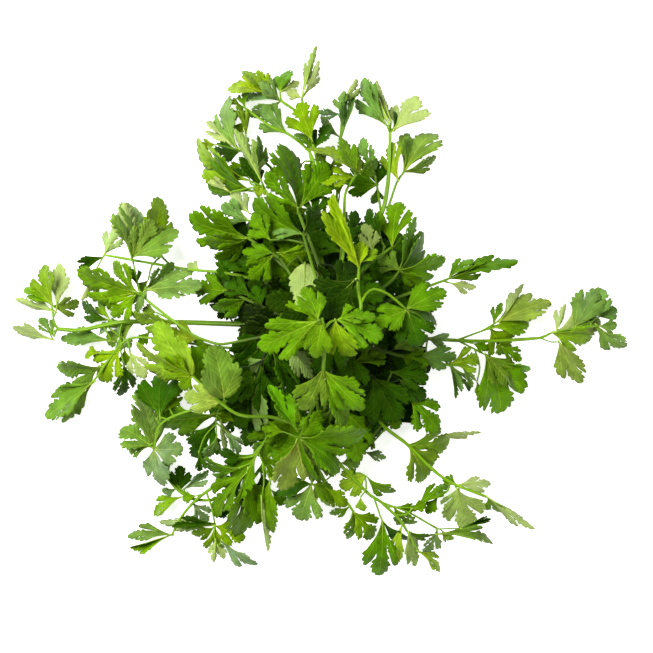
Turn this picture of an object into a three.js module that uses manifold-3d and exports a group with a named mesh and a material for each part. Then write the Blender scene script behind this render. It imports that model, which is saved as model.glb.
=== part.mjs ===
// A bunch of flat-leaf parsley, lying opened out on a surface.
//
// Every sprig is one piece grown as one: a stalk, its side stalks and its leaflets, joined in one solid.
// The cut ends are gathered low under the middle of the bunch. From there the stalks fan out to every side:
// the outer sprigs run low and lie with their leaflets on the surface, the inner ones arch up over them and
// make a low crown. The sprigs are separate and keep a small gap where they pass each other.
//
// Millimetres, +Z up. The origin is on the surface, under the middle of the bunch.
import * as THREE from "three";
import { mergeVertices } from "three/addons/utils/BufferGeometryUtils.js";
import Module from "manifold-3d";

// ---------- driving dimensions ----------
const BLADE_THICKNESS = 0.8; // thickness of a leaflet's blade
const BLADE_STEEPEST = 0.45; // least share of the upright in a blade's facing that its thickness is reckoned from
const LONG_BLADE = 26; // leaflets longer than this get two corners on each side, the others one
const LONG_ROWS = [[0.62, 0.78], [1.32, 0.92]]; // those corners: [share of the way to the widest place, share of the width]
const LONG_ROWS_END = 0.9; // and no corner stands past this share of the length
const HUB = 1.3; // how far the blades' shared middle reaches out between two leaflets
const STALK_SIDES = 5; // sides of a main stalk's section
const SIDE_STALK_SIDES = 4; // sides of a side stalk's section
const PASSING_GAP = 0.36; // gap kept between two sprigs
const SURFACE_REST = 0.5; // height of a blade's middle where it lies on the surface
const SURFACE_EASE = 2.0; // height over which a falling blade levels out
const OFFSET = [4.235, -9.09, -0.102]; // moves the table's points to the origin under the bunch

// ---------- the sprigs ----------
// stalks: [radius at the start, radius at the end, [x, y, z of each way-point, from the cut end outward]]
// The first is the main stalk, the others branch off it.
// fans: leaflets whose feet meet on the stalk, in order round it: [[x, y, z of the feet], then one row per leaflet:
//   [x, y, z of the tip, turn about the midrib, full width, fold of each half, arch of the midrib, where it is widest]]
// Angles are in radians. The arch and the widest place are shares of the leaflet's length.
const SPRIGS = [
  {
    name: "sprig_big_left",
    stalks: [
      [1.9, 1.2, [-8.64, -10.79, 39.01, -0.97, -17.75, 36.2, 3.33, -26.21, 36.79, 0.02, -37.94, 38.25, 2.39, -50.88, 36.23, -15.98, -57.77, 42.21, -32.13, -53.64, 47.66, -53.48, -50.56, 57.31, -78.98, -29.07, 52.86]],
    ],
    fans: [
      [[-78.98, -29.07, 52.86],
        [-85.68, -36.8, 50.19, 0.123, 11.3, 0.189, 0.052, 0.56],
        [-99.54, 2.66, 47.16, 0.573, 10.19, 0.365, 0, 0.56],
        [-112.37, -10.38, 43.62, 1.096, 10.21, 0.23, 0, 0.56],
      ],
      [[-59.06, -45.85, 56.33],
        [-66.2, -11.37, 59.22, -0.363, 26.15, 0.301, 0.068, 0.62],
        [-83.81, -40.88, 51.39, 0.058, 16.73, 0.167, 0.093, 0.56],
      ],
    ],
  },
  {
    name: "sprig_centre_back",
    stalks: [
      [1.5, 1, [-3.05, 6.36, 2.48, -2.89, 9.31, 26.39, -2.74, 12.26, 50.31, -2.58, 15.21, 74.22, -13.74, 54.09, 56.8]],
      [0.9, 0.77, [-12.02, 48.09, 59.49, -22.5, 50.56, 57.32, -33.09, 50.66, 55.4]],
    ],
    fans: [
      [[-13.74, 54.09, 56.8],
        [-5, 70.83, 51.93, -0.865, 18.03, 0.151, 0, 0.56],
        [-43.94, 72.84, 48.77, 0.687, 29.31, 0.295, 0, 0.56],
      ],
      [[-33.09, 50.66, 55.4],
        [-43.88, 65.67, 50.07, 0.444, 17.53, 0.336, 0.029, 0.56],
      ],
    ],
  },
  {
    name: "sprig_centre_left",
    stalks: [
      [1.5, 1, [-5.74, 3.71, 2.39, -5.85, 4.87, 25.5, -5.95, 6.03, 48.61, -6.05, 7.19, 71.72, -28.46, 41.94, 53.78]],
      [0.8, 0.68, [-23.61, 34.42, 57.66, -16.67, 40.66, 56.34, -13.72, 36.49, 58.43]],
    ],
    fans: [
      [[-14.79, 38, 57.67],
        [-12.96, 8.93, 71.06, 3.096, 17.82, 0.25, -0.041, 0.63],
      ],
      [[-26.73, 39.26, 55.16],
        [-44.93, 27.9, 52.65, 0.241, 15.12, 0.18, 0.067, 0.66],
        [-10.28, 41.41, 52.61, -0.663, 16.62, 0.271, 0, 0.64],
        [-49.19, 43.89, 49.89, -0.772, 12.25, 0.185, 0, 0.67],
      ],
    ],
  },
  {
    name: "sprig_crown",
    stalks: [
      [1.7, 1.1, [0.87, -7.99, 2.87, 2.12, -18.55, 14.5, 3.35, -29.13, 26.09, 4.66, -39.71, 37.74, -1.68, -36.34, 53.76, -1.79, -23.75, 77.7, -0.96, -7.65, 90.38, -2.52, 4.76, 97]],
      [0.9, 0.77, [-1.67, -2.01, 93.39, 1.97, 2.54, 90.9, 5.93, 3.67, 89.11]],
    ],
    fans: [
      [[-1.73, -30.05, 65.71],
        [10.87, -57.87, 52.47, 0.978, 30.02, 0.3, 0, 0.59],
      ],
      [[-1.98, 0.45, 94.7],
        [-37.52, -11.57, 90.02, 0.086, 17.49, 0.374, 0.023, 0.62],
        [-6.48, -17.76, 90.49, -0.001, 11.67, 0.35, 0.084, 0.56],
        [-12.62, 21.59, 95.47, -0.571, 18.02, 0.217, 0, 0.66],
      ],
      [[-1.78, -24.97, 75.38],
        [-13.56, -48.75, 69.43, 0.498, 14.46, 0.179, 0.054, 0.56],
        [21.12, -47.74, 66.62, -0.547, 15.57, 0.277, 0.037, 0.56],
      ],
      [[5.93, 3.67, 89.11],
        [14.5, -17.35, 82.71, -0.701, 17.21, 0.336, 0, 0.56],
        [31.45, -6.52, 85.95, 0.485, 5.56, 0.163, 0.071, 0.56],
        [22.99, 6.53, 84.39, 0.717, 5.5, 0.355, 0, 0.56],
      ],
    ],
  },
  {
    name: "sprig_crown_right",
    stalks: [
      [1.5, 1, [3.36, -1.23, 2.95, 5.27, -1.14, 24.06, 7.19, -1.05, 45.15, 9.11, -0.95, 66.22, 11.03, -0.85, 87.27, 17.9, 4.83, 83.71, 19.64, 11.67, 81.73, 17.97, 20.83, 79.75, 18.64, 33.55, 75.07]],
      [0.9, 0.77, [19.44, 12.78, 81.49, 22.56, 18.56, 78.94, 27.2, 21.47, 76.52, 35.3, 18.66, 74.16, 46.37, 9.5, 70.98]],
    ],
    fans: [
      [[18.64, 33.55, 75.07],
        [29.07, 44.04, 71.51, 0.67, 7.29, 0.16, 0, 0.7],
        [19.91, 48.76, 69.31, 0.697, 3.73, 0.271, 0, 0.56],
        [2.61, 76.93, 63.56, 0.3, 11.59, 1.026, 0.031, 0.56],
      ],
      [[45.81, 9.97, 71.14],
        [28.37, 0.86, 75.75, -0.507, 19.1, 0.291, 0.045, 0.56],
        [54.03, -11.27, 68.02, -0.127, 18.08, 0.231, 0.091, 0.56],
        [64.17, 2.61, 63.39, 0.908, 8.56, 0.341, 0, 0.56],
        [68.79, 21.19, 63.68, 0.505, 11.82, 0.159, 0.03, 0.56],
      ],
    ],
  },
  {
    name: "sprig_back_right",
    stalks: [
      [1.5, 1, [-0.45, 3.38, 3.45, 0.73, 6.32, 21.97, 1.92, 9.26, 40.48, 3.1, 12.21, 58.97, 4.29, 15.16, 77.44, 10.15, 44.37, 64.41, 10.89, 77.41, 50.52, 16.27, 88.47, 45.5]],
    ],
    fans: [
      [[16.27, 88.47, 45.5],
        [-3.25, 84.78, 47.14, -0.888, 15.02, 0.335, 0, 0.56],
        [30.59, 98.89, 42.02, -0.859, 13.26, 0.346, 0, 0.69],
        [8.01, 111.29, 42.68, -0.829, 9.55, 0.322, 0, 0.64],
        [-11.01, 106.78, 40.51, -1.15, 14.96, 0.176, 0, 0.61],
      ],
    ],
  },
  {
    name: "sprig_lower_centre",
    stalks: [
      [1.7, 1.1, [-3.26, -5.35, 3.15, -3.65, -14.15, 20.51, -4.73, -22.85, 37.78, -4.44, -31.84, 55.06, -6.5, -42.79, 54.51, -15.84, -65.94, 45.84]],
    ],
    fans: [
      [[-15.84, -65.94, 45.84],
        [-25.97, -97.03, 36.97, 0.754, 13.12, 0.341, 0, 0.63],
        [-6.26, -91.5, 38.58, -1.046, 6.24, 0.173, 0, 0.56],
        [8.06, -86.32, 36.51, 1.006, 9.65, 0.233, 0, 0.56],
        [22.88, -65.08, 41.36, -0.99, 13.48, 0.336, 0, 0.56],
        [-3.24, -49.73, 50.82, -0.445, 13.77, 0.248, 0.081, 0.56],
        [-38.23, -60.16, 44, 0, 9.55, 0.22, 0.05, 0.75],
      ],
      [[-13.15, -59.27, 48.34],
        [-34.35, -34.93, 53.02, -0.3, 22.46, 1.01, 0.043, 0.62],
      ],
    ],
  },
  {
    name: "sprig_three_left",
    stalks: [
      [1.6, 1, [-15.93, -4.4, 3.25, -18.72, -4.11, 18.68, -21.53, -3.8, 34.11, -24.35, -3.47, 49.54, -62.14, -10.46, 40.66, -72.44, -8.05, 38.38, -79.72, -5.08, 36.8, -107.31, 15.33, 30.4, -112.89, 21.98, 28.92]],
      [0.9, 0.77, [-112.89, 21.98, 28.92, -117.37, 41.94, 26.71]],
    ],
    fans: [
      [[-110.68, 19.35, 29.5],
        [-129.55, 6.34, 25.9, 0.038, 4.37, 0.17, 0.06, 0.64],
        [-114.86, 8.74, 27.48, -0.804, 4.94, 0.353, 0, 0.67],
        [-74.78, 22.94, 38.94, 0.8, 14.65, 0.266, 0, 0.62],
        [-92.9, 38.78, 30.15, -0.887, 9.21, 0.303, 0, 0.65],
        [-128.34, 38.96, 25.88, 0.985, 11.03, 0.195, 0, 0.62],
        [-150.96, 33.11, 20.16, 0.877, 10.47, 0.383, 0, 0.6],
      ],
      [[-117.37, 41.94, 26.71],
        [-89.65, 57.66, 26.26, 0.86, 9.71, 0.216, 0, 0.56],
        [-105.5, 64.39, 24.84, -0.584, 2.42, 0.328, 0, 0.56],
        [-120.02, 75.66, 19.85, -0.949, 13.55, 0.168, 0, 0.56],
      ],
      [[-89.92, 2.47, 34.43],
        [-117.36, 8.15, 26.78, 0.853, 18.47, 0.263, 0, 0.56],
      ],
      [[-113.5, 24.71, 28.61],
        [-118.93, 35.41, 23.78, -0.67, 10.05, 0.379, 0, 0.56],
      ],
    ],
  },
  {
    name: "sprig_upper_left_b",
    stalks: [
      [1.3, 0.9, [-0.12, 13.78, 1.81, -1.52, 25.58, 9.05, -3, 37.39, 16.25, -4.71, 49.2, 23.4, -6.57, 61.02, 30.51, -6.09, 82.38, 25.9, -9.25, 104.11, 17.77, -22.29, 116.67, 16.28, -34.48, 122.37, 15.59, -49.91, 133.8, 12.29]],
    ],
    fans: [
      [[-23.77, 117.36, 16.2],
        [-40.18, 134.63, 10.71, 0.633, 20.65, 0.217, 0, 0.56],
      ],
      [[-47.43, 131.97, 12.82],
        [-49.56, 145.6, 7.01, 0.679, 8.84, 0.313, 0, 0.56],
        [-61.68, 138.41, 10.05, -0.758, 7.96, 0.355, 0, 0.71],
      ],
    ],
  },
  {
    name: "sprig_upper_left_c",
    stalks: [
      [1.6, 1.1, [-2.04, 11.18, 3.57, -3.92, 20.1, 19.35, -6.13, 29.02, 35.08, -8.49, 37.96, 50.78, -15.65, 51.08, 47.52, -26.38, 64.31, 43.99, -38.44, 84.32, 38.87]],
      [1, 0.85, [-38.17, 83.87, 38.98, -44.39, 80.73, 39.05]],
      [0.9, 0.77, [-29.31, 69.18, 42.74, -45.42, 62.63, 42.46]],
    ],
    fans: [
      [[-44.39, 80.73, 39.05],
        [-51.9, 101.09, 32.32, -0.948, 18.07, 0.372, 0, 0.56],
        [-74.89, 101.36, 29.74, 0.986, 36.83, 0.181, 0, 0.56],
      ],
      [[-38.7, 83.6, 38.99],
        [-41.32, 77.59, 41.09, 0.081, 8.68, 0.344, 0.075, 0.56],
        [-54.7, 116.88, 35.74, 3.442, 25.15, 1.026, -0.019, 0.64],
        [-79.68, 110.95, 30.06, 0.951, 27.71, 0.285, 0, 0.64],
      ],
      [[-35.29, 79.09, 40.21],
        [-41.1, 114.3, 32.27, -1.15, 16.16, 0.176, 0, 0.73],
      ],
      [[-45.42, 62.63, 42.46],
        [-62.42, 72.57, 36.65, 0.54, 16.64, 0.328, 0.037, 0.56],
      ],
      [[-40.25, 64.73, 42.55],
        [-56.41, 80.89, 37.16, 2.932, 13.46, 0.374, -0.013, 0.68],
      ],
    ],
  },
  {
    name: "sprig_top_back",
    stalks: [
      [1.6, 1.1, [-6.79, 9.5, 3.71, -5.74, 14.63, 17.43, -4.7, 19.77, 31.15, -3.66, 24.91, 44.85, -2.63, 30.06, 58.55, -16.79, 68.06, 49.62]],
    ],
    fans: [
      [[-16.79, 68.06, 49.62],
        [0.3, 97.43, 44.69, -0.222, 10.06, 0.291, 0.057, 0.6],
        [-27.13, 107.64, 38.12, -1.059, 20.76, 0.267, 0, 0.56],
      ],
    ],
  },
  {
    name: "sprig_left_back",
    stalks: [
      [1.6, 1.1, [-9.59, 12.74, 2.96, -10.19, 15.19, 15.74, -10.8, 17.65, 28.5, -11.41, 20.12, 41.26, -12.02, 22.58, 54, -34.55, 44, 47.31, -46.52, 52.45, 44.19]],
    ],
    fans: [
      [[-46.52, 52.45, 44.19],
        [-73.1, 49.83, 37.56, 0.991, 2.85, 0.254, 0, 0.56],
        [-65.72, 39.55, 40.69, 1.004, 8.05, 0.233, 0, 0.56],
        [-82.34, 64.97, 34.19, 0.672, 9.22, 0.276, 0, 0.56],
      ],
    ],
  },
  {
    name: "sprig_inner_left",
    stalks: [
      [1.5, 1, [-16, 4.64, 3.25, -16.71, 4.03, 15.7, -17.43, 3.39, 28.16, -18.14, 2.74, 40.61, -59.21, 21.34, 30.47]],
    ],
    fans: [
      [[-17.95, 2.91, 37.34],
        [-48.33, 0.9, 31.7, 0.543, 19.25, 0.384, 0.043, 0.67],
      ],
      [[-59.21, 21.34, 30.47],
        [-79.45, 22.66, 25.54, -0.476, 25.34, 0.314, 0.056, 0.56],
      ],
      [[-48.58, 16.52, 33.1],
        [-68.45, 10.55, 27.22, 0.796, 16.12, 0.276, 0, 0.56],
      ],
      [[-43.98, 14.44, 34.23],
        [-61.16, 26.21, 28.07, -0.552, 15.91, 0.242, 0, 0.65],
      ],
      [[-38.68, 12.04, 35.54],
        [-42.91, 24.3, 32.13, -0.121, 12.4, 0.282, 0.05, 0.56],
      ],
    ],
  },
  {
    name: "sprig_top_thin",
    stalks: [
      [1.2, 0.8, [1.26, 8.64, 3.12, 2.03, 19.49, 9.76, 2.84, 30.35, 16.39, 3.67, 41.19, 23.03, 4.51, 52.04, 29.67, 9.49, 130.09, 12.62]],
    ],
    fans: [
      [[8.45, 113.87, 16.17],
        [18.8, 144.58, 5.57, 0.3, 21.96, 1.026, 0.05, 0.56],
        [-3.98, 128.38, 11.62, 0.964, 10.94, 0.189, 0, 0.56],
      ],
      [[9.49, 130.09, 12.62],
        [10.15, 144.81, 8.2, 0.937, 14.25, 0.158, 0, 0.56],
        [-5.22, 131.79, 9.02, 0.687, 8.2, 0.242, 0, 0.56],
      ],
    ],
  },
  {
    name: "sprig_mid_right_back",
    stalks: [
      [1.5, 1, [5.2, 8.48, 2.18, 7.25, 11.17, 21.59, 9.31, 13.88, 40.99, 11.37, 16.58, 60.4, 24.31, 35.44, 55.18, 38.53, 46.77, 51.14]],
    ],
    fans: [
      [[38.53, 46.77, 51.14],
        [52.3, 51.11, 46.92, -0.481, 11.94, 0.189, 0.062, 0.56],
        [42.38, 73.79, 44.03, 0.566, 25.21, 0.306, 0, 0.56],
      ],
      [[33.1, 42.44, 52.68],
        [23.36, 68.89, 46.25, 0.864, 19.49, 0.295, 0, 0.63],
      ],
      [[27, 37.58, 54.41],
        [22.59, 60.15, 53.55, 2.712, 13.61, 0.153, -0.049, 0.69],
      ],
    ],
  },
  {
    name: "sprig_mid_right",
    stalks: [
      [1.5, 1, [8.58, 6.75, 3.34, 9.9, 7.32, 22.07, 11.22, 7.88, 40.8, 12.54, 8.44, 59.54, 37.3, 26.14, 52.53, 43.27, 33.26, 50.47]],
    ],
    fans: [
      [[43.27, 33.26, 50.47],
        [58.82, 25.12, 46.6, -0.975, 8.43, 0.259, 0, 0.56],
        [69.72, 40.65, 42.96, -1.006, 15.21, 0.32, 0, 0.56],
        [50.72, 64.2, 54.35, -1.017, 18.47, 0.202, 0, 0.56],
        [31, 41.03, 47.69, 0.025, 15.49, 0.259, 0.081, 0.56],
      ],
    ],
  },
  {
    name: "sprig_right_upper",
    stalks: [
      [1.4, 0.9, [9.47, 1.44, 2.11, 11.3, 2.62, 19.2, 13.13, 3.81, 36.29, 14.97, 4.99, 53.38, 28.57, 12.08, 49.89, 72.36, 28.29, 39.36]],
    ],
    fans: [
      [[72.36, 28.29, 39.36],
        [114.94, 38.31, 26.81, 0.8, 15.01, 0.173, 0, 0.56],
      ],
    ],
  },
  {
    name: "sprig_inner_back",
    stalks: [
      [1.4, 0.9, [4.66, 12.13, 1.9, 5.34, 14.13, 15.54, 6.06, 16.13, 29.18, 6.8, 18.14, 42.82, 9.27, 50.52, 35.72]],
    ],
    fans: [
      [[9.27, 50.52, 35.72],
        [17.75, 68.9, 29.41, -0.525, 16.51, 0.339, 0.053, 0.56],
        [-3.9, 67.48, 32.61, 0.362, 16.79, 0.303, 0.091, 0.56],
      ],
      [[8.81, 44.52, 37.04],
        [22.48, 51.87, 32.91, -0.579, 15.1, 0.217, 0, 0.56],
        [-6.27, 51.67, 36.56, 0.071, 13.63, 0.192, 0.068, 0.56],
      ],
    ],
  },
  {
    name: "sprig_lower_right_a",
    stalks: [
      [1.5, 1, [8.44, -7.44, 2.21, 10.3, -8.04, 14.02, 12.16, -8.65, 25.83, 14.02, -9.25, 37.64, 66.76, -23.26, 25.49, 74.75, -22.7, 23.83]],
      [0.7, 0.59, [61.3, -21.81, 26.75, 60, -14.17, 27.43, 61.21, -6.93, 27.37]],
    ],
    fans: [
      [[51.69, -19.26, 28.96],
        [78.35, -18.45, 24.21, -0.449, 17.11, 0.372, 0.039, 0.64],
      ],
      [[74.75, -22.7, 23.83],
        [92.76, -19.16, 18.98, 0.159, 16.47, 0.317, 0.061, 0.56],
      ],
      [[43.84, -17.17, 30.77],
        [60.95, -23.12, 31.46, -0.254, 14.25, 0.289, 0.056, 0.56],
      ],
      [[61.21, -6.93, 27.37],
        [74.18, -5.15, 23.35, -0.886, 12.8, 0.348, 0, 0.56],
      ],
    ],
  },
  {
    name: "sprig_lower_centre_b",
    stalks: [
      [1.4, 0.9, [-5.93, -15.51, 3.05, -6, -25.62, 10.79, -5.96, -35.74, 18.51, -5.59, -45.87, 26.18, -5.1, -56.01, 33.84, -9.31, -68.18, 31.08, -9.95, -83.49, 27.69, -8.76, -95.19, 25.15]],
    ],
    fans: [
      [[-8.76, -95.19, 25.15],
        [-30.66, -102.3, 20.77, -1.009, 15, 0.2, 0, 0.56],
        [-16.13, -117.75, 18.5, -0.06, 20.39, 0.205, 0.075, 0.56],
        [3.94, -105.26, 21.5, 0.923, 15.57, 0.171, 0, 0.56],
      ],
    ],
  },
  {
    name: "sprig_lower_right_b", deep: true,
    stalks: [
      [1.6, 1, [9.58, -11.77, 2.7, 9.47, -12.92, 14.2, 9.36, -14.07, 25.7, 9.25, -15.22, 37.2, 24.85, -28.44, 34.13, 44.16, -39.36, 30.88]],
      [0.8, 0.68, [35.47, -34.44, 32.34, 44.13, -32.12, 31.52]],
      [0.8, 0.68, [42.98, -38.69, 31.08, 50.23, -43.01, 29.83]],
    ],
    fans: [
      [[27.71, -30.06, 33.65],
        [43.11, -55.77, 27.62, -0.201, 27.85, 0.274, 0.061, 0.56],
      ],
      [[50.23, -43.01, 29.83],
        [66.79, -63.16, 25.11, 0.516, 23.71, 0.146, 0.076, 0.56],
      ],
      [[36.05, -34.29, 32.29],
        [60.92, -31.51, 31.88, 0.373, 17.91, 0.321, 0.071, 0.68],
      ],
      [[17.09, -21.87, 35.66],
        [35.28, -15.38, 27.36, 0.498, 18.23, 0.35, 0.07, 0.56],
      ],
      [[44.13, -32.12, 31.52],
        [59.96, -43.08, 28.1, 0.491, 17.94, 0.326, 0.042, 0.56],
      ],
    ],
  },
  {
    name: "sprig_inner_low_left", deep: true,
    stalks: [
      [1.4, 0.9, [-17.36, -14.88, 3, -16.04, -13.59, 15.34, -14.72, -12.3, 27.68, -13.39, -11.01, 40.02, -24.74, -11.62, 38.53, -34.93, -14.03, 36.97, -42.19, -30.82, 34.78]],
    ],
    fans: [
      [[-42.19, -30.82, 34.78],
        [-59.22, -44.79, 30.29, -0.784, 20.99, 0.263, 0, 0.56],
        [-43.91, -62.69, 23.03, 2.101, 26.41, 0.286, 0, 0.56],
      ],
      [[-32.92, -13.56, 37.28],
        [-18.16, -44.36, 39.68, 0.956, 20.78, 0.206, 0, 0.56],
      ],
      [[-38.99, -23.42, 35.75],
        [-45.35, -26.73, 31.14, 3.246, 5.45, 0.318, -0.022, 0.56],
        [-41.62, -49.41, 34, 0.622, 8.35, 0.21, 0, 0.56],
      ],
      [[-22.95, -11.53, 38.76],
        [-8.67, -30.78, 35.94, 3.935, 18.24, 0.285, 0, 0.56],
      ],
    ],
  },
  {
    name: "sprig_under_01", deep: true,
    stalks: [
      [1.5, 1, [16.52, 0.01, 3.39, 16.37, 0.72, 9.89, 16.23, 1.42, 16.4, 16.08, 2.12, 22.9, 37.99, 4.56, 19.7, 53.31, 10.05, 17.34]],
    ],
    fans: [
      [[29.49, 3.61, 20.94],
        [46.26, -12.4, 24.73, -0.014, 18.59, 0.278, 0.032, 0.56],
        [37.49, 26.52, 16.74, 3.685, 23.16, 0.219, -0.043, 0.56],
      ],
      [[49.7, 8.76, 17.89],
        [61.55, -0.6, 13.7, -0.48, 11.63, 0.338, 0.026, 0.56],
        [65.69, 11.3, 14.85, 0.614, 8.15, 0.267, 0, 0.56],
        [58.61, 25.97, 14.55, 0.399, 12.78, 0.218, 0.097, 0.56],
      ],
      [[20.21, 2.58, 22.3],
        [28.72, -11.19, 24.63, 0.156, 14.06, 0.274, 0.067, 0.56],
      ],
    ],
  },
  {
    name: "sprig_under_02", deep: true,
    stalks: [
      [1.5, 1, [8.19, 12.78, 2.95, 8.63, 13.52, 12.59, 9.02, 14.27, 22.22, 24.1, 30.05, 19.38, 27.09, 37.41, 18.51]],
    ],
    fans: [
      [[18.18, 23.85, 20.5],
        [41.57, 22.76, 21.25, -0.14, 20.49, 0.365, 0.029, 0.56],
        [9.48, 46.78, 13.78, -0.203, 19.35, 0.362, 0.088, 0.56],
      ],
      [[27.09, 37.41, 18.51],
        [47.2, 33.8, 17.66, -0.211, 11.96, 0.319, 0.031, 0.56],
        [41.87, 52.87, 14.22, -0.243, 10.48, 0.18, 0.059, 0.56],
        [18.63, 56.49, 15.01, -0.439, 15.01, 0.272, 0.05, 0.56],
      ],
      [[11.36, 16.72, 21.78],
        [26.99, 11.83, 21.57, 0.068, 13.63, 0.365, 0.035, 0.56],
      ],
    ],
  },
  {
    name: "sprig_under_03", deep: true,
    stalks: [
      [1.5, 1, [-5.78, 15.8, 2.98, -6.78, 17.24, 11.69, -7.7, 18.67, 20.37, -6.51, 40.47, 17.65, -9.17, 56.36, 16.76]],
    ],
    fans: [
      [[-6.97, 32, 18.71],
        [12.68, 47.94, 2.32, -0.801, 27.26, 0.251, 0, 0.56],
        [-27.8, 42.46, 14.65, 0.464, 20.81, 0.174, 0.033, 0.56],
      ],
      [[-8.53, 52.55, 16.97],
        [8.24, 68.68, 15.39, -0.185, 13.87, 0.38, 0.031, 0.56],
        [-8.99, 68.44, 18.29, 0.187, 4.77, 0.268, 0.059, 0.56],
        [-28.46, 65.79, 12.88, -0.825, 15.09, 0.216, 0, 0.56],
      ],
      [[-7.5, 22.33, 19.92],
        [9.47, 29.64, 14.46, -0.741, 15.41, 0.253, 0, 0.56],
      ],
    ],
  },
  {
    name: "sprig_under_04", deep: true,
    stalks: [
      [1.5, 1, [-14.92, 10.9, 3.15, -16.18, 12.32, 12.51, -17.4, 13.77, 21.88, -28.55, 32.95, 19.25, -35.01, 37.41, 18.52]],
    ],
    fans: [
      [[-24.02, 25.16, 20.32],
        [-47.88, 22.26, 16.16, 3.722, 22.85, 0.256, 0, 0.56],
        [-16.64, 47.5, 24.07, -0.235, 21.09, 0.287, 0.031, 0.56],
      ],
      [[-35.01, 37.41, 18.52],
        [-26.56, 56.49, 15.08, -0.006, 11.06, 0.324, 0.04, 0.56],
        [-46.15, 55.92, 14.2, 0.265, 13.02, 0.148, 0.042, 0.56],
      ],
      [[-29.99, 33.94, 19.09],
        [-55.26, 33.89, 15.21, 0.25, 18.01, 0.216, 0.093, 0.62],
      ],
      [[-19.28, 17.01, 21.44],
        [-9.99, 31.17, 23.68, 0.375, 13.63, 0.361, 0.076, 0.56],
      ],
    ],
  },
  {
    name: "sprig_under_05", deep: true,
    stalks: [
      [1.5, 1, [-22.19, 4.21, 2.01, -23.05, 4.11, 12.85, -23.91, 4.01, 23.69, -44.67, 11.42, 19.93, -60.62, 13.1, 17.31]],
    ],
    fans: [
      [[-36.38, 8.46, 21.43],
        [-51.94, -7.06, 22.12, -0.428, 20.34, 0.25, 0.041, 0.56],
        [-44.24, 29.79, 29.21, 0.307, 22.81, 0.331, 0.085, 0.56],
      ],
      [[-56.38, 12.65, 18.01],
        [-66.22, 5.58, 18.39, 0.171, 7.92, 0.305, 0.079, 0.56],
        [-66.95, 33.93, 13.84, -0.13, 12.09, 0.279, 0.069, 0.56],
        [-72.41, 17.42, 14.8, -0.195, 5.64, 0.369, 0.047, 0.56],
      ],
      [[-27.17, 5.17, 23.1],
        [-29.46, 20.95, 20.41, 0.342, 15.16, 0.239, 0.05, 0.56],
      ],
    ],
  },
  {
    name: "sprig_under_06", deep: true,
    stalks: [
      [1.5, 1, [-20.91, -7.71, 2.11, -22.28, -7.77, 11.82, -23.65, -7.84, 21.54, -44.86, -13.44, 18.9, -51.45, -19.02, 18.37]],
    ],
    fans: [
      [[-36.38, -11.2, 19.95],
        [-40.59, -36.31, 15.61, -0.472, 20.87, 0.166, 0.035, 0.56],
        [-52.24, -1.52, 12.6, -0.297, 15.59, 0.231, 0.044, 0.56],
      ],
      [[-46.15, -14.53, 18.79],
        [-54.04, -39.99, 15.18, 0.478, 19.13, 0.196, 0.084, 0.64],
        [-57.31, -10.79, 16.78, 0.036, 8.8, 0.324, 0.031, 0.56],
      ],
      [[-51.45, -19.02, 18.37],
        [-71.82, -24.14, 14.16, -0.005, 21.07, 0.249, 0.058, 0.56],
      ],
      [[-27.1, -8.75, 21.11],
        [-37.84, 2.12, 23.47, 0.158, 13.71, 0.148, 0.044, 0.56],
      ],
    ],
  },
  {
    name: "sprig_under_07", deep: true,
    stalks: [
      [1.5, 1, [-11.57, -18.19, 2.73, -13.4, -18.78, 12.61, -15.23, -19.37, 22.49, -28.73, -36.39, 19.2, -35.19, -51.96, 17.12]],
    ],
    fans: [
      [[-33.63, -48.2, 17.62],
        [-56.57, -51.68, 13.57, -0.683, 11.86, 0.159, 0, 0.56],
        [-50.66, -72.15, 9.59, -0.324, 9.7, 0.225, 0.04, 0.56],
        [-25.08, -70.39, 25.45, -0.797, 18.22, 0.189, 0, 0.56],
      ],
      [[-23.5, -29.8, 20.48],
        [-46.28, -31.15, 24.28, 0.422, 21.94, 0.372, 0.068, 0.56],
        [-11.86, -51.41, 18.76, 3.343, 18.59, 0.311, -0.041, 0.56],
      ],
      [[-17.58, -22.34, 21.92],
        [-33.75, -19.76, 19.17, 0.056, 13.63, 0.274, 0.02, 0.56],
      ],
    ],
  },
  {
    name: "sprig_under_08", deep: true,
    stalks: [
      [1.5, 1, [-2.32, -20.59, 3.33, -2.11, -21.78, 12.05, -1.92, -22.97, 20.77, -3.27, -44.71, 17.52, 0.02, -52.01, 17.62]],
    ],
    fans: [
      [[-2.75, -36.26, 18.78],
        [-20.72, -52.26, 2.55, 0.561, 25.35, 0.193, 0, 0.56],
        [19.81, -46.62, 17.02, 0.333, 18.59, 0.164, 0.071, 0.56],
      ],
      [[0.02, -52.01, 17.62],
        [-16.86, -63.44, 11.44, 0.336, 9.47, 0.313, 0.055, 0.56],
        [-0.31, -73.72, 13.28, 0.005, 11.49, 0.157, 0.047, 0.56],
      ],
      [[-2.53, -46.35, 17.55],
        [19.23, -60.15, 15.13, 0.249, 17.35, 0.359, 0.097, 0.64],
      ],
      [[-2.15, -26.61, 20.22],
        [-17.22, -33.53, 25.46, -0.035, 13.63, 0.161, 0.047, 0.56],
      ],
    ],
  },
  {
    name: "sprig_under_09", deep: true,
    stalks: [
      [1.5, 1, [9.91, -15.62, 2.67, 9.09, -17.06, 11.66, 8.27, -18.49, 20.65, 21.08, -36.44, 17.25, 33.76, -47.26, 16.51]],
    ],
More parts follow.
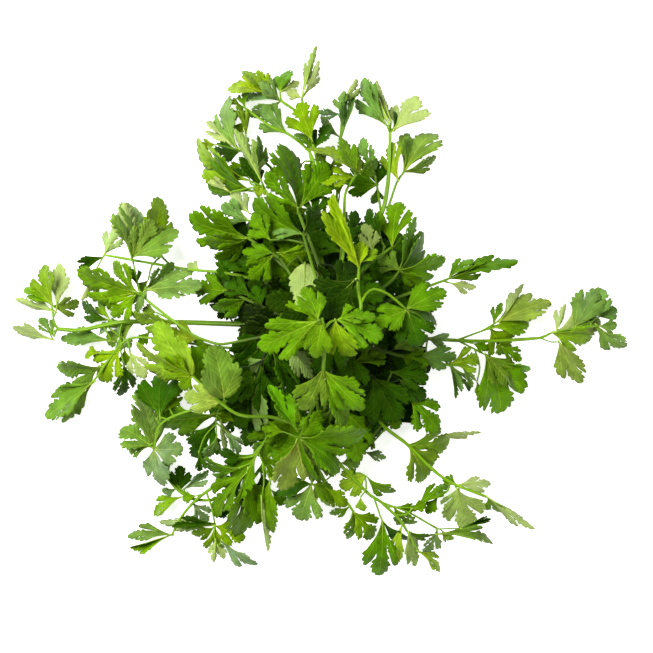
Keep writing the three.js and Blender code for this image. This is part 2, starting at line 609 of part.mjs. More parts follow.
    fans: [
      [[16.04, -29.39, 18.59],
        [10.82, -52.89, 2.31, 0.273, 21.91, 0.332, 0.075, 0.56],
        [40.64, -25.36, 14.31, -0.522, 21.18, 0.348, 0.023, 0.56],
      ],
      [[30.49, -44.47, 16.7],
        [26.63, -67.65, 12.6, 0.123, 10.5, 0.339, 0.067, 0.56],
        [44.09, -61.99, 12.92, -0.344, 6.97, 0.291, 0.064, 0.56],
        [54.79, -43.77, 12.56, -0.598, 15.65, 0.357, 0, 0.56],
      ],
      [[10.43, -21.52, 20.08],
        [3.39, -36.07, 5.41, 1.15, 20.63, 0.176, 0, 0.56],
      ],
    ],
  },
  {
    name: "sprig_under_10", deep: true,
    stalks: [
      [1.5, 1, [14.65, -6.19, 3.06, 15.05, -7.49, 13, 15.45, -8.79, 22.95, 35.55, -17.32, 19.73, 44.12, -17.95, 18.51]],
    ],
    fans: [
      [[28.03, -14.13, 20.93],
        [34.63, -35.83, 28.74, -0.213, 18.59, 0.265, 0.066, 0.56],
        [46.26, 2.14, 11.77, 3.507, 22.08, 0.371, -0.058, 0.56],
      ],
      [[44.12, -17.95, 18.51],
        [47.31, -38.16, 15.31, -0.272, 12.34, 0.217, 0.09, 0.56],
        [63.25, -26.58, 14.3, 0.073, 13.19, 0.188, 0.055, 0.56],
      ],
      [[37.82, -17.49, 19.4],
        [57.83, -3.33, 23.33, -0.04, 17.35, 0.163, 0.06, 0.63],
      ],
      [[18.68, -10.16, 22.43],
        [20.26, -26.3, 24.67, 0.031, 13.63, 0.292, 0.053, 0.56],
      ],
    ],
  },
  {
    name: "sprig_long_left",
    stalks: [
      [1.9, 1.3, [-28.46, 0.37, 3.54, -24.34, 0.25, 9.49, -20.22, 0.14, 15.45, -16.09, 0.04, 21.4, -120.24, 3.03, 12.94, -151.21, -2.17, 10.58, -164.9, -1.54, 9.46]],
      [0.8, 0.68, [-164.9, -1.54, 9.46, -167.39, 2.76, 9.25, -168.64, 13.21, 9.09]],
      [0.7, 0.59, [-132.54, 0.96, 12, -133.84, -0.31, 12.05, -124.55, -7.04, 12.82]],
      [0.7, 0.59, [-164.9, -1.54, 9.46, -169.88, -4.61, 9.05]],
    ],
    fans: [
      [[-168.64, 13.21, 9.09],
        [-152.36, 14.47, 7.09, -0.744, 15.96, 0.272, 0, 0.56],
        [-163.72, 38.54, 5.39, 3.592, 5.76, 0.25, -0.033, 0.61],
        [-174.86, 37.93, 5.17, 0.641, 3.86, 0.378, 0, 0.56],
        [-186.15, 24.39, 4.2, -0.849, 8.75, 0.339, 0, 0.56],
      ],
      [[-136.7, 0.27, 11.68],
        [-163.89, -7.75, 0.6, -0.59, 15.5, 0.366, 0, 0.66],
      ],
      [[-129.89, 1.41, 12.2],
        [-141.14, -4.01, 3.75, -0.737, 6.53, 0.232, 0, 0.56],
        [-150.54, 15.15, 2.87, 0.818, 13.07, 0.352, 0, 0.64],
      ],
      [[-167.76, 5.89, 9.2],
        [-191.9, 16.33, 6.38, 3.442, 14.9, 0.987, -0.026, 0.61],
      ],
      [[-169.88, -4.61, 9.05],
        [-193.4, -0.31, 5.02, 4.062, 15.49, 0.26, 0, 0.61],
      ],
      [[-165.92, -2.17, 9.38],
        [-177.04, 5.25, 3.29, -0.56, 10.94, 0.336, 0, 0.65],
      ],
      [[-124.55, -7.04, 12.82],
        [-119.77, -12.56, 11.84, -0.103, 8.06, 0.357, 0.098, 0.56],
        [-128.78, -0.31, 8.57, 0.638, 7.33, 0.163, 0, 0.56],
      ],
    ],
  },
  {
    name: "sprig_bent_left",
    stalks: [
      [1.3, 0.9, [-15.43, 17.65, 3.09, -15.38, 17.22, 11.95, -15.39, 16.75, 20.8, -15.59, 16.18, 29.65, -38.86, 26.87, 27.18, -61.34, 32.33, 25.27, -85.68, 34.82, 23.34, -135.3, 43.48, 19.18]],
      [0.8, 0.68, [-91.12, 35.77, 22.89, -96.68, 39.1, 22.34, -105.28, 48.85, 21.33]],
      [0.8, 0.68, [-67.42, 32.95, 24.79, -76.54, 34.19, 24.06]],
      [0.7, 0.59, [-135.3, 43.48, 19.18, -139.58, 35.58, 19.04]],
    ],
    fans: [
      [[-105.28, 48.85, 21.33],
        [-102.39, 79.02, 8.1, -0.752, 21.87, 0.302, 0, 0.56],
      ],
      [[-135.3, 43.48, 19.18],
        [-127.32, 60.15, 15.1, 3.143, 13.63, 0.329, -0.018, 0.56],
      ],
      [[-76.54, 34.19, 24.06],
        [-84.29, 37.43, 18.43, 3.008, 8.09, 0.2, -0.034, 0.56],
      ],
    ],
  },
  {
    name: "sprig_lower_left_yellow",
    stalks: [
      [1.6, 1, [-26.21, -12.23, 2.56, -27.01, -12.32, 14.85, -27.82, -12.42, 27.14, -61.41, -12.74, 23.41, -107.33, -6.99, 19.2, -122.69, -8.83, 17.91, -142.46, -33.86, 15.97]],
    ],
    fans: [
      [[-142.46, -33.86, 15.97],
        [-172.14, -56.56, 3.08, -0.784, 23.7, 0.255, 0, 0.56],
      ],
      [[-137.82, -27.99, 16.42],
        [-165.33, -25.65, 3.13, 0.81, 24.61, 0.374, 0, 0.6],
      ],
      [[-125.42, -12.28, 17.64],
        [-137.73, -33.44, 10.46, -0.298, 11.09, 0.236, 0.092, 0.56],
        [-125.45, -42.63, 10.61, 0.763, 9.1, 0.264, 0, 0.7],
      ],
      [[-120.79, -8.6, 18.07],
        [-110.84, -31.45, 15.02, 2.814, 14.06, 0.202, -0.049, 0.68],
      ],
      [[-128.6, -16.31, 17.33],
        [-148.58, -17.46, 11.78, -0.732, 10, 0.173, 0, 0.76],
      ],
    ],
  },
  {
    name: "sprig_low_left",
    stalks: [
      [1.5, 1, [-14.1, -25.06, 3.62, -19.35, -30.25, 17.3, -24.62, -35.42, 30.99, -85.41, -51.68, 25.9, -100.71, -59.58, 24.39, -104.44, -74.17, 23.45]],
      [0.8, 0.68, [-62.84, -45.65, 27.79, -66.67, -55.21, 26.86, -66.11, -66.11, 26.27]],
      [0.7, 0.59, [-66.48, -58.88, 26.66, -73.39, -66.14, 25.75, -77.08, -75.87, 24.95]],
    ],
    fans: [
      [[-104.23, -73.33, 23.5],
        [-100.58, -97.52, 13.81, -0.706, 19.06, 0.209, 0, 0.56],
        [-87, -74.27, 22.11, 0.1, 25.36, 0.368, 0.076, 0.56],
        [-115.46, -39.91, 17.31, -1.012, 18.37, 0.241, 0, 0.56],
        [-125.46, -61.97, 15.33, -0.741, 13.85, 0.266, 0, 0.56],
      ],
      [[-65.72, -52.83, 27.09],
        [-105.5, -57.52, 7.78, 0.602, 18.7, 0.185, 0, 0.56],
        [-81.14, -80.53, 12.32, 0.25, 15.37, 0.341, 0.068, 0.56],
      ],
      [[-95.02, -56.65, 24.95],
        [-98.58, -26.55, 15.43, 0.518, 32.07, 0.287, 0.1, 0.63],
      ],
      [[-100.71, -59.58, 24.39],
        [-87.8, -34.94, 20, 0, 10.91, 0.22, 0.05, 0.63],
      ],
      [[-66.11, -66.11, 26.27],
        [-73.31, -79.39, 18.76, 0.742, 11.85, 0.231, 0, 0.56],
      ],
    ],
  },
  {
    name: "sprig_low_left_hook",
    stalks: [
      [1.5, 1, [-6.82, -26.83, 2.07, -11.57, -36.92, 6.42, -16.32, -47.01, 10.78, -21.07, -57.09, 15.13, -37.65, -82.95, 12.61, -53.06, -101.52, 10.67, -66.61, -105.9, 9.79, -77.7, -106.57, 9.2, -85.1, -104.76, 8.97, -91.25, -100.46, 8.94, -96.77, -94.31, 9]],
    ],
    fans: [
      [[-85.33, -104.6, 8.97],
        [-108.13, -115.56, 0.6, -0.843, 14.58, 0.205, 0, 0.63],
      ],
      [[-78.02, -106.5, 9.19],
        [-74.46, -122.66, 3.33, 0.598, 13.84, 0.367, 0, 0.65],
      ],
      [[-90.29, -101.13, 8.95],
        [-101.51, -101.51, 4.69, 0.566, 8, 0.332, 0, 0.56],
        [-90.2, -85.89, 6.92, -0.204, 13.8, 0.212, 0.032, 0.56],
      ],
      [[-96.77, -94.31, 9],
        [-102.5, -89.57, 7.1, 0.204, 7.44, 0.328, 0.099, 0.56],
      ],
    ],
  },
  {
    name: "sprig_bottom_left_fork",
    stalks: [
      [1.5, 1, [-10.31, -25.44, 1.75, -14.68, -34.91, 7.27, -19.06, -44.39, 12.79, -23.43, -53.87, 18.31, -55.92, -90.75, 14.32, -66.36, -96.34, 13.47, -79.93, -106.27, 12.18, -89.84, -118.06, 10.86, -94.84, -127.99, 9.94]],
      [0.9, 0.77, [-73.54, -101.59, 12.79, -70.12, -111.15, 12.23, -68.33, -122.27, 11.5]],
      [0.7, 0.59, [-68.34, -122.27, 11.5, -68.98, -128.46, 11.02, -66.55, -134.64, 10.65]],
    ],
    fans: [
      [[-68.35, -122.17, 11.51],
        [-67.15, -138.93, 1.84, 0.019, 14.08, 0.312, 0.091, 0.56],
        [-50.81, -130.86, 6.74, 0.492, 13.69, 0.209, 0.059, 0.56],
        [-102.92, -120.85, 2.99, 2.842, 15.31, 0.987, -0.034, 0.56],
      ],
      [[-94.84, -127.99, 9.94],
        [-121.14, -136.01, 0.6, 0.3, 15.97, 1.026, 0.072, 0.56],
      ],
      [[-66.55, -134.64, 10.65],
        [-43.61, -148.14, 2.39, -0.834, 15.5, 0.347, 0, 0.61],
      ],
    ],
  },
  {
    name: "sprig_bottom_left_dark",
    stalks: [
      [1.6, 1, [-11.35, -22.1, 4.1, -13.62, -28.59, 18.54, -15.89, -35.07, 32.98, -24.31, -47.12, 31.75, -47.31, -86.49, 27.87]],
      [0.8, 0.68, [-41.01, -75.7, 28.93, -34.06, -92.52, 27.83]],
      [0.8, 0.68, [-38.6, -81.51, 28.55, -37.68, -92.53, 27.73, -38.92, -102.87, 26.87]],
    ],
    fans: [
      [[-47.31, -86.49, 27.87],
        [-69.25, -115.62, 15.93, -0.772, 14.67, 0.366, 0, 0.63],
        [-54.95, -127.4, 9.71, 0.83, 23.22, 0.363, 0, 0.56],
      ],
      [[-41.01, -75.7, 28.93],
        [-65.12, -76.03, 22.91, 0.708, 8.84, 0.296, 0, 0.71],
        [-59.97, -102.58, 18.07, -0.705, 18.97, 0.26, 0, 0.56],
        [-30.81, -93.65, 16, 0, 11.59, 0.22, 0.05, 0.64],
      ],
      [[-38.92, -102.87, 26.87],
        [-35.9, -137.15, 10.26, 2.842, 20.31, 1.026, -0.058, 0.56],
      ],
      [[-34.06, -92.52, 27.83],
        [-33.22, -124.67, 16.73, -0.8, 20.96, 0.202, 0, 0.56],
      ],
      [[-44.76, -82.12, 28.3],
        [-77.36, -83.48, 13.59, 0.822, 17.32, 0.17, 0, 0.67],
      ],
    ],
  },
  {
    name: "sprig_top_left",
    stalks: [
      [1.5, 1, [-5.31, 23.49, 2.61, -5.26, 37.27, 7.83, -5.22, 51.04, 13.04, -5.17, 64.82, 18.26, -6.4, 83.21, 16.56, -12.53, 117.08, 13.63, -17.44, 130.07, 12.7, -27.87, 138.13, 12]],
      [0.8, 0.68, [-27.87, 138.13, 12, -36.47, 143.11, 11.45]],
      [0.7, 0.59, [-27.87, 138.13, 12, -28.5, 143.71, 11.53]],
    ],
    fans: [
      [[-36.47, 143.11, 11.45],
        [-42.11, 157.67, 8.53, -0.63, 4.44, 0.383, 0, 0.56],
        [-51.53, 157.07, 4.58, -0.867, 2.19, 0.227, 0, 0.56],
        [-61.55, 148.16, 2.23, -0.852, 9.24, 0.376, 0, 0.56],
      ],
      [[-28.79, 138.67, 11.94],
        [-47.4, 130.43, 0.6, 0.658, 9.26, 0.357, 0, 0.56],
        [-40.52, 148.99, 17.17, -0.721, 6.18, 0.171, 0, 0.56],
        [-54.19, 141.52, 1.04, -0.8, 4.78, 0.209, 0, 0.56],
      ],
      [[-28.5, 143.71, 11.53],
        [-16.93, 150.53, 7.02, 3.121, 6.57, 0.52, -0.036, 0.56],
        [-24.39, 158.98, 4.17, 0.787, 9.71, 0.162, 0, 0.56],
      ],
    ],
  },
  {
    name: "sprig_top_centre",
    stalks: [
      [1.4, 0.9, [-0.7, 21.56, 1.72, -0.33, 33.41, 9.76, 0.03, 45.26, 17.8, 0.39, 57.11, 25.85, -5.43, 97.91, 24.66, -15.17, 138.89, 20.74]],
    ],
    fans: [
      [[-8.44, 110.56, 23.45],
        [2.13, 121.78, 20.34, 0.743, 12.37, 0.377, 0, 0.56],
        [-16.04, 135.27, 23.83, 0.388, 5.58, 0.369, 0.077, 0.64],
        [-18.59, 118.58, 16.68, -0.706, 4.12, 0.252, 0, 0.56],
      ],
      [[-15.17, 138.89, 20.74],
        [-7.1, 171.89, 4.5, 2.842, 10.84, 0.987, -0.042, 0.56],
      ],
    ],
  },
  {
    name: "sprig_upper_left_a",
    stalks: [
      [1.4, 0.9, [-8.39, 20.11, 2.09, -9.32, 30.83, 9.83, -10.25, 41.55, 17.57, -11.18, 52.27, 25.31, -16.04, 67.47, 23.97, -25.16, 85.77, 22.29, -35.51, 98.02, 21.06, -46.47, 104.79, 20.21, -53.78, 107.27, 19.78]],
    ],
    fans: [
      [[-53.78, 107.27, 19.78],
        [-62.44, 141.18, 7.79, 0.943, 8.75, 0.236, 0, 0.56],
        [-73.21, 127.58, 3.52, 2.431, 4.1, 0.229, 0, 0.56],
        [-68.8, 107.94, 13.64, 0.676, 10.54, 0.224, 0, 0.56],
      ],
      [[-45.83, 104.39, 20.26],
        [-54.02, 138.26, 15.45, -0.858, 10.03, 0.247, 0, 0.69],
      ],
    ],
  },
  {
    name: "sprig_top_right",
    stalks: [
      [1.9, 1.2, [7.43, 17.67, 2.79, 8.96, 19.84, 16.26, 10.48, 22.02, 29.73, 14.16, 38.86, 28.16, 32.94, 67.38, 25.27, 37.86, 94.8, 23, 38.55, 120.49, 20.95]],
      [0.9, 0.77, [33.92, 72.84, 24.82, 37.18, 72.25, 24.82, 42.68, 87.49, 23.46, 46.95, 93.6, 22.84]],
      [0.9, 0.77, [33.06, 68.08, 25.22, 30.56, 85.63, 23.96]],
    ],
    fans: [
      [[46.95, 93.6, 22.84],
        [67.02, 103.74, 12.88, -0.873, 7.71, 0.322, 0, 0.56],
        [65.49, 120.22, 8.14, 0.673, 4.62, 0.249, 0, 0.56],
        [51.16, 116.71, 11.81, -0.653, 4.1, 0.365, 0, 0.56],
      ],
      [[38.46, 117.41, 21.2],
        [55.01, 141.06, 8.62, 3.795, 29.2, 0.352, 0, 0.6],
        [21.23, 151.67, 7.58, 0.836, 20.96, 0.248, 0, 0.61],
      ],
      [[31.24, 80.88, 24.3],
        [28.85, 74.39, 20.53, 0.639, 9.98, 0.233, 0, 0.56],
        [21, 114.76, 18.07, 0.646, 16.41, 0.277, 0, 0.68],
      ],
      [[30.56, 85.63, 23.96],
        [28.33, 101.45, 17.29, -0.401, 16.04, 0.203, 0.082, 0.56],
        [9.42, 90.21, 20.23, 0.624, 21.02, 0.269, 0, 0.56],
      ],
      [[42.44, 86.8, 23.52],
        [39.36, 111.98, 15.74, 0.745, 17.32, 0.3, 0, 0.62],
      ],
    ],
  },
  {
    name: "sprig_long_right",
    stalks: [
      [1.9, 1.1, [21.51, -3.39, 3.17, 19.49, -3.57, 9.56, 17.48, -3.75, 15.95, 15.46, -3.93, 22.34, 87.53, -8.84, 16.23, 130.7, -7.04, 12.63, 137.51, -3.98, 12.07]],
      [0.9, 0.77, [79.58, -8.3, 16.91, 99.83, -0.92, 15.22]],
      [0.9, 0.77, [79.58, -8.3, 16.91, 97.37, -17.4, 15.33]],
      [0.8, 0.68, [137.51, -3.98, 12.07, 162.97, 0.92, 9.95]],
      [0.7, 0.59, [130.7, -7.04, 12.63, 137.51, -9.49, 12.05]],
    ],
    fans: [
      [[97.37, -17.4, 15.33],
        [107.48, -52.35, 0.81, 0.392, 10.53, 0.353, 0.099, 0.56],
        [125.87, -27.53, 2.35, -0.987, 5.67, 0.194, 0, 0.56],
      ],
      [[96.52, -2.12, 15.5],
        [111.25, -16.33, 5.89, 0.088, 19.21, 0.218, 0.06, 0.56],
        [139.11, 17.04, 0.6, 0.557, 11.04, 0.234, 0, 0.65],
        [121.42, 26.26, 3.33, 2.842, 6.25, 0.987, -0.055, 0.69],
      ],
      [[138.82, -3.73, 11.96],
        [169.12, 2.78, 2.68, 2.911, 24.53, 0.335, -0.033, 0.57],
      ],
      [[152.07, -1.18, 10.85],
        [169.34, 24.46, 1.35, 0.435, 20.15, 0.186, 0.074, 0.56],
      ],
      [[137.51, -9.49, 12.05],
        [157.12, -34.88, 4.22, -0.559, 18.23, 0.212, 0, 0.62],
      ],
      [[159.8, 0.31, 10.21],
        [184.93, -12.66, 4.07, -0.929, 20.5, 0.371, 0, 0.64],
        [171.5, 22.56, 3.2, 0.728, 18.85, 0.162, 0, 0.56],
      ],
      [[106.03, -8.07, 14.69],
        [119.63, -20.6, 8, 0, 10.23, 0.22, 0.05, 0.65],
      ],
    ],
  },
  {
    name: "sprig_lower_right_long",
    stalks: [
      [1.7, 1, [13.18, -19.9, 3.43, 12.99, -19.25, 14, 12.79, -18.6, 24.56, 31.61, -56.76, 20.11, 49.69, -72.26, 16.83, 63.21, -85.81, 14.93, 75.52, -95.09, 13.67, 98.34, -104.46, 11.8]],
      [0.7, 0.59, [50.92, -73.49, 16.66, 64.36, -67.41, 16]],
    ],
    fans: [
      [[77.81, -96.03, 13.48],
        [73.6, -114.24, 6.68, 3.851, 5.66, 0.376, 0, 0.56],
        [87.54, -124.66, 2.18, 3.064, 9.01, 0.381, -0.027, 0.61],
        [100.89, -96.57, 4.72, 3.753, 10.99, 0.351, 0, 0.56],
        [71.61, -93.12, 8.59, -0.436, 8.66, 0.263, 0.055, 0.56],
      ],
      [[49.69, -72.26, 16.83],
        [60.59, -94.42, 7.93, 0.51, 12.7, 0.38, 0.074, 0.56],
        [76.07, -70.52, 6.56, -0.597, 11.91, 0.243, 0, 0.56],
      ],
      [[98.34, -104.46, 11.8],
        [127.28, -124.82, 5.84, 3.442, 12.19, 0.987, -0.033, 0.56],
      ],
      [[64.36, -67.41, 16],
        [95.59, -65.27, 2.08, 3.442, 8.13, 0.987, -0.016, 0.56],
      ],
      [[34.19, -58.97, 19.64],
        [22.29, -74.81, 15, 0, 10.23, 0.22, 0.05, 0.73],
        [36.52, -80.71, 10, 0, 6.14, 0.22, 0.05, 0.82],
      ],
    ],
  },
  {
    name: "sprig_bottom_right",
    stalks: [
      [1.6, 1, [2.43, -22.02, 2.25, 3.48, -28.65, 14.66, 4.53, -35.28, 27.08, 2.72, -59.54, 25.06, 3.33, -76.58, 23.62, 26.4, -102.27, 21.1, 32.49, -105.96, 20.64, 44.69, -117.65, 19.35, 48.98, -124.42, 18.69]],
      [0.8, 0.68, [28.72, -103.68, 20.92, 33.74, -118.22, 19.61]],
      [0.8, 0.68, [33.43, -106.86, 20.54, 50.76, -113.38, 19.45, 67.27, -123.28, 18.06]],
      [0.7, 0.59, [14.85, -89.4, 22.36, 20.31, -88.8, 22.3, 24.56, -91.26, 22]],
      [0.7, 0.59, [48.98, -124.42, 18.69, 55.74, -136.75, 17.51]],
    ],
    fans: [
      [[33.74, -118.22, 19.61],
        [32.47, -153.71, 2.32, 0.1, 16.86, 0.158, 0.082, 0.56],
        [50.03, -131.68, 9.85, -0.796, 8.43, 0.247, 0, 0.56],
      ],
      [[67.27, -123.28, 18.06],
        [59.77, -138.84, 11.31, 0.514, 11.85, 0.322, 0.097, 0.56],
        [103.7, -132.8, 1.42, 0.862, 12.76, 0.335, 0, 0.59],
      ],
      [[36.25, -109.56, 20.24],
        [75.45, -96.39, 6.59, 0.788, 11.85, 0.142, 0, 0.73],
      ],
      [[49.38, -125.15, 18.62],
        [55.68, -146.74, 7.66, 4.096, 17.32, 0.208, 0, 0.56],
        [66.5, -128.4, 11.46, -0.925, 9.11, 0.212, 0, 0.56],
      ],
      [[46.15, -119.96, 19.13],
        [42.18, -146.24, 6.83, -0.558, 10.94, 0.317, 0, 0.56],
      ],
      [[23.64, -90.73, 22.06],
        [8.22, -97.78, 17.37, 0.07, 17.97, 0.275, 0.032, 0.56],
        [41.89, -101.81, 13.72, -0.797, 13.67, 0.186, 0, 0.56],
      ],
      [[40.87, -109.66, 20.07],
        [54.24, -121.65, 11.53, -0.797, 14.58, 0.27, 0, 0.56],
      ],
      [[9.92, -83.92, 22.9],
        [12.48, -109.29, 18, 0, 10.91, 0.22, 0.05, 0.76],
      ],
      [[55.74, -136.75, 17.51],
        [70.57, -150.08, 5.86, 0.883, 11.85, 0.225, 0, 0.56],
      ],
    ],
  },
  {
    name: "sprig_bottom_centre",
    stalks: [
      [1.5, 1, [0.82, -26.18, 2.78, 0.47, -36.03, 12.75, 0.03, -45.87, 22.72, -4.91, -62.91, 20.34, -7, -78.19, 18.57, -0.91, -95.37, 17.09, 11.29, -105.84, 16.13, 16.18, -112.62, 15.5]],
    ],
    fans: [
      [[16.18, -112.62, 15.5],
        [2.14, -114.89, 11.7, 0.707, 9.11, 0.301, 0, 0.56],
        [13.86, -130.24, 6.78, 0.758, 8.89, 0.186, 0, 0.56],
        [28.68, -130.46, 5.13, 0.377, 9.72, 0.292, 0.088, 0.56],
      ],
      [[-3.52, -88.01, 17.72],
        [1.54, -109.75, 8.34, -0.836, 15.49, 0.308, 0, 0.64],
      ],
    ],
  },
];

// ---------- shapes ----------
const v3 = (x, y, z) => new THREE.Vector3(x, y, z);
const wayPoints = (list) => {
  const out = [];
  for (let i = 0; i < list.length; i += 3) out.push(v3(list[i], list[i + 1], list[i + 2]));
  return out;
};

// A stalk: a cylinder with one ring of corners per way-point, each ring set square to the path.
function stalkGeometry(points, r0, r1, sides, grow = 0) {
  const n = points.length - 1;
  const geometry = new THREE.CylinderGeometry(1, 1, 1, sides, n);
  const tangents = points.map((p, i) => {
    const t = v3(0, 0, 0);
    if (i > 0) t.add(p.clone().sub(points[i - 1]).normalize());
    if (i < n) t.add(points[i + 1].clone().sub(p).normalize());
    return t.normalize();
  });
  const start = Math.abs(tangents[0].z) < 0.9 ? v3(0, 0, 1) : v3(1, 0, 0);
  const across = [start.addScaledVector(tangents[0], -start.dot(tangents[0])).normalize()];
  for (let i = 1; i <= n; i++) across.push(across[i - 1].clone().applyQuaternion(new THREE.Quaternion().setFromUnitVectors(tangents[i - 1], tangents[i])));
  const position = geometry.attributes.position;
  for (let i = 0; i < position.count; i++) {
    const k = Math.round((0.5 - position.getY(i)) * n);
    const t = tangents[k];
    const v = t.clone().cross(across[k]);
    const r = r0 + ((r1 - r0) * k) / n + grow / Math.cos(Math.PI / sides);
    const p = points[k].clone().addScaledVector(across[k], position.getX(i) * r).addScaledVector(v, position.getZ(i) * r);
    if (grow) p.addScaledVector(t, k === 0 ? -grow : k === n ? grow : 0);
    position.setXYZ(i, p.x, p.y, p.z);
  }
  return geometry;
}

// The corners of one leaflet round its edge, from its left side over the tip to its right side, and its facing.
function leafletCorners(feet, leaflet, grow = 0) {
  const [tx, ty, tz, turn, width, fold, arch, widest] = leaflet;
  const along = v3(tx, ty, tz).sub(feet);
  const length = along.length();
  along.normalize();
  const level = along.clone().cross(v3(0, 0, 1)).normalize();
  const up = level.clone().cross(along);
  const side = level.clone().multiplyScalar(Math.cos(turn)).addScaledVector(up, Math.sin(turn));
  const face = up.clone().multiplyScalar(Math.cos(turn)).addScaledVector(level, -Math.sin(turn));
  const rows = length > LONG_BLADE ? LONG_ROWS.map(([s, w]) => [Math.min(LONG_ROWS_END, s * widest), w]) : [[widest, 1]];
  const at = (s, across) => feet.clone()
    .addScaledVector(along, length * s)
    .addScaledVector(side, across * Math.cos(fold))
    .addScaledVector(face, arch * length * 4 * s * (1 - s) + Math.abs(across) * Math.sin(fold));
  const flip = Math.cos(turn) < 0 ? -1 : 1; // a leaflet that shows its underside is turned over
  const half = (w) => flip * (w * width / 2 + grow);
  const left = rows.map(([s, w]) => at(s, -half(w)));
  const right = rows.map(([s, w]) => at(s, half(w))).reverse();
  const tip = at(1, 0).addScaledVector(along, 1.5 * grow);
  const steep = Math.max(BLADE_STEEPEST, Math.abs(face.z));
  return { corners: [...left, tip, ...right], steep };
}

const settle = (z) => z < SURFACE_REST + SURFACE_EASE ? SURFACE_REST + SURFACE_EASE * Math.exp((z - SURFACE_REST - SURFACE_EASE) / SURFACE_EASE) : z;

// A thin slab: an extruded outline whose corners are lifted to their heights. Each corner is [point, steepness].
function slabGeometry(rim, grow = 0) {
  const shape = new THREE.Shape(rim.map(([p]) => new THREE.Vector2(p.x, p.y)));
  const geometry = new THREE.ExtrudeGeometry(shape, { depth: 1, steps: 1, bevelEnabled: false });
  const position = geometry.attributes.position;
  for (let i = 0; i < position.count; i++) {
    let best = null, nearest = Infinity;
    for (const corner of rim) {
      const d = Math.hypot(corner[0].x - position.getX(i), corner[0].y - position.getY(i));
      if (d < nearest) { nearest = d; best = corner; }
    }
    const half = (BLADE_THICKNESS / 2 + grow) / best[1];
    const middle = Math.max(settle(best[0].z), SURFACE_REST + BLADE_THICKNESS / 2 / best[1] - BLADE_THICKNESS / 2);
    position.setZ(i, middle + (position.getZ(i) > 0.5 ? half : -half));
  }
  return geometry;
}

// Leaflets that share their feet: the corners of each, and the corner of the shared middle that follows it.
function fanArms(fan, grow = 0) {
  const feet = v3(...fan[0]);
  const leaflets = fan.slice(1).map((l) => leafletCorners(feet, l, grow));
  const heading = (p) => Math.atan2(p.y - feet.y, p.x - feet.x);
  return leaflets.map((l, i) => {
    const next = leaflets[(i + 1) % leaflets.length];
    const a = heading(l.corners[0]);
    let b = heading(next.corners[next.corners.length - 1]);
    while (b <= a) b += 2 * Math.PI;
    const m = (a + b) / 2;
    const hub = v3(feet.x + (HUB + grow) * Math.cos(m), feet.y + (HUB + grow) * Math.sin(m), feet.z);
    return { edge: [...l.corners].reverse().map((p) => [p, l.steep]), hub: [hub, 1], feet: [feet, 1] };
  });
}

const fanGeometry = (fan) => slabGeometry(fanArms(fan).flatMap((arm) => [...arm.edge, arm.hub]));

// The same fan grown all round: the whole of it, and one slab per leaflet.
function grownFan(fan, grow) {
  const arms = fanArms(fan, grow);
  const n = arms.length;
  const whole = slabGeometry(arms.flatMap((arm) => [...arm.edge, arm.hub]), grow);
  if (n === 1) return [whole];
  return [whole, ...arms.map((arm, i) => {
    const before = arms[(i + n - 1) % n].hub;
    const middle = n === 1 ? [arm.hub] : n === 2 ? [arm.hub, before] : [arm.hub, arm.feet, before];
    return slabGeometry([...arm.edge, ...middle], grow);
  })];
}

// ---------- joining and cutting ----------
const wasm = await Module();
wasm.setup();

function solid(geometry) {
  let g = geometry;
  g.deleteAttribute("normal");
  g.deleteAttribute("uv");
  g = mergeVertices(g, 1e-4);
  return new wasm.Manifold(new wasm.Mesh({
    numProp: 3,
    vertProperties: new Float32Array(g.attributes.position.array),
    triVerts: new Uint32Array(g.index.array),
  }));
}

function reach(geometry) {
  geometry.computeBoundingBox();
  return geometry.boundingBox;
}

// Each sprig's stalks and blades, plain and grown by the passing gap.
const sprigs = SPRIGS.map((s) => {
  const stalks = s.stalks.map(([r0, r1, list], i) => {
    const path = wayPoints(list);
    const sides = i === 0 ? STALK_SIDES : SIDE_STALK_SIDES;
    const fat = stalkGeometry(path, r0, r1, sides, PASSING_GAP);
    return { box: reach(fat), fat: solid(fat), body: solid(stalkGeometry(path, r0, r1, sides)) };
  });
  const blades = s.fans.map((fan) => {
    const grown = grownFan(fan, PASSING_GAP);
    const box = grown.map(reach).reduce((a, b) => a.union(b));
    return { box, fat: grown.map(solid), body: solid(fanGeometry(fan)) };
  });
  return { ...s, stalks, blades };
});

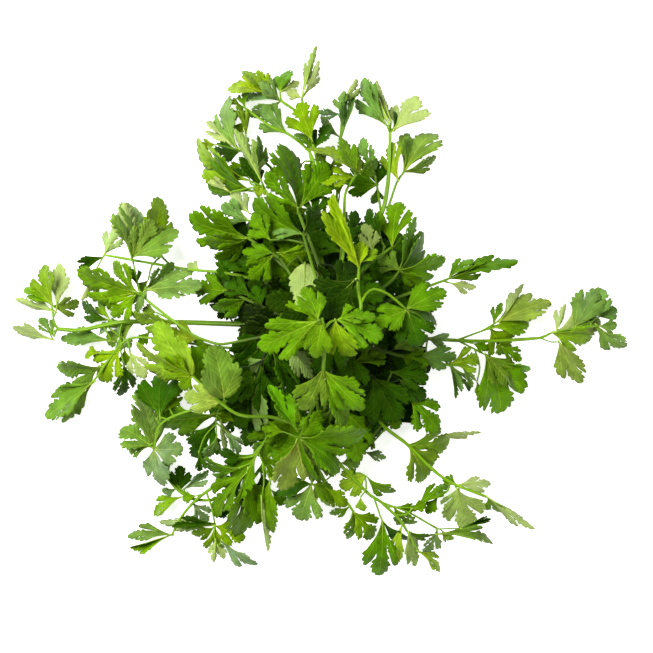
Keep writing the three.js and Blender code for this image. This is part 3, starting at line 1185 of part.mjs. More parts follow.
// The body of a mesh that holds the most volume, with corners closer than a few microns made one.
function mainBody(mesh) {
  const V = mesh.vertProperties, T = mesh.triVerts, step = mesh.numProp;
  const count = V.length / step;
  const same = Array.from({ length: count }, (_, i) => i);
  const find = (i) => { while (same[i] !== i) i = same[i] = same[same[i]]; return i; };
  if (mesh.mergeFromVert) for (let i = 0; i < mesh.mergeFromVert.length; i++) same[find(mesh.mergeFromVert[i])] = find(mesh.mergeToVert[i]);
  const corner = Array.from({ length: count }, (_, i) => find(i));
  const group = Array.from({ length: count }, (_, i) => i);
  const root = (i) => { while (group[i] !== i) i = group[i] = group[group[i]]; return i; };
  for (let i = 0; i < T.length; i += 3) {
    const a = corner[T[i]], b = corner[T[i + 1]], c = corner[T[i + 2]];
    group[root(a)] = root(b);
    group[root(b)] = root(c);
  }
  const volume = new Map();
  const at = (i) => v3(V[i * step], V[i * step + 1], V[i * step + 2]);
  for (let i = 0; i < T.length; i += 3) {
    const k = root(corner[T[i]]);
    const v = at(T[i]).dot(at(T[i + 1]).cross(at(T[i + 2]))) / 6;
    volume.set(k, (volume.get(k) ?? 0) + v);
  }
  let best = null;
  for (const [k, v] of volume) if (best === null || v > volume.get(best)) best = k;
  const index = [], remap = new Map(), points = [];
  for (let i = 0; i < T.length; i += 3) {
    const tri = [corner[T[i]], corner[T[i + 1]], corner[T[i + 2]]];
    if (root(tri[0]) !== best) continue;
    if (tri[0] === tri[1] || tri[1] === tri[2] || tri[2] === tri[0]) continue;
    for (const c of tri) {
      if (!remap.has(c)) {
        remap.set(c, points.length / 3);
        points.push(V[c * step], V[c * step + 1], V[c * step + 2]);
      }
      index.push(remap.get(c));
    }
  }
  const geometry = new THREE.BufferGeometry();
  geometry.setAttribute("position", new THREE.BufferAttribute(new Float32Array(points), 3));
  geometry.setIndex(index);
  geometry.computeVertexNormals();
  return geometry;
}

const GREENS = { leaf: 0x5a9a1e, deep: 0x3c6e14 };

const group = new THREE.Group();
group.name = "parsley_bunch";
group.position.set(OFFSET[0], OFFSET[1], OFFSET[2]);
sprigs.forEach((s, j) => {
  let body = null;
  for (const blade of s.blades) {
    let cut = blade.body;
    sprigs.forEach((other, k) => {
      if (k === j) return;
      for (const stalk of other.stalks) if (stalk.box.intersectsBox(blade.box)) cut = cut.subtract(stalk.fat);
      if (k < j) for (const earlier of other.blades) if (earlier.box.intersectsBox(blade.box)) for (const fat of earlier.fat) cut = cut.subtract(fat);
    });
    body = body ? body.add(cut) : cut;
  }
  for (const stalk of s.stalks) body = body ? body.add(stalk.body) : stalk.body;
  const material = new THREE.MeshStandardMaterial({ color: s.deep ? GREENS.deep : GREENS.leaf, roughness: 0.5, metalness: 0 });
  const mesh = new THREE.Mesh(mainBody(body.getMesh()), material);
  mesh.name = s.name;
  group.add(mesh);
});

export default group;
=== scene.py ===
"""A bunch of flat-leaf parsley lying opened out on a pale surface, seen from straight above."""
import math

import bpy
import numpy as np
from mathutils import Matrix, Vector
from mathutils.geometry import delaunay_2d_cdt


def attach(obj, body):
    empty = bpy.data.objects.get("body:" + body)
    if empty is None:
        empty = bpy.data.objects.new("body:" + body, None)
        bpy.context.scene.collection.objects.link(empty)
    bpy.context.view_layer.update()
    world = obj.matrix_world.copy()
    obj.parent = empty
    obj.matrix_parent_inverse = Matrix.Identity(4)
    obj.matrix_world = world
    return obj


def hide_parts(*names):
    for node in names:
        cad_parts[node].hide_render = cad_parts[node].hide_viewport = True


MM = 0.001
OFFSET = np.array([4.235, -9.09, -0.102])  # mm, from the table's points to the row frame
SURFACE_REST = 0.5  # mm, height of a blade's middle where it lies on the surface
SURFACE_EASE = 2.0
BLADE_T = 0.34  # mm, thickness of a leaflet's blade
LEAF_WIDER = 1.04  # blades spread a little past their plain outline
LEAF_LONGER = 1.02
HEART = (-4.0, -2.2)  # mm, where the stalks come together
HEART_PAINTED_SHADE = 0.17  # painted shade: how much of a stalk's colour is left there, in the shaded heart of the bunch
CAMERA_HEIGHT = 1000.0  # mm
VIEW_WIDTH = 404.86  # mm, width of the view at the surface
PICTURE = 653  # px

# Leaf colours by kind, linear: bright and young, full green, deeper greens partly painted as shade, cool sheen painted
# as reflection, yellow-green, light, pale, olive, greyish.
KINDS = {
    "bright": (0.1301, 0.2664, 0.0009),
    "mid2": (0.0887, 0.2159, 0.0015),
    "mid": (0.0762, 0.1912, 0.0006),
    # dark is a deep green that is partly painted shade
    "dark": (0.0212, 0.0802, 0.0006),
    # painted shade: deep and shade are darker greens for leaflets lying in the shaded heart of the bunch
    "deep": (0.0052, 0.0232, 0.0003),
    "shade": (0.0027, 0.0103, 0.0003),
    # painted reflection: sheen is a cool blue-green standing in for the light's reflection off the glossy blade; soft
    # and grey carry part of it
    "soft": (0.1301, 0.2384, 0.0194),
    "sheen": (0.1195, 0.2384, 0.0382),
    "yellow": (0.1812, 0.314, 0.0024),
    "light": (0.1912, 0.3278, 0.0103),
    "cream": (0.2542, 0.3564, 0.0482),
    "pale": (0.3372, 0.4287, 0.1221),
    "olive": (0.1812, 0.2874, 0.0319),
    "fresh": (0.0976, 0.2582, 0.0018),
    "cool": (0.1046, 0.2346, 0.0144),
    "mist": (0.1746, 0.314, 0.0369),
    "olive2": (0.1274, 0.2384, 0.0103),
    "grey": (0.1559, 0.2623, 0.0802),
    "rib": (0.305, 0.4678, 0.0452),
    "stalk": (0.1384, 0.2874, 0.003),
    # painted shade: a darker stalk colour for stalks that lie in shade under the leaves
    "stalk_painted_shade": (0.0319, 0.1022, 0.0009),
    "petiole": (0.1274, 0.2789, 0.0037),
}

# name -> (stalks, leaflets)
# stalk: [radius at start, radius at end, kind of stalk, [x, y, z ...]]
# leaflet: [foot x, y, z, tip x, y, z, turn, width, fold, arch, kind, folded, outline if one is set]
SPRIGS = {
    "sprig_big_left": (
        [
            [1.29, 0.82, "stalk", [-8.64, -10.79, 39.01, -0.97, -17.75, 36.2, 3.33, -26.21, 36.79, 0.02, -37.94, 38.25, 2.39, -50.88, 36.23, -15.98, -57.77, 42.21, -32.13, -53.64, 47.66, -53.48, -50.56, 57.31, -78.98, -29.07, 52.86]],
            [0.6, 0.49, "petiole", [-59.06, -45.85, 56.33, -59.81, -41.72, 58.9]],
            [0.62, 0.5, "stalk_painted_shade", [1.18, -21.98, 36.5, 5.38, -18.5, 40.15]],
        ],
        [
            [-78.98, -29.07, 52.86, -99.54, 2.66, 47.16, 0.573, 26.52, 0.365, 0.054, "light", 0, "ovate"],
            [-78.98, -29.07, 52.86, -112.37, -10.38, 43.62, 1.096, 27.71, 0.372, 0.037, "light", 0],
            [-78.98, -29.07, 52.86, -94.85, -18.5, 52.68, 0.644, 22.68, 0.293, 0.074, "bright", 0],
            [-78.98, -29.07, 52.86, -85.68, -36.8, 50.19, 0.123, 11.78, 0.189, 0.052, "bright", 0],
            [-61.1, -44.13, 55.98, -83.81, -40.88, 51.39, 0.058, 16.73, 0.167, 0.093, "cream", 0, "fan"],
            [-59.81, -41.72, 58.9, -66.2, -11.37, 59.22, -0.363, 26.15, 0.301, 0.068, "soft", 0, "ovate"],
            [5.38, -18.5, 40.15, 25.01, 13.41, 38.08, 0.270, 36.92, 0.302, 0.099, "dark", 0],
        ],
    ),
    "sprig_centre_back": (
        [
            [1.26, 0.84, "stalk", [-3.05, 6.36, 2.48, -2.89, 9.31, 26.39, -2.74, 12.26, 50.31, -2.58, 15.21, 74.22, -13.74, 54.09, 56.8]],
            [0.76, 0.65, "stalk", [-12.02, 48.09, 59.49, -22.5, 50.56, 57.32, -33.09, 50.66, 55.4]],
            [0.62, 0.5, "stalk_painted_shade", [-2.85, 10.05, 32.37, -2.74, 13.76, 32.27]],
            [0.62, 0.5, "stalk_painted_shade", [-2.66, 13.73, 62.27, 3.04, 15.67, 65.36]],
        ],
        [
            [-13.74, 54.09, 56.8, -43.94, 72.84, 48.77, 0.687, 29.31, 0.295, 0.057, "mid", 0],
            [-13.74, 54.09, 56.8, -32.01, 57.27, 52.54, -0.560, 14.82, 0.326, 0.053, "sheen", 0],
            [-33.09, 50.66, 55.4, -43.88, 65.67, 50.07, 0.444, 17.53, 0.336, 0.029, "mid", 0],
            [-13.74, 54.09, 56.8, -5, 70.83, 51.93, -0.865, 18.03, 0.151, 0.093, "dark", 0],
            [-2.74, 13.76, 32.27, 2.63, 47.43, 24.8, -0.345, 33.37, 0.487, 0.033, "deep", 0],
            [3.04, 15.67, 65.36, 33.67, 19.98, 69.88, 0.204, 25.11, 0.281, 0.080, "dark", 0],
        ],
    ),
    "sprig_centre_left": (
        [
            [1.26, 0.84, "stalk", [-5.74, 3.71, 2.39, -5.85, 4.87, 25.5, -5.95, 6.03, 48.61, -6.05, 7.19, 71.72, -28.46, 41.94, 53.78]],
            [0.67, 0.57, "stalk", [-23.61, 34.42, 57.66, -16.67, 40.66, 56.34, -13.72, 36.49, 58.43]],
            [0.6, 0.49, "petiole", [-26.66, 39.16, 55.21, -31.39, 43.12, 53.78]],
            [0.6, 0.49, "petiole", [-26.73, 39.26, 55.16, -31.39, 41.95, 53.78]],
            [0.6, 0.49, "petiole", [-27.16, 39.94, 54.81, -28.33, 42.94, 57.78]],
            [0.6, 0.49, "petiole", [-14.79, 38, 57.67, -12.5, 36.33, 62.43]],
            [0.62, 0.5, "stalk_painted_shade", [-6.01, 6.73, 62.48, 1.79, 7.15, 66.49, 9.61, 7.32, 64.31]],
            [0.62, 0.5, "stalk_painted_shade", [-7.54, 9.51, 70.52, -2.47, 17.65, 73.46, 5.09, 21.94, 77.19]],
            [0.62, 0.5, "stalk_painted_shade", [-5.77, 4.02, 8.55, -12.88, 11.03, 12.54, -19.96, 17.78, 10.34]],
        ],
        [
            [-31.39, 43.12, 53.78, -49.19, 43.89, 49.89, -0.772, 13.61, 0.185, 0.040, "mid", 0],
            [-31.39, 41.95, 53.78, -44.93, 27.9, 52.65, 0.241, 16.79, 0.180, 0.067, "mid", 0],
            [-28.33, 42.94, 57.78, -10.28, 41.41, 52.61, -0.663, 16.62, 0.271, 0.045, "bright", 0],
            [-12.5, 36.33, 62.43, -12.96, 8.93, 71.06, 3.096, 17.82, 0.250, -0.041, "cream", 0, "ovate"],
            [9.61, 7.32, 64.31, 35.07, -0.33, 50.16, -0.119, 27.73, 0.408, 0.058, "deep", 0],
            [5.09, 21.94, 77.19, 15.49, 36.89, 67.96, -0.089, 16.4, 0.382, 0.045, "deep", 0],
            [-19.96, 17.78, 10.34, -34.09, 37.18, 9.29, 0.179, 22.02, 0.214, 0.022, "dark", 0],
        ],
    ),
    "sprig_crown": (
        [
            [1.43, 0.92, "stalk", [0.87, -7.99, 2.87, 2.12, -18.55, 14.5, 3.35, -29.13, 26.09, 4.66, -39.71, 37.74, -1.68, -36.34, 53.76, -1.79, -23.75, 77.7, -0.96, -7.65, 90.38, -2.52, 4.76, 97]],
            [0.76, 0.65, "stalk", [-1.67, -2.01, 93.39, 1.97, 2.54, 90.9, 5.93, 3.67, 89.11]],
            [0.6, 0.49, "petiole", [-1.98, 0.45, 94.7, -5.31, 3.07, 99.28]],
            [0.6, 0.49, "petiole", [-2.14, 1.78, 95.41, -4.74, 4.19, 99.86]],
            [0.6, 0.49, "petiole", [-1.73, -30.05, 65.71, -0.29, -28.71, 64.53]],
            [0.62, 0.5, "stalk_painted_shade", [1.12, -10.1, 5.2, 0.32, -15.85, 6]],
        ],
        [
            [-5.31, 3.07, 99.28, -37.52, -11.57, 90.02, 0.086, 24.81, 0.374, 0.023, "fresh", 0, "three"],
            [-4.74, 4.19, 99.86, -12.62, 21.59, 95.47, -0.571, 18.02, 0.217, 0.047, "fresh", 0],
            [-2.27, 2.78, 95.95, -6.48, -17.76, 90.49, -0.001, 16.55, 0.350, 0.084, "mid2", 0],
            [5.93, 3.67, 89.11, 22.99, 6.53, 84.39, 0.717, 16.27, 0.355, 0.081, "fresh", 0],
            [5.93, 3.67, 89.11, 31.45, -6.52, 85.95, 0.485, 21.62, 0.163, 0.071, "fresh", 0, "three"],
            [4.93, 3.39, 89.56, 14.5, -17.35, 82.71, -0.701, 22.63, 0.336, 0.086, "bright", 0],
            [-1.78, -23.89, 77.44, -13.56, -48.75, 69.43, 0.498, 23.17, 0.179, 0.054, "olive2", 0],
            [-1.78, -24.97, 75.38, 21.12, -47.74, 66.62, -0.547, 24.95, 0.277, 0.037, "fresh", 0],
            [-0.29, -28.71, 64.53, 10.87, -57.87, 52.47, 0.978, 30.02, 0.300, 0.040, "mid", 0],
            [0.32, -15.85, 6, 3.43, -46.06, 10.74, 0.350, 27.85, 0.294, 0.092, "dark", 0],
        ],
    ),
    "sprig_crown_right": (
        [
            [1.35, 0.9, "stalk", [3.36, -1.23, 2.95, 5.27, -1.14, 24.06, 7.19, -1.05, 45.15, 9.11, -0.95, 66.22, 11.03, -0.85, 87.27, 17.9, 4.83, 83.71, 19.64, 11.67, 81.73, 17.97, 20.83, 79.75, 18.64, 33.55, 75.07]],
            [0.81, 0.69, "stalk", [19.44, 12.78, 81.49, 22.56, 18.56, 78.94, 27.2, 21.47, 76.52, 35.3, 18.66, 74.16, 46.37, 9.5, 70.98]],
            [0.6, 0.49, "petiole", [18.47, 30.28, 76.28, 19.21, 36.41, 75.07]],
            [0.62, 0.5, "stalk_painted_shade", [18.27, 26.48, 77.67, 15.85, 26.3, 88.3]],
            [0.62, 0.5, "stalk_painted_shade", [7.6, -1.03, 49.66, 8.47, 3.21, 49.07]],
            [0.62, 0.5, "stalk_painted_shade", [9.11, -0.95, 66.22, 11.23, 2.28, 69.71, 12.99, 5.49, 68.14]],
            [0.62, 0.5, "stalk_painted_shade", [8.15, -1, 55.69, 4.39, -0.02, 59.48, 0.25, 0.95, 57.88]],
        ],
        [
            [18.64, 33.55, 75.07, 2.61, 76.93, 63.56, 0.300, 31.94, 1.188, 0.031, "yellow", 1],
            [18.64, 33.55, 75.07, 19.91, 48.76, 69.31, 0.697, 14.34, 0.271, 0.050, "yellow", 0],
            [19.21, 36.41, 75.07, 29.07, 44.04, 71.51, 0.670, 10.18, 0.160, 0.057, "yellow", 0],
            [18.43, 29.49, 76.56, 22.76, 37.16, 70.68, 0.801, 9.51, 0.326, 0.044, "dark", 0],
            [45.81, 9.97, 71.14, 68.79, 21.19, 63.68, 0.505, 20.45, 0.159, 0.030, "mid", 0],
            [46.37, 9.5, 70.98, 28.37, 0.86, 75.75, -0.507, 19.1, 0.291, 0.045, "mid", 0],
            [46.37, 9.5, 70.98, 54.03, -11.27, 68.02, -0.127, 22.31, 0.231, 0.091, "dark", 0],
            [46.37, 9.5, 70.98, 64.17, 2.61, 63.39, 0.908, 18.27, 0.341, 0.078, "dark", 0],
            [15.85, 26.3, 88.3, -7.56, 6.79, 72.83, 0.083, 30, 0.328, 0.047, "deep", 0],
            [8.47, 3.21, 49.07, 18.69, 39.3, 45.7, -0.211, 33.05, 0.215, 0.074, "deep", 0],
            [12.99, 5.49, 68.14, 31.6, 23.53, 60.77, -0.168, 24.13, 0.370, 0.086, "dark", 0],
            [0.25, 0.95, 57.88, -28.67, 2.65, 50.86, 0.354, 27.99, 0.128, 0.076, "bright", 0],
        ],
    ),
    "sprig_back_right": (
        [
            [1.08, 0.72, "stalk", [-0.45, 3.38, 3.45, 0.73, 6.32, 21.97, 1.92, 9.26, 40.48, 3.1, 12.21, 58.97, 4.29, 15.16, 77.44, 10.15, 44.37, 64.41, 10.89, 77.41, 50.52, 16.27, 88.47, 45.5]],
            [0.6, 0.49, "petiole", [15.02, 85.89, 46.67, 17.42, 90.06, 47.5]],
            [0.6, 0.49, "petiole", [14.85, 85.55, 46.83, 18.64, 90.25, 45.5]],
            [0.48, 0.42, "petiole", [16.27, 88.47, 45.5, 19.23, 91.43, 45.5]],
            [0.62, 0.5, "stalk_painted_shade", [2.71, 11.23, 52.81, 3.1, 5.94, 58.72, 3.18, -0.13, 58.5]],
            [0.62, 0.5, "stalk_painted_shade", [2.9, 11.72, 55.89, 3.45, 7.16, 58.2, 3.69, 1.82, 54.38]],
        ],
        [
            [19.23, 91.43, 45.5, -11.01, 106.78, 40.51, -1.255, 43.88, 0.266, 0.025, "yellow", 0, "ovate"],
            [17.42, 90.06, 47.5, 8.01, 111.29, 42.68, -0.829, 18.76, 0.322, 0.041, "bright", 0],
            [16.15, 88.21, 45.62, -3.25, 84.78, 47.14, -0.888, 22.42, 0.335, 0.035, "yellow", 0],
            [18.64, 90.25, 45.5, 30.59, 98.89, 42.02, -0.859, 13.26, 0.346, 0.100, "mid", 0],
            [3.18, -0.13, 58.5, -5, -27.34, 62.99, 0.357, 28.58, 0.397, 0.052, "dark", 0],
            [3.69, 1.82, 54.38, 7.05, -24.51, 43.8, 0.187, 26.72, 0.121, 0.054, "deep", 0],
        ],
    ),
    "sprig_lower_centre": (
        [
            [1.43, 0.92, "stalk", [-3.26, -5.35, 3.15, -3.65, -14.15, 20.51, -4.73, -22.85, 37.78, -4.44, -31.84, 55.06, -6.5, -42.79, 54.51, -15.84, -65.94, 45.84]],
            [0.6, 0.49, "petiole", [-13.15, -59.27, 48.34, -17.37, -60.95, 50.17]],
            [0.6, 0.49, "petiole", [-14.71, -63.14, 46.89, -17.46, -67.75, 45.64]],
            [0.6, 0.42, "petiole", [-15.84, -65.94, 45.84, -20.49, -64.17, 46.52, -25.14, -62.4, 46]],
        ],
        [
            [-17.37, -60.95, 50.17, -34.35, -34.93, 53.02, -0.300, 22.46, 1.010, 0.043, "fresh", 1],
            [-15.54, -65.2, 46.12, -3.24, -49.73, 50.82, -0.445, 15.82, 0.248, 0.081, "fresh", 0],
            [-15.84, -65.94, 45.84, 22.88, -65.08, 41.36, -0.990, 36.83, 0.346, 0.023, "fresh", 0],
            [-15.84, -65.94, 45.84, 8.06, -86.32, 36.51, 1.006, 25.4, 0.233, 0.064, "fresh", 0],
            [-15.84, -65.94, 45.84, -6.26, -91.5, 38.58, -1.046, 15.01, 0.173, 0.051, "mid", 0],
            [-17.46, -67.75, 45.64, -25.97, -97.03, 36.97, 0.754, 28.52, 0.341, 0.019, "cream", 0],
            [-25.14, -62.4, 46, -38.23, -60.16, 44, 0.000, 9.55, 0.220, 0.050, "mid", 0, "three"],
        ],
    ),
    "sprig_three_left": (
        [
            [1.12, 0.7, "stalk", [-15.93, -4.4, 3.25, -18.72, -4.11, 18.68, -21.53, -3.8, 34.11, -24.35, -3.47, 49.54, -62.14, -10.46, 40.66, -72.44, -8.05, 38.38, -79.72, -5.08, 36.8, -107.31, 15.33, 30.4, -112.89, 21.98, 28.92]],
            [0.63, 0.54, "stalk", [-112.89, 21.98, 28.92, -117.37, 41.94, 26.71]],
            [0.6, 0.49, "petiole", [-116.45, 37.84, 27.16, -117.27, 41.91, 29.44, -119.89, 49.58, 30.71]],
            [0.6, 0.49, "petiole", [-110.68, 19.35, 29.5, -114.45, 20.13, 30.95]],
            [0.6, 0.49, "petiole", [-110.92, 19.64, 29.44, -114.46, 20.73, 30.92]],
            [0.6, 0.49, "petiole", [-110.26, 18.85, 29.61, -114.56, 19.54, 30.03]],
            [0.6, 0.49, "petiole", [-109.13, 17.5, 29.91, -108.64, 23.17, 29.24]],
            [0.6, 0.49, "petiole", [-108.78, 17.08, 30.01, -108.4, 21.92, 31.39]],
            [0.6, 0.49, "petiole", [-108.6, 16.87, 30.05, -108.61, 21.36, 29.47]],
            [0.62, 0.5, "petiole", [-86.92, 0.24, 35.13, -96.54, 5.77, 32.95, -102.22, 8.36, 30.49]],
            [0.62, 0.5, "stalk_painted_shade", [-24.07, -3.5, 48, -18.64, 0.46, 51.53, -12.31, 4.31, 48.95]],
            [0.62, 0.5, "stalk_painted_shade", [-20.41, -3.92, 27.94, -23.05, -1.69, 30.27]],
        ],
        [
            [-117.37, 41.94, 26.71, -120.02, 75.66, 19.85, -0.949, 38.06, 0.168, 0.099, "mist", 0],
            [-119.89, 49.58, 30.71, -121.42, 74.42, 28.09, 2.842, 18.02, 0.594, -0.033, "pale", 1],
            [-117.37, 41.94, 26.71, -105.5, 64.39, 24.84, -0.584, 19.86, 0.328, 0.037, "mist", 0],
            [-117.37, 41.94, 26.71, -89.65, 57.66, 26.26, 0.860, 28.4, 0.216, 0.023, "soft", 0],
            [-114.45, 20.13, 30.95, -150.96, 33.11, 20.16, 0.877, 34.63, 0.383, 0.025, "bright", 0],
            [-114.46, 20.73, 30.92, -128.34, 38.96, 25.88, 0.985, 24.85, 0.195, 0.040, "bright", 0],
            [-114.56, 19.54, 30.03, -129.55, 6.34, 25.9, 0.038, 16.11, 0.170, 0.060, "bright", 0],
            [-108.64, 23.17, 29.24, -92.9, 38.78, 30.15, -0.887, 17.24, 0.303, 0.059, "sheen", 0],
            [-108.4, 21.92, 31.39, -74.78, 22.94, 38.94, 0.800, 27.43, 0.266, 0.043, "sheen", 0],
            [-108.61, 21.36, 29.47, -114.86, 8.74, 27.48, -0.804, 12.4, 0.353, 0.052, "sheen", 0],
            [-113.5, 24.71, 28.61, -118.93, 35.41, 23.78, -0.670, 10.05, 0.379, 0.029, "dark", 0],
            [-89.92, 2.47, 34.43, -117.36, 8.15, 26.78, 0.853, 18.47, 0.263, 0.098, "light", 0],
            [-102.22, 8.36, 30.49, -110.94, 10.27, 26.71, -0.014, 8.44, 0.385, 0.038, "soft", 0],
            [-12.31, 4.31, 48.95, 14.09, 29, 50.93, -0.193, 34.61, 0.209, 0.035, "deep", 0],
            [-23.05, -1.69, 30.27, -51.09, 10.53, 28.42, 0.739, 27.4, 0.411, 0.046, "shade", 0],
        ],
    ),
    "sprig_upper_left_b": (
        [
            [1.09, 0.76, "stalk", [-0.12, 13.78, 1.81, -1.52, 25.58, 9.05, -3, 37.39, 16.25, -4.71, 49.2, 23.4, -6.57, 61.02, 30.51, -6.09, 82.38, 25.9, -9.25, 104.11, 17.77, -22.29, 116.67, 16.28, -34.48, 122.37, 15.59, -49.91, 133.8, 12.29]],
            [0.6, 0.49, "petiole", [-47.43, 131.97, 12.82, -51.75, 135.03, 12.29]],
            [0.62, 0.5, "stalk_painted_shade", [-3, 37.39, 16.25, -8.4, 43.84, 16.45, -13.19, 46.05, 12.89]],
            [0.62, 0.5, "petiole", [-8.62, 99.76, 19.4, -12.91, 100.39, 21.88, -16.53, 96.37, 24.89]],
            [0.62, 0.5, "stalk_painted_shade", [-4.71, 49.2, 23.4, -9.2, 51.79, 26.54, -13.09, 50.59, 26.19]],
            [0.62, 0.5, "petiole", [-46.05, 130.94, 13.11, -49.55, 129.17, 13.98, -50.23, 125.31, 14.25]],
            [0.62, 0.5, "stalk_painted_shade", [-6.33, 71.7, 28.2, -12.15, 70.67, 27.17]],
            [0.62, 0.5, "petiole", [-48.62, 132.85, 12.56, -50.92, 131.14, 13.44]],
            [0.62, 0.5, "stalk_painted_shade", [-1.36, 24.27, 8.25, -3.53, 33.18, 12.56, -5.19, 37.84, 13.07]],
        ],
        [
            [-23.77, 117.36, 16.2, -40.18, 134.63, 10.71, 0.633, 20.65, 0.217, 0.023, "sheen", 0],
            [-51.75, 135.03, 12.29, -61.68, 138.41, 10.05, -0.758, 8.2, 0.355, 0.039, "bright", 0],
            [-49.91, 133.8, 12.29, -49.56, 145.6, 7.01, 0.679, 9.11, 0.313, 0.081, "mid", 0],
            [-13.19, 46.05, 12.89, -34.34, 72.91, 17.3, -0.385, 30.5, 0.269, 0.025, "mid", 0],
            [-16.53, 96.37, 24.89, -34.78, 91.01, 27.35, 0.152, 15.99, 0.171, 0.088, "mid", 0],
            [-13.09, 50.59, 26.19, -37.25, 66.85, 31.12, 0.374, 28.1, 0.456, 0.026, "dark", 0],
            [-50.23, 125.31, 14.25, -55.98, 117.48, 12.19, 0.034, 8.24, 0.420, 0.034, "light", 0],
            [-12.15, 70.67, 27.17, -35.74, 64.09, 19.9, 0.128, 20.34, 0.131, 0.021, "mid", 0],
            [-50.92, 131.14, 13.44, -60.8, 128.85, 10.88, 0.293, 8.71, 0.475, 0.061, "sheen", 0],
            [-5.19, 37.84, 13.07, -9.35, 57.84, 5.65, -0.262, 20.84, 0.325, 0.035, "dark", 0],
        ],
    ),
    "sprig_upper_left_c": (
        [
            [1.34, 0.92, "stalk", [-2.04, 11.18, 3.57, -3.92, 20.1, 19.35, -6.13, 29.02, 35.08, -8.49, 37.96, 50.78, -15.65, 51.08, 47.52, -26.38, 64.31, 43.99, -38.44, 84.32, 38.87]],
            [0.84, 0.71, "stalk", [-38.17, 83.87, 38.98, -44.39, 80.73, 39.05]],
            [0.76, 0.65, "stalk", [-29.31, 69.18, 42.74, -45.42, 62.63, 42.46]],
            [0.6, 0.49, "petiole", [-38.7, 83.6, 38.99, -42.69, 85.35, 40.51, -46.67, 87.1, 41.04]],
            [0.6, 0.49, "petiole", [-36.64, 81.35, 39.63, -38.83, 86.85, 43.87]],
            [0.6, 0.49, "petiole", [-35.29, 79.09, 40.21, -38.35, 85.58, 40.04, -41.42, 92.07, 38.87]],
            [0.6, 0.49, "petiole", [-40.25, 64.73, 42.55, -46.01, 67.38, 42.48]],
            [0.6, 0.49, "petiole", [-38.17, 83.87, 38.98, -47.83, 82, 39.51, -57.49, 80.13, 39.05]],
            [0.62, 0.5, "stalk_painted_shade", [-14.93, 49.77, 47.85, -12.61, 58.83, 47.69, -7.95, 63.6, 47.4]],
            [0.62, 0.5, "petiole", [-39.73, 83.09, 39, -44.82, 84.87, 39.24, -46.14, 88.56, 38.25]],
        ],
        [
            [-44.39, 80.73, 39.05, -74.89, 101.36, 29.74, 0.986, 36.83, 0.181, 0.079, "mid", 0, "three"],
            [-46.67, 87.1, 41.04, -79.68, 110.95, 30.06, 0.951, 27.71, 0.285, 0.094, "light", 0],
            [-38.83, 86.85, 43.87, -54.7, 116.88, 35.74, 3.442, 25.15, 1.109, -0.019, "light", 1],
            [-41.42, 92.07, 38.87, -41.1, 114.3, 32.27, -1.153, 16.16, 0.336, 0.066, "mid", 0],
            [-41.05, 82.42, 39.01, -51.9, 101.09, 32.32, -0.948, 18.07, 0.372, 0.076, "dark", 0],
            [-38.44, 84.32, 38.87, -41.32, 77.59, 41.09, 0.081, 8.68, 0.344, 0.075, "light", 0],
            [-45.42, 62.63, 42.46, -62.42, 72.57, 36.65, 0.540, 16.64, 0.328, 0.037, "sheen", 0],
            [-46.01, 67.38, 42.48, -56.41, 80.89, 37.16, 2.932, 13.46, 0.374, -0.013, "pale", 0],
            [-57.49, 80.13, 39.05, -70.88, 86.43, 35.28, -0.300, 10.99, 1.076, 0.078, "pale", 1],
            [-7.95, 63.6, 47.4, -7.18, 82.54, 39.65, -0.141, 17.41, 0.355, 0.097, "dark", 0],
            [-46.14, 88.56, 38.25, -55.71, 93.09, 37.42, -0.547, 8.63, 0.268, 0.085, "dark", 0],
        ],
    ),
    "sprig_top_back": (
        [
            [1.34, 0.92, "stalk", [-6.79, 9.5, 3.71, -5.74, 14.63, 17.43, -4.7, 19.77, 31.15, -3.66, 24.91, 44.85, -2.63, 30.06, 58.55, -16.79, 68.06, 49.62]],
            [0.6, 0.49, "petiole", [-15.69, 65.1, 50.32, -17.35, 70.27, 51.62]],
            [0.48, 0.42, "petiole", [-16.79, 68.06, 49.62, -15.03, 71, 49.62]],
            [0.62, 0.5, "stalk_painted_shade", [-5.05, 18.06, 26.58, -10.21, 19.06, 26.74]],
            [0.62, 0.5, "stalk_painted_shade", [-4.47, 20.91, 34.19, -9.06, 25.51, 36.46, -14.01, 28.36, 32.85]],
        ],
        [
            [-16.79, 68.06, 49.62, -27.13, 107.64, 38.12, -1.059, 46.73, 0.276, 0.065, "mid", 0, "three"],
            [-17.35, 70.27, 51.62, -35.16, 91.31, 46.81, 0.942, 23.09, 0.274, 0.056, "mid", 0],
            [-15.03, 71, 49.62, 0.3, 97.43, 44.69, -0.222, 22.63, 0.291, 0.057, "mid", 0, "three"],
            [-10.21, 19.06, 26.74, -42.22, 16.43, 28.24, 0.460, 27.85, 0.216, 0.098, "shade", 0],
            [-14.01, 28.36, 32.85, -35.3, 41, 23.5, 0.027, 21.72, 0.402, 0.025, "dark", 0],
        ],
    ),
    "sprig_left_back": (
        [
            [1.34, 0.92, "stalk", [-9.59, 12.74, 2.96, -10.19, 15.19, 15.74, -10.8, 17.65, 28.5, -11.41, 20.12, 41.26, -12.02, 22.58, 54, -34.55, 44, 47.31, -46.52, 52.45, 44.19]],
            [0.62, 0.5, "stalk_painted_shade", [-9.81, 13.66, 7.75, -18.68, 13.23, 14.56, -27.31, 11.85, 15.26]],
        ],
        [
            [-46.52, 52.45, 44.19, -82.34, 64.97, 34.19, 0.672, 29, 0.276, 0.071, "mid", 0],
            [-45.95, 52.04, 44.34, -73.1, 49.83, 37.56, 0.991, 23.11, 0.254, 0.050, "mid", 0],
            [-46.52, 52.45, 44.19, -65.72, 39.55, 40.69, 1.004, 20.78, 0.233, 0.047, "mid", 0],
            [-27.31, 11.85, 15.26, -48.34, 13.22, 8.83, 0.289, 21.18, 0.374, 0.022, "shade", 0],
        ],
    ),
    "sprig_inner_left": (
        [
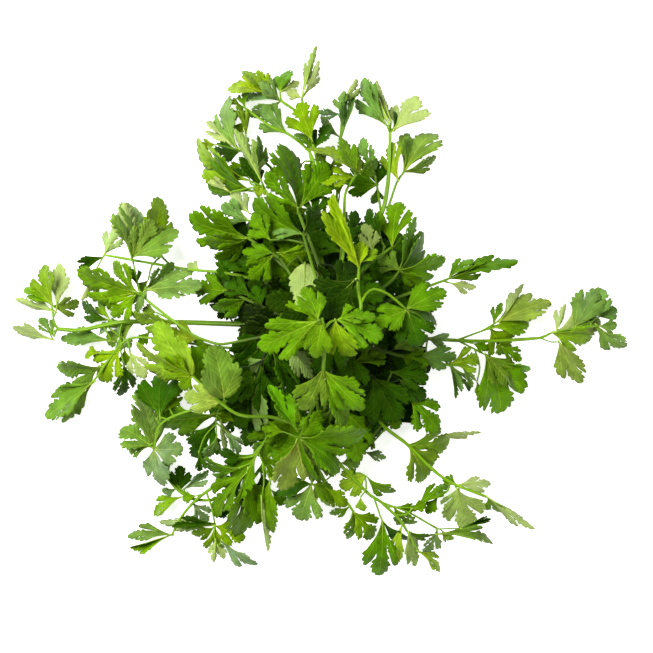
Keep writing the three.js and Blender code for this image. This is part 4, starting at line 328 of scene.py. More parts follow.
            [1.26, 0.84, "stalk", [-16, 4.64, 3.25, -16.71, 4.03, 15.7, -17.43, 3.39, 28.16, -18.14, 2.74, 40.61, -59.21, 21.34, 30.47]],
            [0.6, 0.49, "petiole", [-43.98, 14.44, 34.23, -45.84, 18.28, 33.48]],
            [0.6, 0.49, "petiole", [-17.95, 2.91, 37.34, -20.94, 0.28, 40.04, -24.9, -1.7, 39.18]],
            [0.62, 0.5, "stalk_painted_shade", [-17.7, 3.15, 32.83, -19.06, 11.63, 36.65, -20.14, 20.37, 34.28]],
        ],
        [
            [-59.21, 21.34, 30.47, -79.45, 22.66, 25.54, -0.476, 25.34, 0.314, 0.056, "mid", 0],
            [-48.58, 16.52, 33.1, -68.45, 10.55, 27.22, 0.796, 16.12, 0.276, 0.089, "mid", 0],
            [-45.84, 18.28, 33.48, -61.16, 26.21, 28.07, -0.552, 15.91, 0.242, 0.067, "dark", 0],
            [-24.9, -1.7, 39.18, -48.33, 0.9, 31.7, 0.543, 19.25, 0.384, 0.043, "shade", 0],
            [-38.68, 12.04, 35.54, -42.91, 24.3, 32.13, -0.121, 12.4, 0.282, 0.050, "dark", 0],
            [-20.14, 20.37, 34.28, -19.69, 54.92, 37.04, -0.280, 33.91, 0.127, 0.090, "mid", 0],
        ],
    ),
    "sprig_top_thin": (
        [
            [1.01, 0.67, "stalk", [1.26, 8.64, 3.12, 2.03, 19.49, 9.76, 2.84, 30.35, 16.39, 3.67, 41.19, 23.03, 4.51, 52.04, 29.67, 9.49, 130.09, 12.62]],
            [0.6, 0.49, "petiole", [9.21, 125.66, 13.59, 9.65, 130.32, 13.61, 10.1, 134.98, 12.62]],
            [0.62, 0.5, "petiole", [6.48, 82.97, 22.91, 3.35, 92.48, 28.23, -0.09, 97.11, 33.41]],
            [0.62, 0.5, "petiole", [5.17, 62.35, 27.42, 6.67, 72.97, 28.37, 7.86, 78.72, 29.2]],
        ],
        [
            [8.45, 113.87, 16.17, 18.8, 144.58, 5.57, 0.300, 21.96, 1.188, 0.050, "sheen", 1],
            [9.49, 130.09, 12.62, 10.15, 144.81, 8.2, 0.937, 14.25, 0.158, 0.075, "sheen", 0],
            [9.49, 130.09, 12.62, -5.22, 131.79, 9.02, 0.687, 8.2, 0.242, 0.060, "grey", 0],
            [10.1, 134.98, 12.62, 18.63, 151.14, 15.05, 3.442, 13.27, 1.037, -0.035, "pale", 1],
            [8.53, 115.04, 15.91, -3.98, 128.38, 11.62, 0.964, 10.94, 0.189, 0.050, "sheen", 0],
            [-0.09, 97.11, 33.41, -5.69, 104.15, 32, -0.455, 8.91, 0.155, 0.065, "soft", 0],
            [7.86, 78.72, 29.2, 7.76, 88.37, 27.23, 0.582, 7.69, 0.235, 0.069, "bright", 0],
        ],
    ),
    "sprig_mid_right_back": (
        [
            [1.26, 0.84, "stalk", [5.2, 8.48, 2.18, 7.25, 11.17, 21.59, 9.31, 13.88, 40.99, 11.37, 16.58, 60.4, 24.31, 35.44, 55.18, 38.53, 46.77, 51.14]],
            [0.6, 0.49, "petiole", [27, 37.58, 54.41, 27.2, 44.17, 56.43]],
            [0.6, 0.49, "petiole", [33.1, 42.44, 52.68, 33.8, 47.32, 51.88]],
            [0.62, 0.5, "stalk_painted_shade", [10.58, 15.54, 52.93, 5.24, 15.32, 57.01, -0.62, 14.42, 54.96]],
        ],
        [
            [27.2, 44.17, 56.43, 22.59, 60.15, 53.55, 2.712, 13.61, 0.153, -0.049, "cream", 0],
            [38.53, 46.77, 51.14, 42.38, 73.79, 44.03, 0.566, 25.21, 0.306, 0.056, "mid", 0],
            [33.8, 47.32, 51.88, 23.36, 68.89, 46.25, 0.864, 19.49, 0.295, 0.050, "dark", 0],
            [38.53, 46.77, 51.14, 52.3, 51.11, 46.92, -0.481, 11.94, 0.189, 0.062, "dark", 0],
            [-0.62, 14.42, 54.96, -35.24, 14.78, 55, -0.102, 30.41, 0.446, 0.034, "deep", 0],
        ],
    ),
    "sprig_mid_right": (
        [
            [1.26, 0.84, "stalk", [8.58, 6.75, 3.34, 9.9, 7.32, 22.07, 11.22, 7.88, 40.8, 12.54, 8.44, 59.54, 37.3, 26.14, 52.53, 43.27, 33.26, 50.47]],
            [0.62, 0.5, "stalk_painted_shade", [9.68, 7.23, 18.95, 13.73, 11.92, 25.18, 17.43, 16.46, 25.24]],
            [0.62, 0.5, "stalk_painted_shade", [11, 7.79, 37.68, 19.06, 7.63, 41.5, 26.76, 7.32, 39.14]],
            [0.62, 0.5, "stalk_painted_shade", [11.77, 8.11, 48.61, 7.81, 14.32, 55.73, 3.51, 20.37, 56.67]],
        ],
        [
            [43.27, 33.26, 50.47, 50.72, 64.2, 54.35, -1.017, 18.47, 0.202, 0.044, "cool", 0],
            [43.27, 33.26, 50.47, 58.58, 55.01, 40.72, -1.080, 19.63, 0.187, 0.082, "cool", 0],
            [43.12, 33.08, 50.53, 31, 41.03, 47.69, 0.025, 15.49, 0.259, 0.081, "soft", 0],
            [43.27, 33.26, 50.47, 69.72, 40.65, 42.96, -1.006, 26.55, 0.323, 0.070, "fresh", 0],
            [42.93, 32.86, 50.59, 58.82, 25.12, 46.6, -0.975, 14.71, 0.259, 0.055, "mid", 0],
            [17.43, 16.46, 25.24, 50.95, 32.21, 30.23, 0.170, 33.72, 0.199, 0.060, "dark", 0],
            [26.76, 7.32, 39.14, 58.7, 1.49, 33.72, 0.251, 25.92, 0.342, 0.093, "dark", 0],
            [3.51, 20.37, 56.67, -10.57, 35.92, 54, 0.498, 18.77, 0.447, 0.054, "deep", 0],
        ],
    ),
    "sprig_right_upper": (
        [
            [1.18, 0.76, "stalk", [9.47, 1.44, 2.11, 11.3, 2.62, 19.2, 13.13, 3.81, 36.29, 14.97, 4.99, 53.38, 28.57, 12.08, 49.89, 72.36, 28.29, 39.36]],
            [0.6, 0.49, "petiole", [69.32, 27.16, 40.1, 73.56, 25.91, 39.36]],
            [0.62, 0.5, "stalk_painted_shade", [9.64, 1.55, 3.66, 14.55, -1.21, 8.4, 18.93, -4.31, 6.97]],
            [0.62, 0.5, "stalk_painted_shade", [13.97, 4.35, 44.06, 14.4, -5.44, 49.99, 14.3, -15.56, 49.75]],
        ],
        [
            [72.36, 28.29, 39.36, 114.94, 38.31, 26.81, 0.800, 15.01, 0.173, 0.071, "mid", 0, "narrow"],
            [72.36, 28.29, 39.36, 87.83, 39.87, 32.98, 0.882, 13.17, 0.146, 0.097, "mid", 0],
            [72.36, 28.29, 39.36, 98.39, 38.82, 29.37, -0.987, 13.85, 0.252, 0.058, "mid", 0],
            [73.56, 25.91, 39.36, 89.48, 23.64, 34.68, 3.442, 12.06, 0.890, -0.050, "pale", 1],
            [18.93, -4.31, 6.97, 38.21, -30.1, 0.8, 0.004, 29.65, 0.241, 0.089, "dark", 0],
            [14.3, -15.56, 49.75, 15.38, -39.57, 43.64, -0.007, 21.45, 0.329, 0.094, "dark", 0],
        ],
    ),
    "sprig_inner_back": (
        [
            [1.18, 0.76, "stalk", [4.66, 12.13, 1.9, 5.34, 14.13, 15.54, 6.06, 16.13, 29.18, 6.8, 18.14, 42.82, 9.27, 50.52, 35.72]],
            [0.62, 0.5, "stalk_painted_shade", [6.47, 17.25, 36.76, 5.55, 15.06, 36.31]],
            [0.62, 0.5, "stalk_painted_shade", [7.7, 29.91, 40.24, 3.43, 35.93, 39.65, -1.22, 37.07, 38.93]],
            [0.62, 0.5, "stalk_painted_shade", [6.64, 17.69, 39.79, 12.98, 24.63, 45.01, 19.06, 30.85, 44.1]],
        ],
        [
            [9.27, 50.52, 35.72, 17.75, 68.9, 29.41, -0.525, 16.51, 0.339, 0.053, "dark", 0],
            [9.27, 50.52, 35.72, -3.9, 67.48, 32.61, 0.362, 16.79, 0.303, 0.091, "dark", 0],
            [8.8, 44.38, 37.07, -6.27, 51.67, 36.56, 0.071, 13.63, 0.192, 0.068, "dark", 0],
            [8.81, 44.52, 37.04, 22.48, 51.87, 32.91, -0.579, 15.1, 0.217, 0.029, "dark", 0],
            [5.55, 15.06, 36.31, -23.33, -4.11, 39.53, 0.456, 31.28, 0.431, 0.052, "bright", 0],
            [-1.22, 37.07, 38.93, -22.76, 54.29, 29.04, -0.400, 28.68, 0.210, 0.023, "dark", 0],
            [19.06, 30.85, 44.1, 46.77, 41.36, 39.05, 0.102, 28.61, 0.245, 0.088, "dark", 0],
        ],
    ),
    "sprig_lower_right_a": (
        [
            [1.26, 0.84, "stalk", [8.44, -7.44, 2.21, 10.3, -8.04, 14.02, 12.16, -8.65, 25.83, 14.02, -9.25, 37.64, 66.76, -23.26, 25.49, 74.75, -22.7, 23.83]],
            [0.59, 0.5, "stalk", [61.3, -21.81, 26.75, 60, -14.17, 27.43, 61.21, -6.93, 27.37]],
            [0.6, 0.49, "petiole", [51.69, -19.26, 28.96, 56.22, -16.54, 30.11]],
            [0.6, 0.49, "petiole", [71.52, -22.92, 24.5, 76.56, -24.51, 23.83]],
            [0.6, 0.49, "petiole", [69.13, -23.09, 25, 75.57, -23.5, 24.91, 82.01, -23.91, 23.83]],
            [0.62, 0.5, "stalk_painted_shade", [36.83, -15.31, 32.39, 40.49, -13.41, 31.72]],
        ],
        [
            [43.84, -17.17, 30.77, 60.95, -23.12, 31.46, -0.254, 14.25, 0.289, 0.056, "mid", 0],
            [56.22, -16.54, 30.11, 78.35, -18.45, 24.21, -0.449, 17.11, 0.372, 0.039, "sheen", 0],
            [74.75, -22.7, 23.83, 92.76, -19.16, 18.98, 0.159, 16.47, 0.317, 0.061, "light", 0],
            [74.71, -22.7, 23.84, 78.11, -43.46, 19.58, 0.300, 15.45, 1.174, 0.053, "sheen", 1],
            [76.56, -24.51, 23.83, 86.88, -39.33, 16.58, 0.300, 13.97, 1.188, 0.016, "sheen", 1],
            [82.01, -23.91, 23.83, 88.14, -36.65, 22.91, 0.300, 10.2, 1.033, 0.033, "sheen", 1],
            [61.21, -6.93, 27.37, 74.18, -5.15, 23.35, -0.886, 12.8, 0.348, 0.092, "grey", 0],
            [40.49, -13.41, 31.72, 59.61, -5.48, 26.86, 0.115, 18.35, 0.254, 0.051, "soft", 0],
        ],
    ),
    "sprig_lower_centre_b": (
        [
            [1.18, 0.76, "stalk", [-5.93, -15.51, 3.05, -6, -25.62, 10.79, -5.96, -35.74, 18.51, -5.59, -45.87, 26.18, -5.1, -56.01, 33.84, -9.31, -68.18, 31.08, -9.95, -83.49, 27.69, -8.76, -95.19, 25.15]],
            [0.62, 0.5, "stalk_painted_shade", [-6.68, -60.57, 32.8, -9.84, -64.46, 34.63]],
            [0.62, 0.5, "stalk_painted_shade", [-5.63, -57.53, 33.5, -6.61, -62.1, 33.84]],
        ],
        [
            [-8.76, -95.19, 25.15, -30.66, -102.3, 20.77, -1.009, 17.32, 0.200, 0.083, "dark", 0],
            [-8.76, -95.19, 25.15, -16.13, -117.75, 18.5, -0.060, 23.55, 0.205, 0.075, "sheen", 0],
            [-8.76, -95.19, 25.15, 3.94, -105.26, 21.5, 0.923, 15.57, 0.171, 0.076, "mid", 0],
            [-9.84, -64.46, 34.63, -32.67, -79.61, 29.46, -0.237, 25.04, 0.139, 0.036, "mid", 0],
            [-6.61, -62.1, 33.84, -8.78, -83.83, 33.9, 0.412, 20.23, 0.122, 0.044, "soft", 0],
        ],
    ),
    "sprig_lower_right_b": (
        [
            [1.34, 0.84, "stalk_painted_shade", [9.58, -11.77, 2.7, 9.47, -12.92, 14.2, 9.36, -14.07, 25.7, 9.25, -15.22, 37.2, 24.85, -28.44, 34.13, 44.16, -39.36, 30.88]],
            [0.67, 0.57, "stalk_painted_shade", [35.47, -34.44, 32.34, 44.13, -32.12, 31.52]],
            [0.67, 0.57, "stalk_painted_shade", [42.98, -38.69, 31.08, 50.23, -43.01, 29.83]],
            [0.6, 0.49, "petiole", [36.05, -34.29, 32.29, 37.62, -30.76, 34.06, 39.2, -27.23, 34.83]],
            [0.62, 0.5, "stalk_painted_shade", [9.52, -12.43, 9.27, 0.22, -12.02, 10.99, -9.04, -11.12, 6.53]],
        ],
        [
            [27.71, -30.06, 33.65, 43.11, -55.77, 27.62, -0.201, 27.85, 0.274, 0.061, "dark", 0],
            [44.13, -32.12, 31.52, 59.96, -43.08, 28.1, 0.491, 17.94, 0.326, 0.042, "dark", 0],
            [17.09, -21.87, 35.66, 35.28, -15.38, 27.36, 0.498, 18.23, 0.350, 0.070, "mid", 0],
            [39.2, -27.23, 34.83, 60.92, -31.51, 31.88, 0.373, 17.91, 0.321, 0.071, "dark", 0],
            [50.23, -43.01, 29.83, 66.79, -63.16, 25.11, 0.516, 23.71, 0.146, 0.076, "mid", 0],
            [-9.04, -11.12, 6.53, -39.25, -8.54, 0.8, 0.105, 30.35, 0.411, 0.080, "deep", 0],
        ],
    ),
    "sprig_inner_low_left": (
        [
            [1.18, 0.76, "stalk_painted_shade", [-17.36, -14.88, 3, -16.04, -13.59, 15.34, -14.72, -12.3, 27.68, -13.39, -11.01, 40.02, -24.74, -11.62, 38.53, -34.93, -14.03, 36.97, -42.19, -30.82, 34.78]],
            [0.62, 0.5, "stalk_painted_shade", [-15.05, -12.62, 24.59, -12.52, -8.2, 27.6]],
            [0.62, 0.5, "stalk_painted_shade", [-37.35, -19.63, 36.24, -47.18, -24.18, 34.28, -55.04, -24.18, 31.71]],
        ],
        [
            [-37.24, -19.38, 36.28, -45.35, -26.73, 31.14, 3.246, 13.63, 0.318, -0.022, "mid", 0],
            [-38.99, -23.42, 35.75, -41.62, -49.41, 34, 0.622, 20.9, 0.210, 0.089, "dark", 0],
            [-32.92, -13.56, 37.28, -18.16, -44.36, 39.68, 0.956, 20.78, 0.206, 0.038, "dark", 0],
            [-42.19, -30.82, 34.78, -43.91, -62.69, 23.03, 2.101, 26.41, 0.320, -0.034, "mid", 0],
            [-42.19, -30.82, 34.78, -59.22, -44.79, 30.29, -0.784, 20.99, 0.263, 0.066, "dark", 0],
            [-22.95, -11.53, 38.76, -8.67, -30.78, 35.94, 3.935, 18.24, 0.285, -0.051, "soft", 0],
            [-12.52, -8.2, 27.6, 13.91, 10.33, 25.74, 0.088, 26.74, 0.212, 0.039, "deep", 0],
            [-55.04, -24.18, 31.71, -76.88, -34.74, 21.86, 0.335, 22.07, 0.232, 0.097, "dark", 0],
        ],
    ),
    "sprig_under_01": (
        [
            [1.26, 0.84, "stalk_painted_shade", [16.52, 0.01, 3.39, 16.37, 0.72, 9.89, 16.23, 1.42, 16.4, 16.08, 2.12, 22.9, 37.99, 4.56, 19.7, 53.31, 10.05, 17.34]],
            [0.62, 0.5, "stalk_painted_shade", [16.37, 0.72, 9.89, 17.04, -6.4, 15.88, 17.81, -14.05, 15.7]],
        ],
        [
            [53.31, 10.05, 17.34, 65.69, 11.3, 14.85, 0.614, 11.7, 0.267, 0.020, "deep", 0],
            [49.46, 8.67, 17.93, 61.55, -0.6, 13.7, -0.480, 12.93, 0.338, 0.026, "deep", 0],
            [49.7, 8.76, 17.89, 58.61, 25.97, 14.55, 0.399, 16.5, 0.218, 0.097, "deep", 0],
            [29.96, 3.66, 20.87, 46.26, -12.4, 24.73, -0.014, 18.59, 0.278, 0.032, "dark", 0],
            [29.49, 3.61, 20.94, 37.49, 26.52, 16.74, 3.685, 23.16, 0.219, -0.043, "deep", 0],
            [20.21, 2.58, 22.3, 28.72, -11.19, 24.63, 0.156, 14.06, 0.274, 0.067, "deep", 0],
            [17.81, -14.05, 15.7, 24.79, -46.75, 3.5, -0.010, 32.8, 0.306, 0.075, "deep", 0],
        ],
    ),
    "sprig_under_02": (
        [
            [1.26, 0.84, "stalk_painted_shade", [8.19, 12.78, 2.95, 8.63, 13.52, 12.59, 9.02, 14.27, 22.22, 24.1, 30.05, 19.38, 27.09, 37.41, 18.51]],
        ],
        [
            [27.09, 37.41, 18.51, 41.87, 52.87, 14.22, -0.243, 21.07, 0.180, 0.059, "deep", 0],
            [25.64, 33.84, 18.94, 47.2, 33.8, 17.66, -0.211, 18.79, 0.319, 0.031, "deep", 0],
            [26.01, 34.75, 18.83, 18.63, 56.49, 15.01, -0.439, 19.2, 0.272, 0.050, "deep", 0],
            [18.45, 24.14, 20.45, 41.57, 22.76, 21.25, -0.140, 20.49, 0.365, 0.029, "deep", 0],
            [18.18, 23.85, 20.5, 9.48, 46.78, 13.78, -0.203, 19.35, 0.362, 0.088, "deep", 0],
            [11.36, 16.72, 21.78, 26.99, 11.83, 21.57, 0.068, 13.63, 0.365, 0.035, "deep", 0],
        ],
    ),
    "sprig_under_03": (
        [
            [1.26, 0.84, "stalk_painted_shade", [-5.78, 15.8, 2.98, -6.78, 17.24, 11.69, -7.7, 18.67, 20.37, -6.51, 40.47, 17.65, -9.17, 56.36, 16.76]],
            [0.62, 0.5, "stalk_painted_shade", [-6.18, 16.38, 6.46, -9.1, 14.01, 8.7, -11.58, 11.04, 6]],
        ],
        [
            [-9.17, 56.36, 16.76, -8.99, 68.44, 18.29, 0.187, 10.54, 0.268, 0.059, "deep", 0],
            [-8.44, 52.02, 17, 8.24, 68.68, 15.39, -0.185, 21.19, 0.380, 0.031, "deep", 0],
            [-8.53, 52.55, 16.97, -28.46, 65.79, 12.88, -0.825, 21.79, 0.216, 0.085, "deep", 0],
            [-6.97, 32, 18.71, 12.68, 47.94, 2.32, -0.801, 27.26, 0.251, 0.090, "deep", 0],
            [-6.97, 31.97, 18.71, -27.8, 42.46, 14.65, 0.464, 20.81, 0.174, 0.033, "deep", 0],
            [-7.5, 22.33, 19.92, 9.47, 29.64, 14.46, -0.741, 15.41, 0.253, 0.037, "deep", 0],
            [-11.58, 11.04, 6, -31.51, -20.84, 2.36, -0.134, 31.26, 0.398, 0.039, "dark", 0],
        ],
    ),
    "sprig_under_04": (
        [
            [1.26, 0.84, "stalk_painted_shade", [-14.92, 10.9, 3.15, -16.18, 12.32, 12.51, -17.4, 13.77, 21.88, -28.55, 32.95, 19.25, -35.01, 37.41, 18.52]],
            [0.6, 0.49, "petiole", [-29.99, 33.94, 19.09, -33.76, 33.76, 18.96]],
            [0.62, 0.5, "stalk_painted_shade", [-18.99, 16.51, 21.5, -18.63, 23.81, 24.73, -15.78, 26.82, 27.35]],
        ],
        [
            [-35.01, 37.41, 18.52, -46.15, 55.92, 14.2, 0.265, 21.07, 0.148, 0.042, "deep", 0],
            [-32.12, 35.41, 18.85, -26.56, 56.49, 15.08, -0.006, 17.9, 0.324, 0.040, "deep", 0],
            [-33.76, 33.76, 18.96, -55.26, 33.89, 15.21, 0.250, 18.01, 0.216, 0.093, "deep", 0],
            [-24.22, 25.5, 20.27, -16.64, 47.5, 24.07, -0.235, 21.09, 0.287, 0.031, "deep", 0],
            [-24.02, 25.16, 20.32, -47.88, 22.26, 16.16, 3.722, 22.85, 0.256, -0.046, "deep", 0],
            [-19.28, 17.01, 21.44, -9.99, 31.17, 23.68, 0.375, 13.63, 0.361, 0.076, "deep", 0],
            [-15.78, 26.82, 27.35, 6.34, 50.72, 24.46, 0.231, 26.27, 0.165, 0.028, "deep", 0],
        ],
    ),
    "sprig_under_05": (
        [
            [1.26, 0.84, "stalk_painted_shade", [-22.19, 4.21, 2.01, -23.05, 4.11, 12.85, -23.91, 4.01, 23.69, -44.67, 11.42, 19.93, -60.62, 13.1, 17.31]],
            [0.62, 0.5, "stalk_painted_shade", [-22.31, 4.2, 3.56, -25.51, 5.55, 7.16, -28.43, 6.93, 6]],
            [0.62, 0.5, "stalk_painted_shade", [-57.43, 12.76, 17.83, -58.28, 16.24, 20.58, -54.93, 19.27, 22.81]],
        ],
        [
            [-60.62, 13.1, 17.31, -72.41, 17.42, 14.8, -0.195, 10.54, 0.369, 0.047, "deep", 0],
            [-56.38, 12.65, 18.01, -66.95, 33.93, 13.84, -0.130, 18.02, 0.279, 0.069, "dark", 0],
            [-56.7, 12.69, 17.95, -66.22, 5.58, 18.39, 0.171, 9.94, 0.305, 0.079, "shade", 0],
            [-36.38, 8.46, 21.43, -44.24, 29.79, 29.21, 0.307, 22.81, 0.331, 0.085, "deep", 0],
            [-36.51, 8.51, 21.41, -51.94, -7.06, 22.12, -0.428, 20.34, 0.250, 0.041, "shade", 0],
            [-27.17, 5.17, 23.1, -29.46, 20.95, 20.41, 0.342, 15.16, 0.239, 0.050, "shade", 0],
            [-28.43, 6.93, 6, -58.89, 27.69, 11.33, 0.456, 36.81, 0.270, 0.043, "dark", 0],
            [-54.93, 19.27, 22.81, -53.76, 48.94, 14.93, -0.306, 26.6, 0.260, 0.064, "dark", 0],
        ],
    ),
    "sprig_under_06": (
        [
            [1.26, 0.84, "stalk_painted_shade", [-20.91, -7.71, 2.11, -22.28, -7.77, 11.82, -23.65, -7.84, 21.54, -44.86, -13.44, 18.9, -51.45, -19.02, 18.37]],
            [0.6, 0.49, "petiole", [-46.15, -14.53, 18.79, -47.14, -19.16, 19.01]],
            [0.62, 0.5, "stalk_painted_shade", [-28.2, -9.04, 20.97, -37.48, -16.33, 21.77, -41.96, -22.35, 21.96]],
            [0.62, 0.5, "petiole", [-48.81, -16.79, 18.58, -58.87, -18.57, 21.16, -65.12, -17.13, 22.85]],
        ],
        [
            [-51.45, -19.02, 18.37, -71.82, -24.14, 14.16, -0.005, 21.07, 0.249, 0.058, "deep", 0],
            [-48.35, -16.39, 18.62, -57.31, -10.79, 16.78, 0.036, 8.8, 0.324, 0.031, "deep", 0],
            [-47.14, -19.16, 19.01, -54.04, -39.99, 15.18, 0.478, 19.13, 0.196, 0.084, "deep", 0],
            [-36.7, -11.29, 19.91, -52.24, -1.52, 12.6, -0.297, 15.59, 0.231, 0.044, "shade", 0],
            [-36.38, -11.2, 19.95, -40.59, -36.31, 15.61, -0.472, 20.87, 0.166, 0.035, "deep", 0],
            [-27.1, -8.75, 21.11, -37.84, 2.12, 23.47, 0.158, 13.71, 0.148, 0.044, "deep", 0],
            [-41.96, -22.35, 21.96, -69.46, -42.32, 26.79, 0.163, 33.78, 0.473, 0.036, "dark", 0],
            [-65.12, -17.13, 22.85, -85.32, -16.3, 20.03, -0.090, 19.21, 0.241, 0.088, "mid", 0],
        ],
    ),
    "sprig_under_07": (
        [
            [1.26, 0.84, "stalk_painted_shade", [-11.57, -18.19, 2.73, -13.4, -18.78, 12.61, -15.23, -19.37, 22.49, -28.73, -36.39, 19.2, -35.19, -51.96, 17.12]],
            [0.62, 0.5, "stalk_painted_shade", [-34.02, -49.13, 17.5, -30.09, -54.26, 17.71]],
            [0.62, 0.5, "stalk_painted_shade", [-26.8, -33.96, 19.67, -34.83, -38.31, 23.43, -39.79, -38.79, 26.73]],
        ],
        [
            [-35.19, -51.96, 17.12, -50.66, -72.15, 9.59, -0.324, 21.88, 0.225, 0.040, "dark", 0],
            [-33.48, -47.85, 17.67, -56.57, -51.68, 13.57, -0.683, 20.63, 0.159, 0.032, "mid", 0],
            [-33.63, -48.2, 17.62, -25.08, -70.39, 25.45, -0.797, 23.63, 0.189, 0.040, "mid", 0],
            [-23.5, -29.8, 20.48, -46.28, -31.15, 24.28, 0.422, 21.94, 0.372, 0.068, "dark", 0],
            [-23.33, -29.59, 20.52, -11.86, -51.41, 18.76, 3.343, 18.59, 0.311, -0.041, "deep", 0],
            [-17.58, -22.34, 21.92, -33.75, -19.76, 19.17, 0.056, 13.63, 0.274, 0.020, "deep", 0],
            [-30.09, -54.26, 17.71, -7.62, -80.15, 11.99, -0.019, 34.58, 0.316, 0.052, "mid", 0],
            [-39.79, -38.79, 26.73, -71.53, -51.34, 10.14, 0.061, 36.22, 0.347, 0.029, "dark", 0],
        ],
    ),
    "sprig_under_08": (
        [
            [1.26, 0.84, "stalk_painted_shade", [-2.32, -20.59, 3.33, -2.11, -21.78, 12.05, -1.92, -22.97, 20.77, -3.27, -44.71, 17.52, 0.02, -52.01, 17.62]],
            [0.6, 0.49, "petiole", [-2.53, -46.35, 17.55, 1.52, -48.36, 18.84]],
            [0.62, 0.5, "stalk_painted_shade", [-2.19, -21.3, 8.56, -5.36, -23.77, 11.97, -8.63, -25.69, 10.24]],
        ],
        [
            [0.02, -52.01, 17.62, -0.31, -73.72, 13.28, 0.005, 21.07, 0.157, 0.047, "mid", 0],
            [-1.35, -48.98, 17.58, -16.86, -63.44, 11.44, 0.336, 17.35, 0.313, 0.055, "deep", 0],
            [1.52, -48.36, 18.84, 19.23, -60.15, 15.13, 0.249, 17.35, 0.359, 0.097, "deep", 0],
            [-2.75, -36.26, 18.78, -20.72, -52.26, 2.55, 0.561, 25.35, 0.193, 0.045, "deep", 0],
            [-2.75, -36.23, 18.79, 19.81, -46.62, 17.02, 0.333, 18.59, 0.164, 0.071, "deep", 0],
            [-2.15, -26.61, 20.22, -17.22, -33.53, 25.46, -0.035, 13.63, 0.161, 0.047, "deep", 0],
            [-8.63, -25.69, 10.24, -32.75, -52.79, 0.8, 0.212, 32.45, 0.259, 0.035, "deep", 0],
        ],
    ),
    "sprig_under_09": (
        [
            [1.26, 0.84, "stalk_painted_shade", [9.91, -15.62, 2.67, 9.09, -17.06, 11.66, 8.27, -18.49, 20.65, 21.08, -36.44, 17.25, 33.76, -47.26, 16.51]],
            [0.62, 0.5, "stalk_painted_shade", [11.93, -23.62, 19.68, 18.79, -28.62, 23.07, 22.79, -29.61, 26.02]],
        ],
        [
            [33.76, -47.26, 16.51, 44.09, -61.99, 12.92, -0.344, 16.65, 0.291, 0.064, "mid", 0],
            [30.39, -44.39, 16.71, 26.63, -67.65, 12.6, 0.123, 18.2, 0.339, 0.067, "dark", 0],
            [30.49, -44.47, 16.7, 54.79, -43.77, 12.56, -0.598, 21.57, 0.357, 0.021, "dark", 0],
            [16.04, -29.39, 18.59, 10.82, -52.89, 2.31, 0.273, 21.91, 0.332, 0.075, "deep", 0],
            [15.94, -29.25, 18.61, 40.64, -25.36, 14.31, -0.522, 21.18, 0.348, 0.023, "deep", 0],
            [10.43, -21.52, 20.08, 3.39, -36.07, 5.41, 1.297, 20.63, 0.216, 0.089, "deep", 0],
            [22.79, -29.61, 26.02, 49.15, -42.42, 22.36, -0.226, 27.32, 0.482, 0.033, "deep", 0],
        ],
    ),
    "sprig_under_10": (
        [
            [1.26, 0.84, "stalk_painted_shade", [14.65, -6.19, 3.06, 15.05, -7.49, 13, 15.45, -8.79, 22.95, 35.55, -17.32, 19.73, 44.12, -17.95, 18.51]],
            [0.6, 0.49, "petiole", [37.82, -17.49, 19.4, 41.06, -15.51, 18.96]],
            [0.62, 0.5, "stalk_painted_shade", [40.69, -17.7, 19, 43.37, -10.7, 19.77, 41.11, -3.34, 20.05]],
        ],
        [
            [44.12, -17.95, 18.51, 63.25, -26.58, 14.3, 0.073, 21.07, 0.188, 0.055, "deep", 0],
            [39.86, -17.64, 19.11, 47.31, -38.16, 15.31, -0.272, 19.71, 0.217, 0.090, "deep", 0],
            [41.06, -15.51, 18.96, 57.83, -3.33, 23.33, -0.040, 17.35, 0.163, 0.060, "deep", 0],
            [27.95, -14.09, 20.95, 34.63, -35.83, 28.74, -0.213, 18.59, 0.265, 0.066, "deep", 0],
            [28.03, -14.13, 20.93, 46.26, 2.14, 11.77, 3.507, 22.08, 0.371, -0.058, "deep", 0],
            [18.68, -10.16, 22.43, 20.26, -26.3, 24.67, 0.031, 13.63, 0.292, 0.053, "deep", 0],
            [41.11, -3.34, 20.05, 52.52, 29.6, 21.53, 0.192, 29.3, 0.124, 0.075, "dark", 0],
        ],
    ),
    "sprig_long_left": (
        [
            [1.75, 1.2, "stalk", [-28.46, 0.37, 3.54, -24.34, 0.25, 9.49, -20.22, 0.14, 15.45, -16.09, 0.04, 21.4, -120.24, 3.03, 12.94, -151.21, -2.17, 10.58, -164.9, -1.54, 9.46]],
            [0.74, 0.63, "stalk", [-164.9, -1.54, 9.46, -167.39, 2.76, 9.25, -168.64, 13.21, 9.09]],
            [0.64, 0.54, "stalk", [-132.54, 0.96, 12, -133.84, -0.31, 12.05, -124.55, -7.04, 12.82]],
            [0.64, 0.54, "stalk", [-164.9, -1.54, 9.46, -169.88, -4.61, 9.05]],
            [0.6, 0.49, "petiole", [-167.76, 5.89, 9.2, -166.18, 8.91, 9.14]],
            [0.6, 0.49, "petiole", [-165.92, -2.17, 9.38, -167.4, -5.84, 9.15]],
            [0.6, 0.49, "petiole", [-136.7, 0.27, 11.68, -131.47, -8.89, 11.46]],
            [0.6, 0.49, "petiole", [-129.89, 1.41, 12.2, -133.83, 3.98, 12.08]],
            [0.6, 0.49, "petiole", [-128.94, 1.57, 12.27, -133.21, 4.59, 12.14]],
            [0.48, 0.42, "petiole", [-168.64, 13.21, 9.09, -165.57, 10.75, 9.09]],
            [0.48, 0.42, "petiole", [-169.88, -4.61, 9.05, -168.04, -7.68, 9.05]],
            [0.62, 0.5, "stalk_painted_shade", [-23.64, 0.26, 20.79, -29.74, -2.1, 22.75, -31.14, -4.59, 23.9]],
            [0.62, 0.5, "petiole", [-100.62, 2.47, 14.53, -106.54, -0.27, 14.59, -107.88, -3.14, 13.81]],
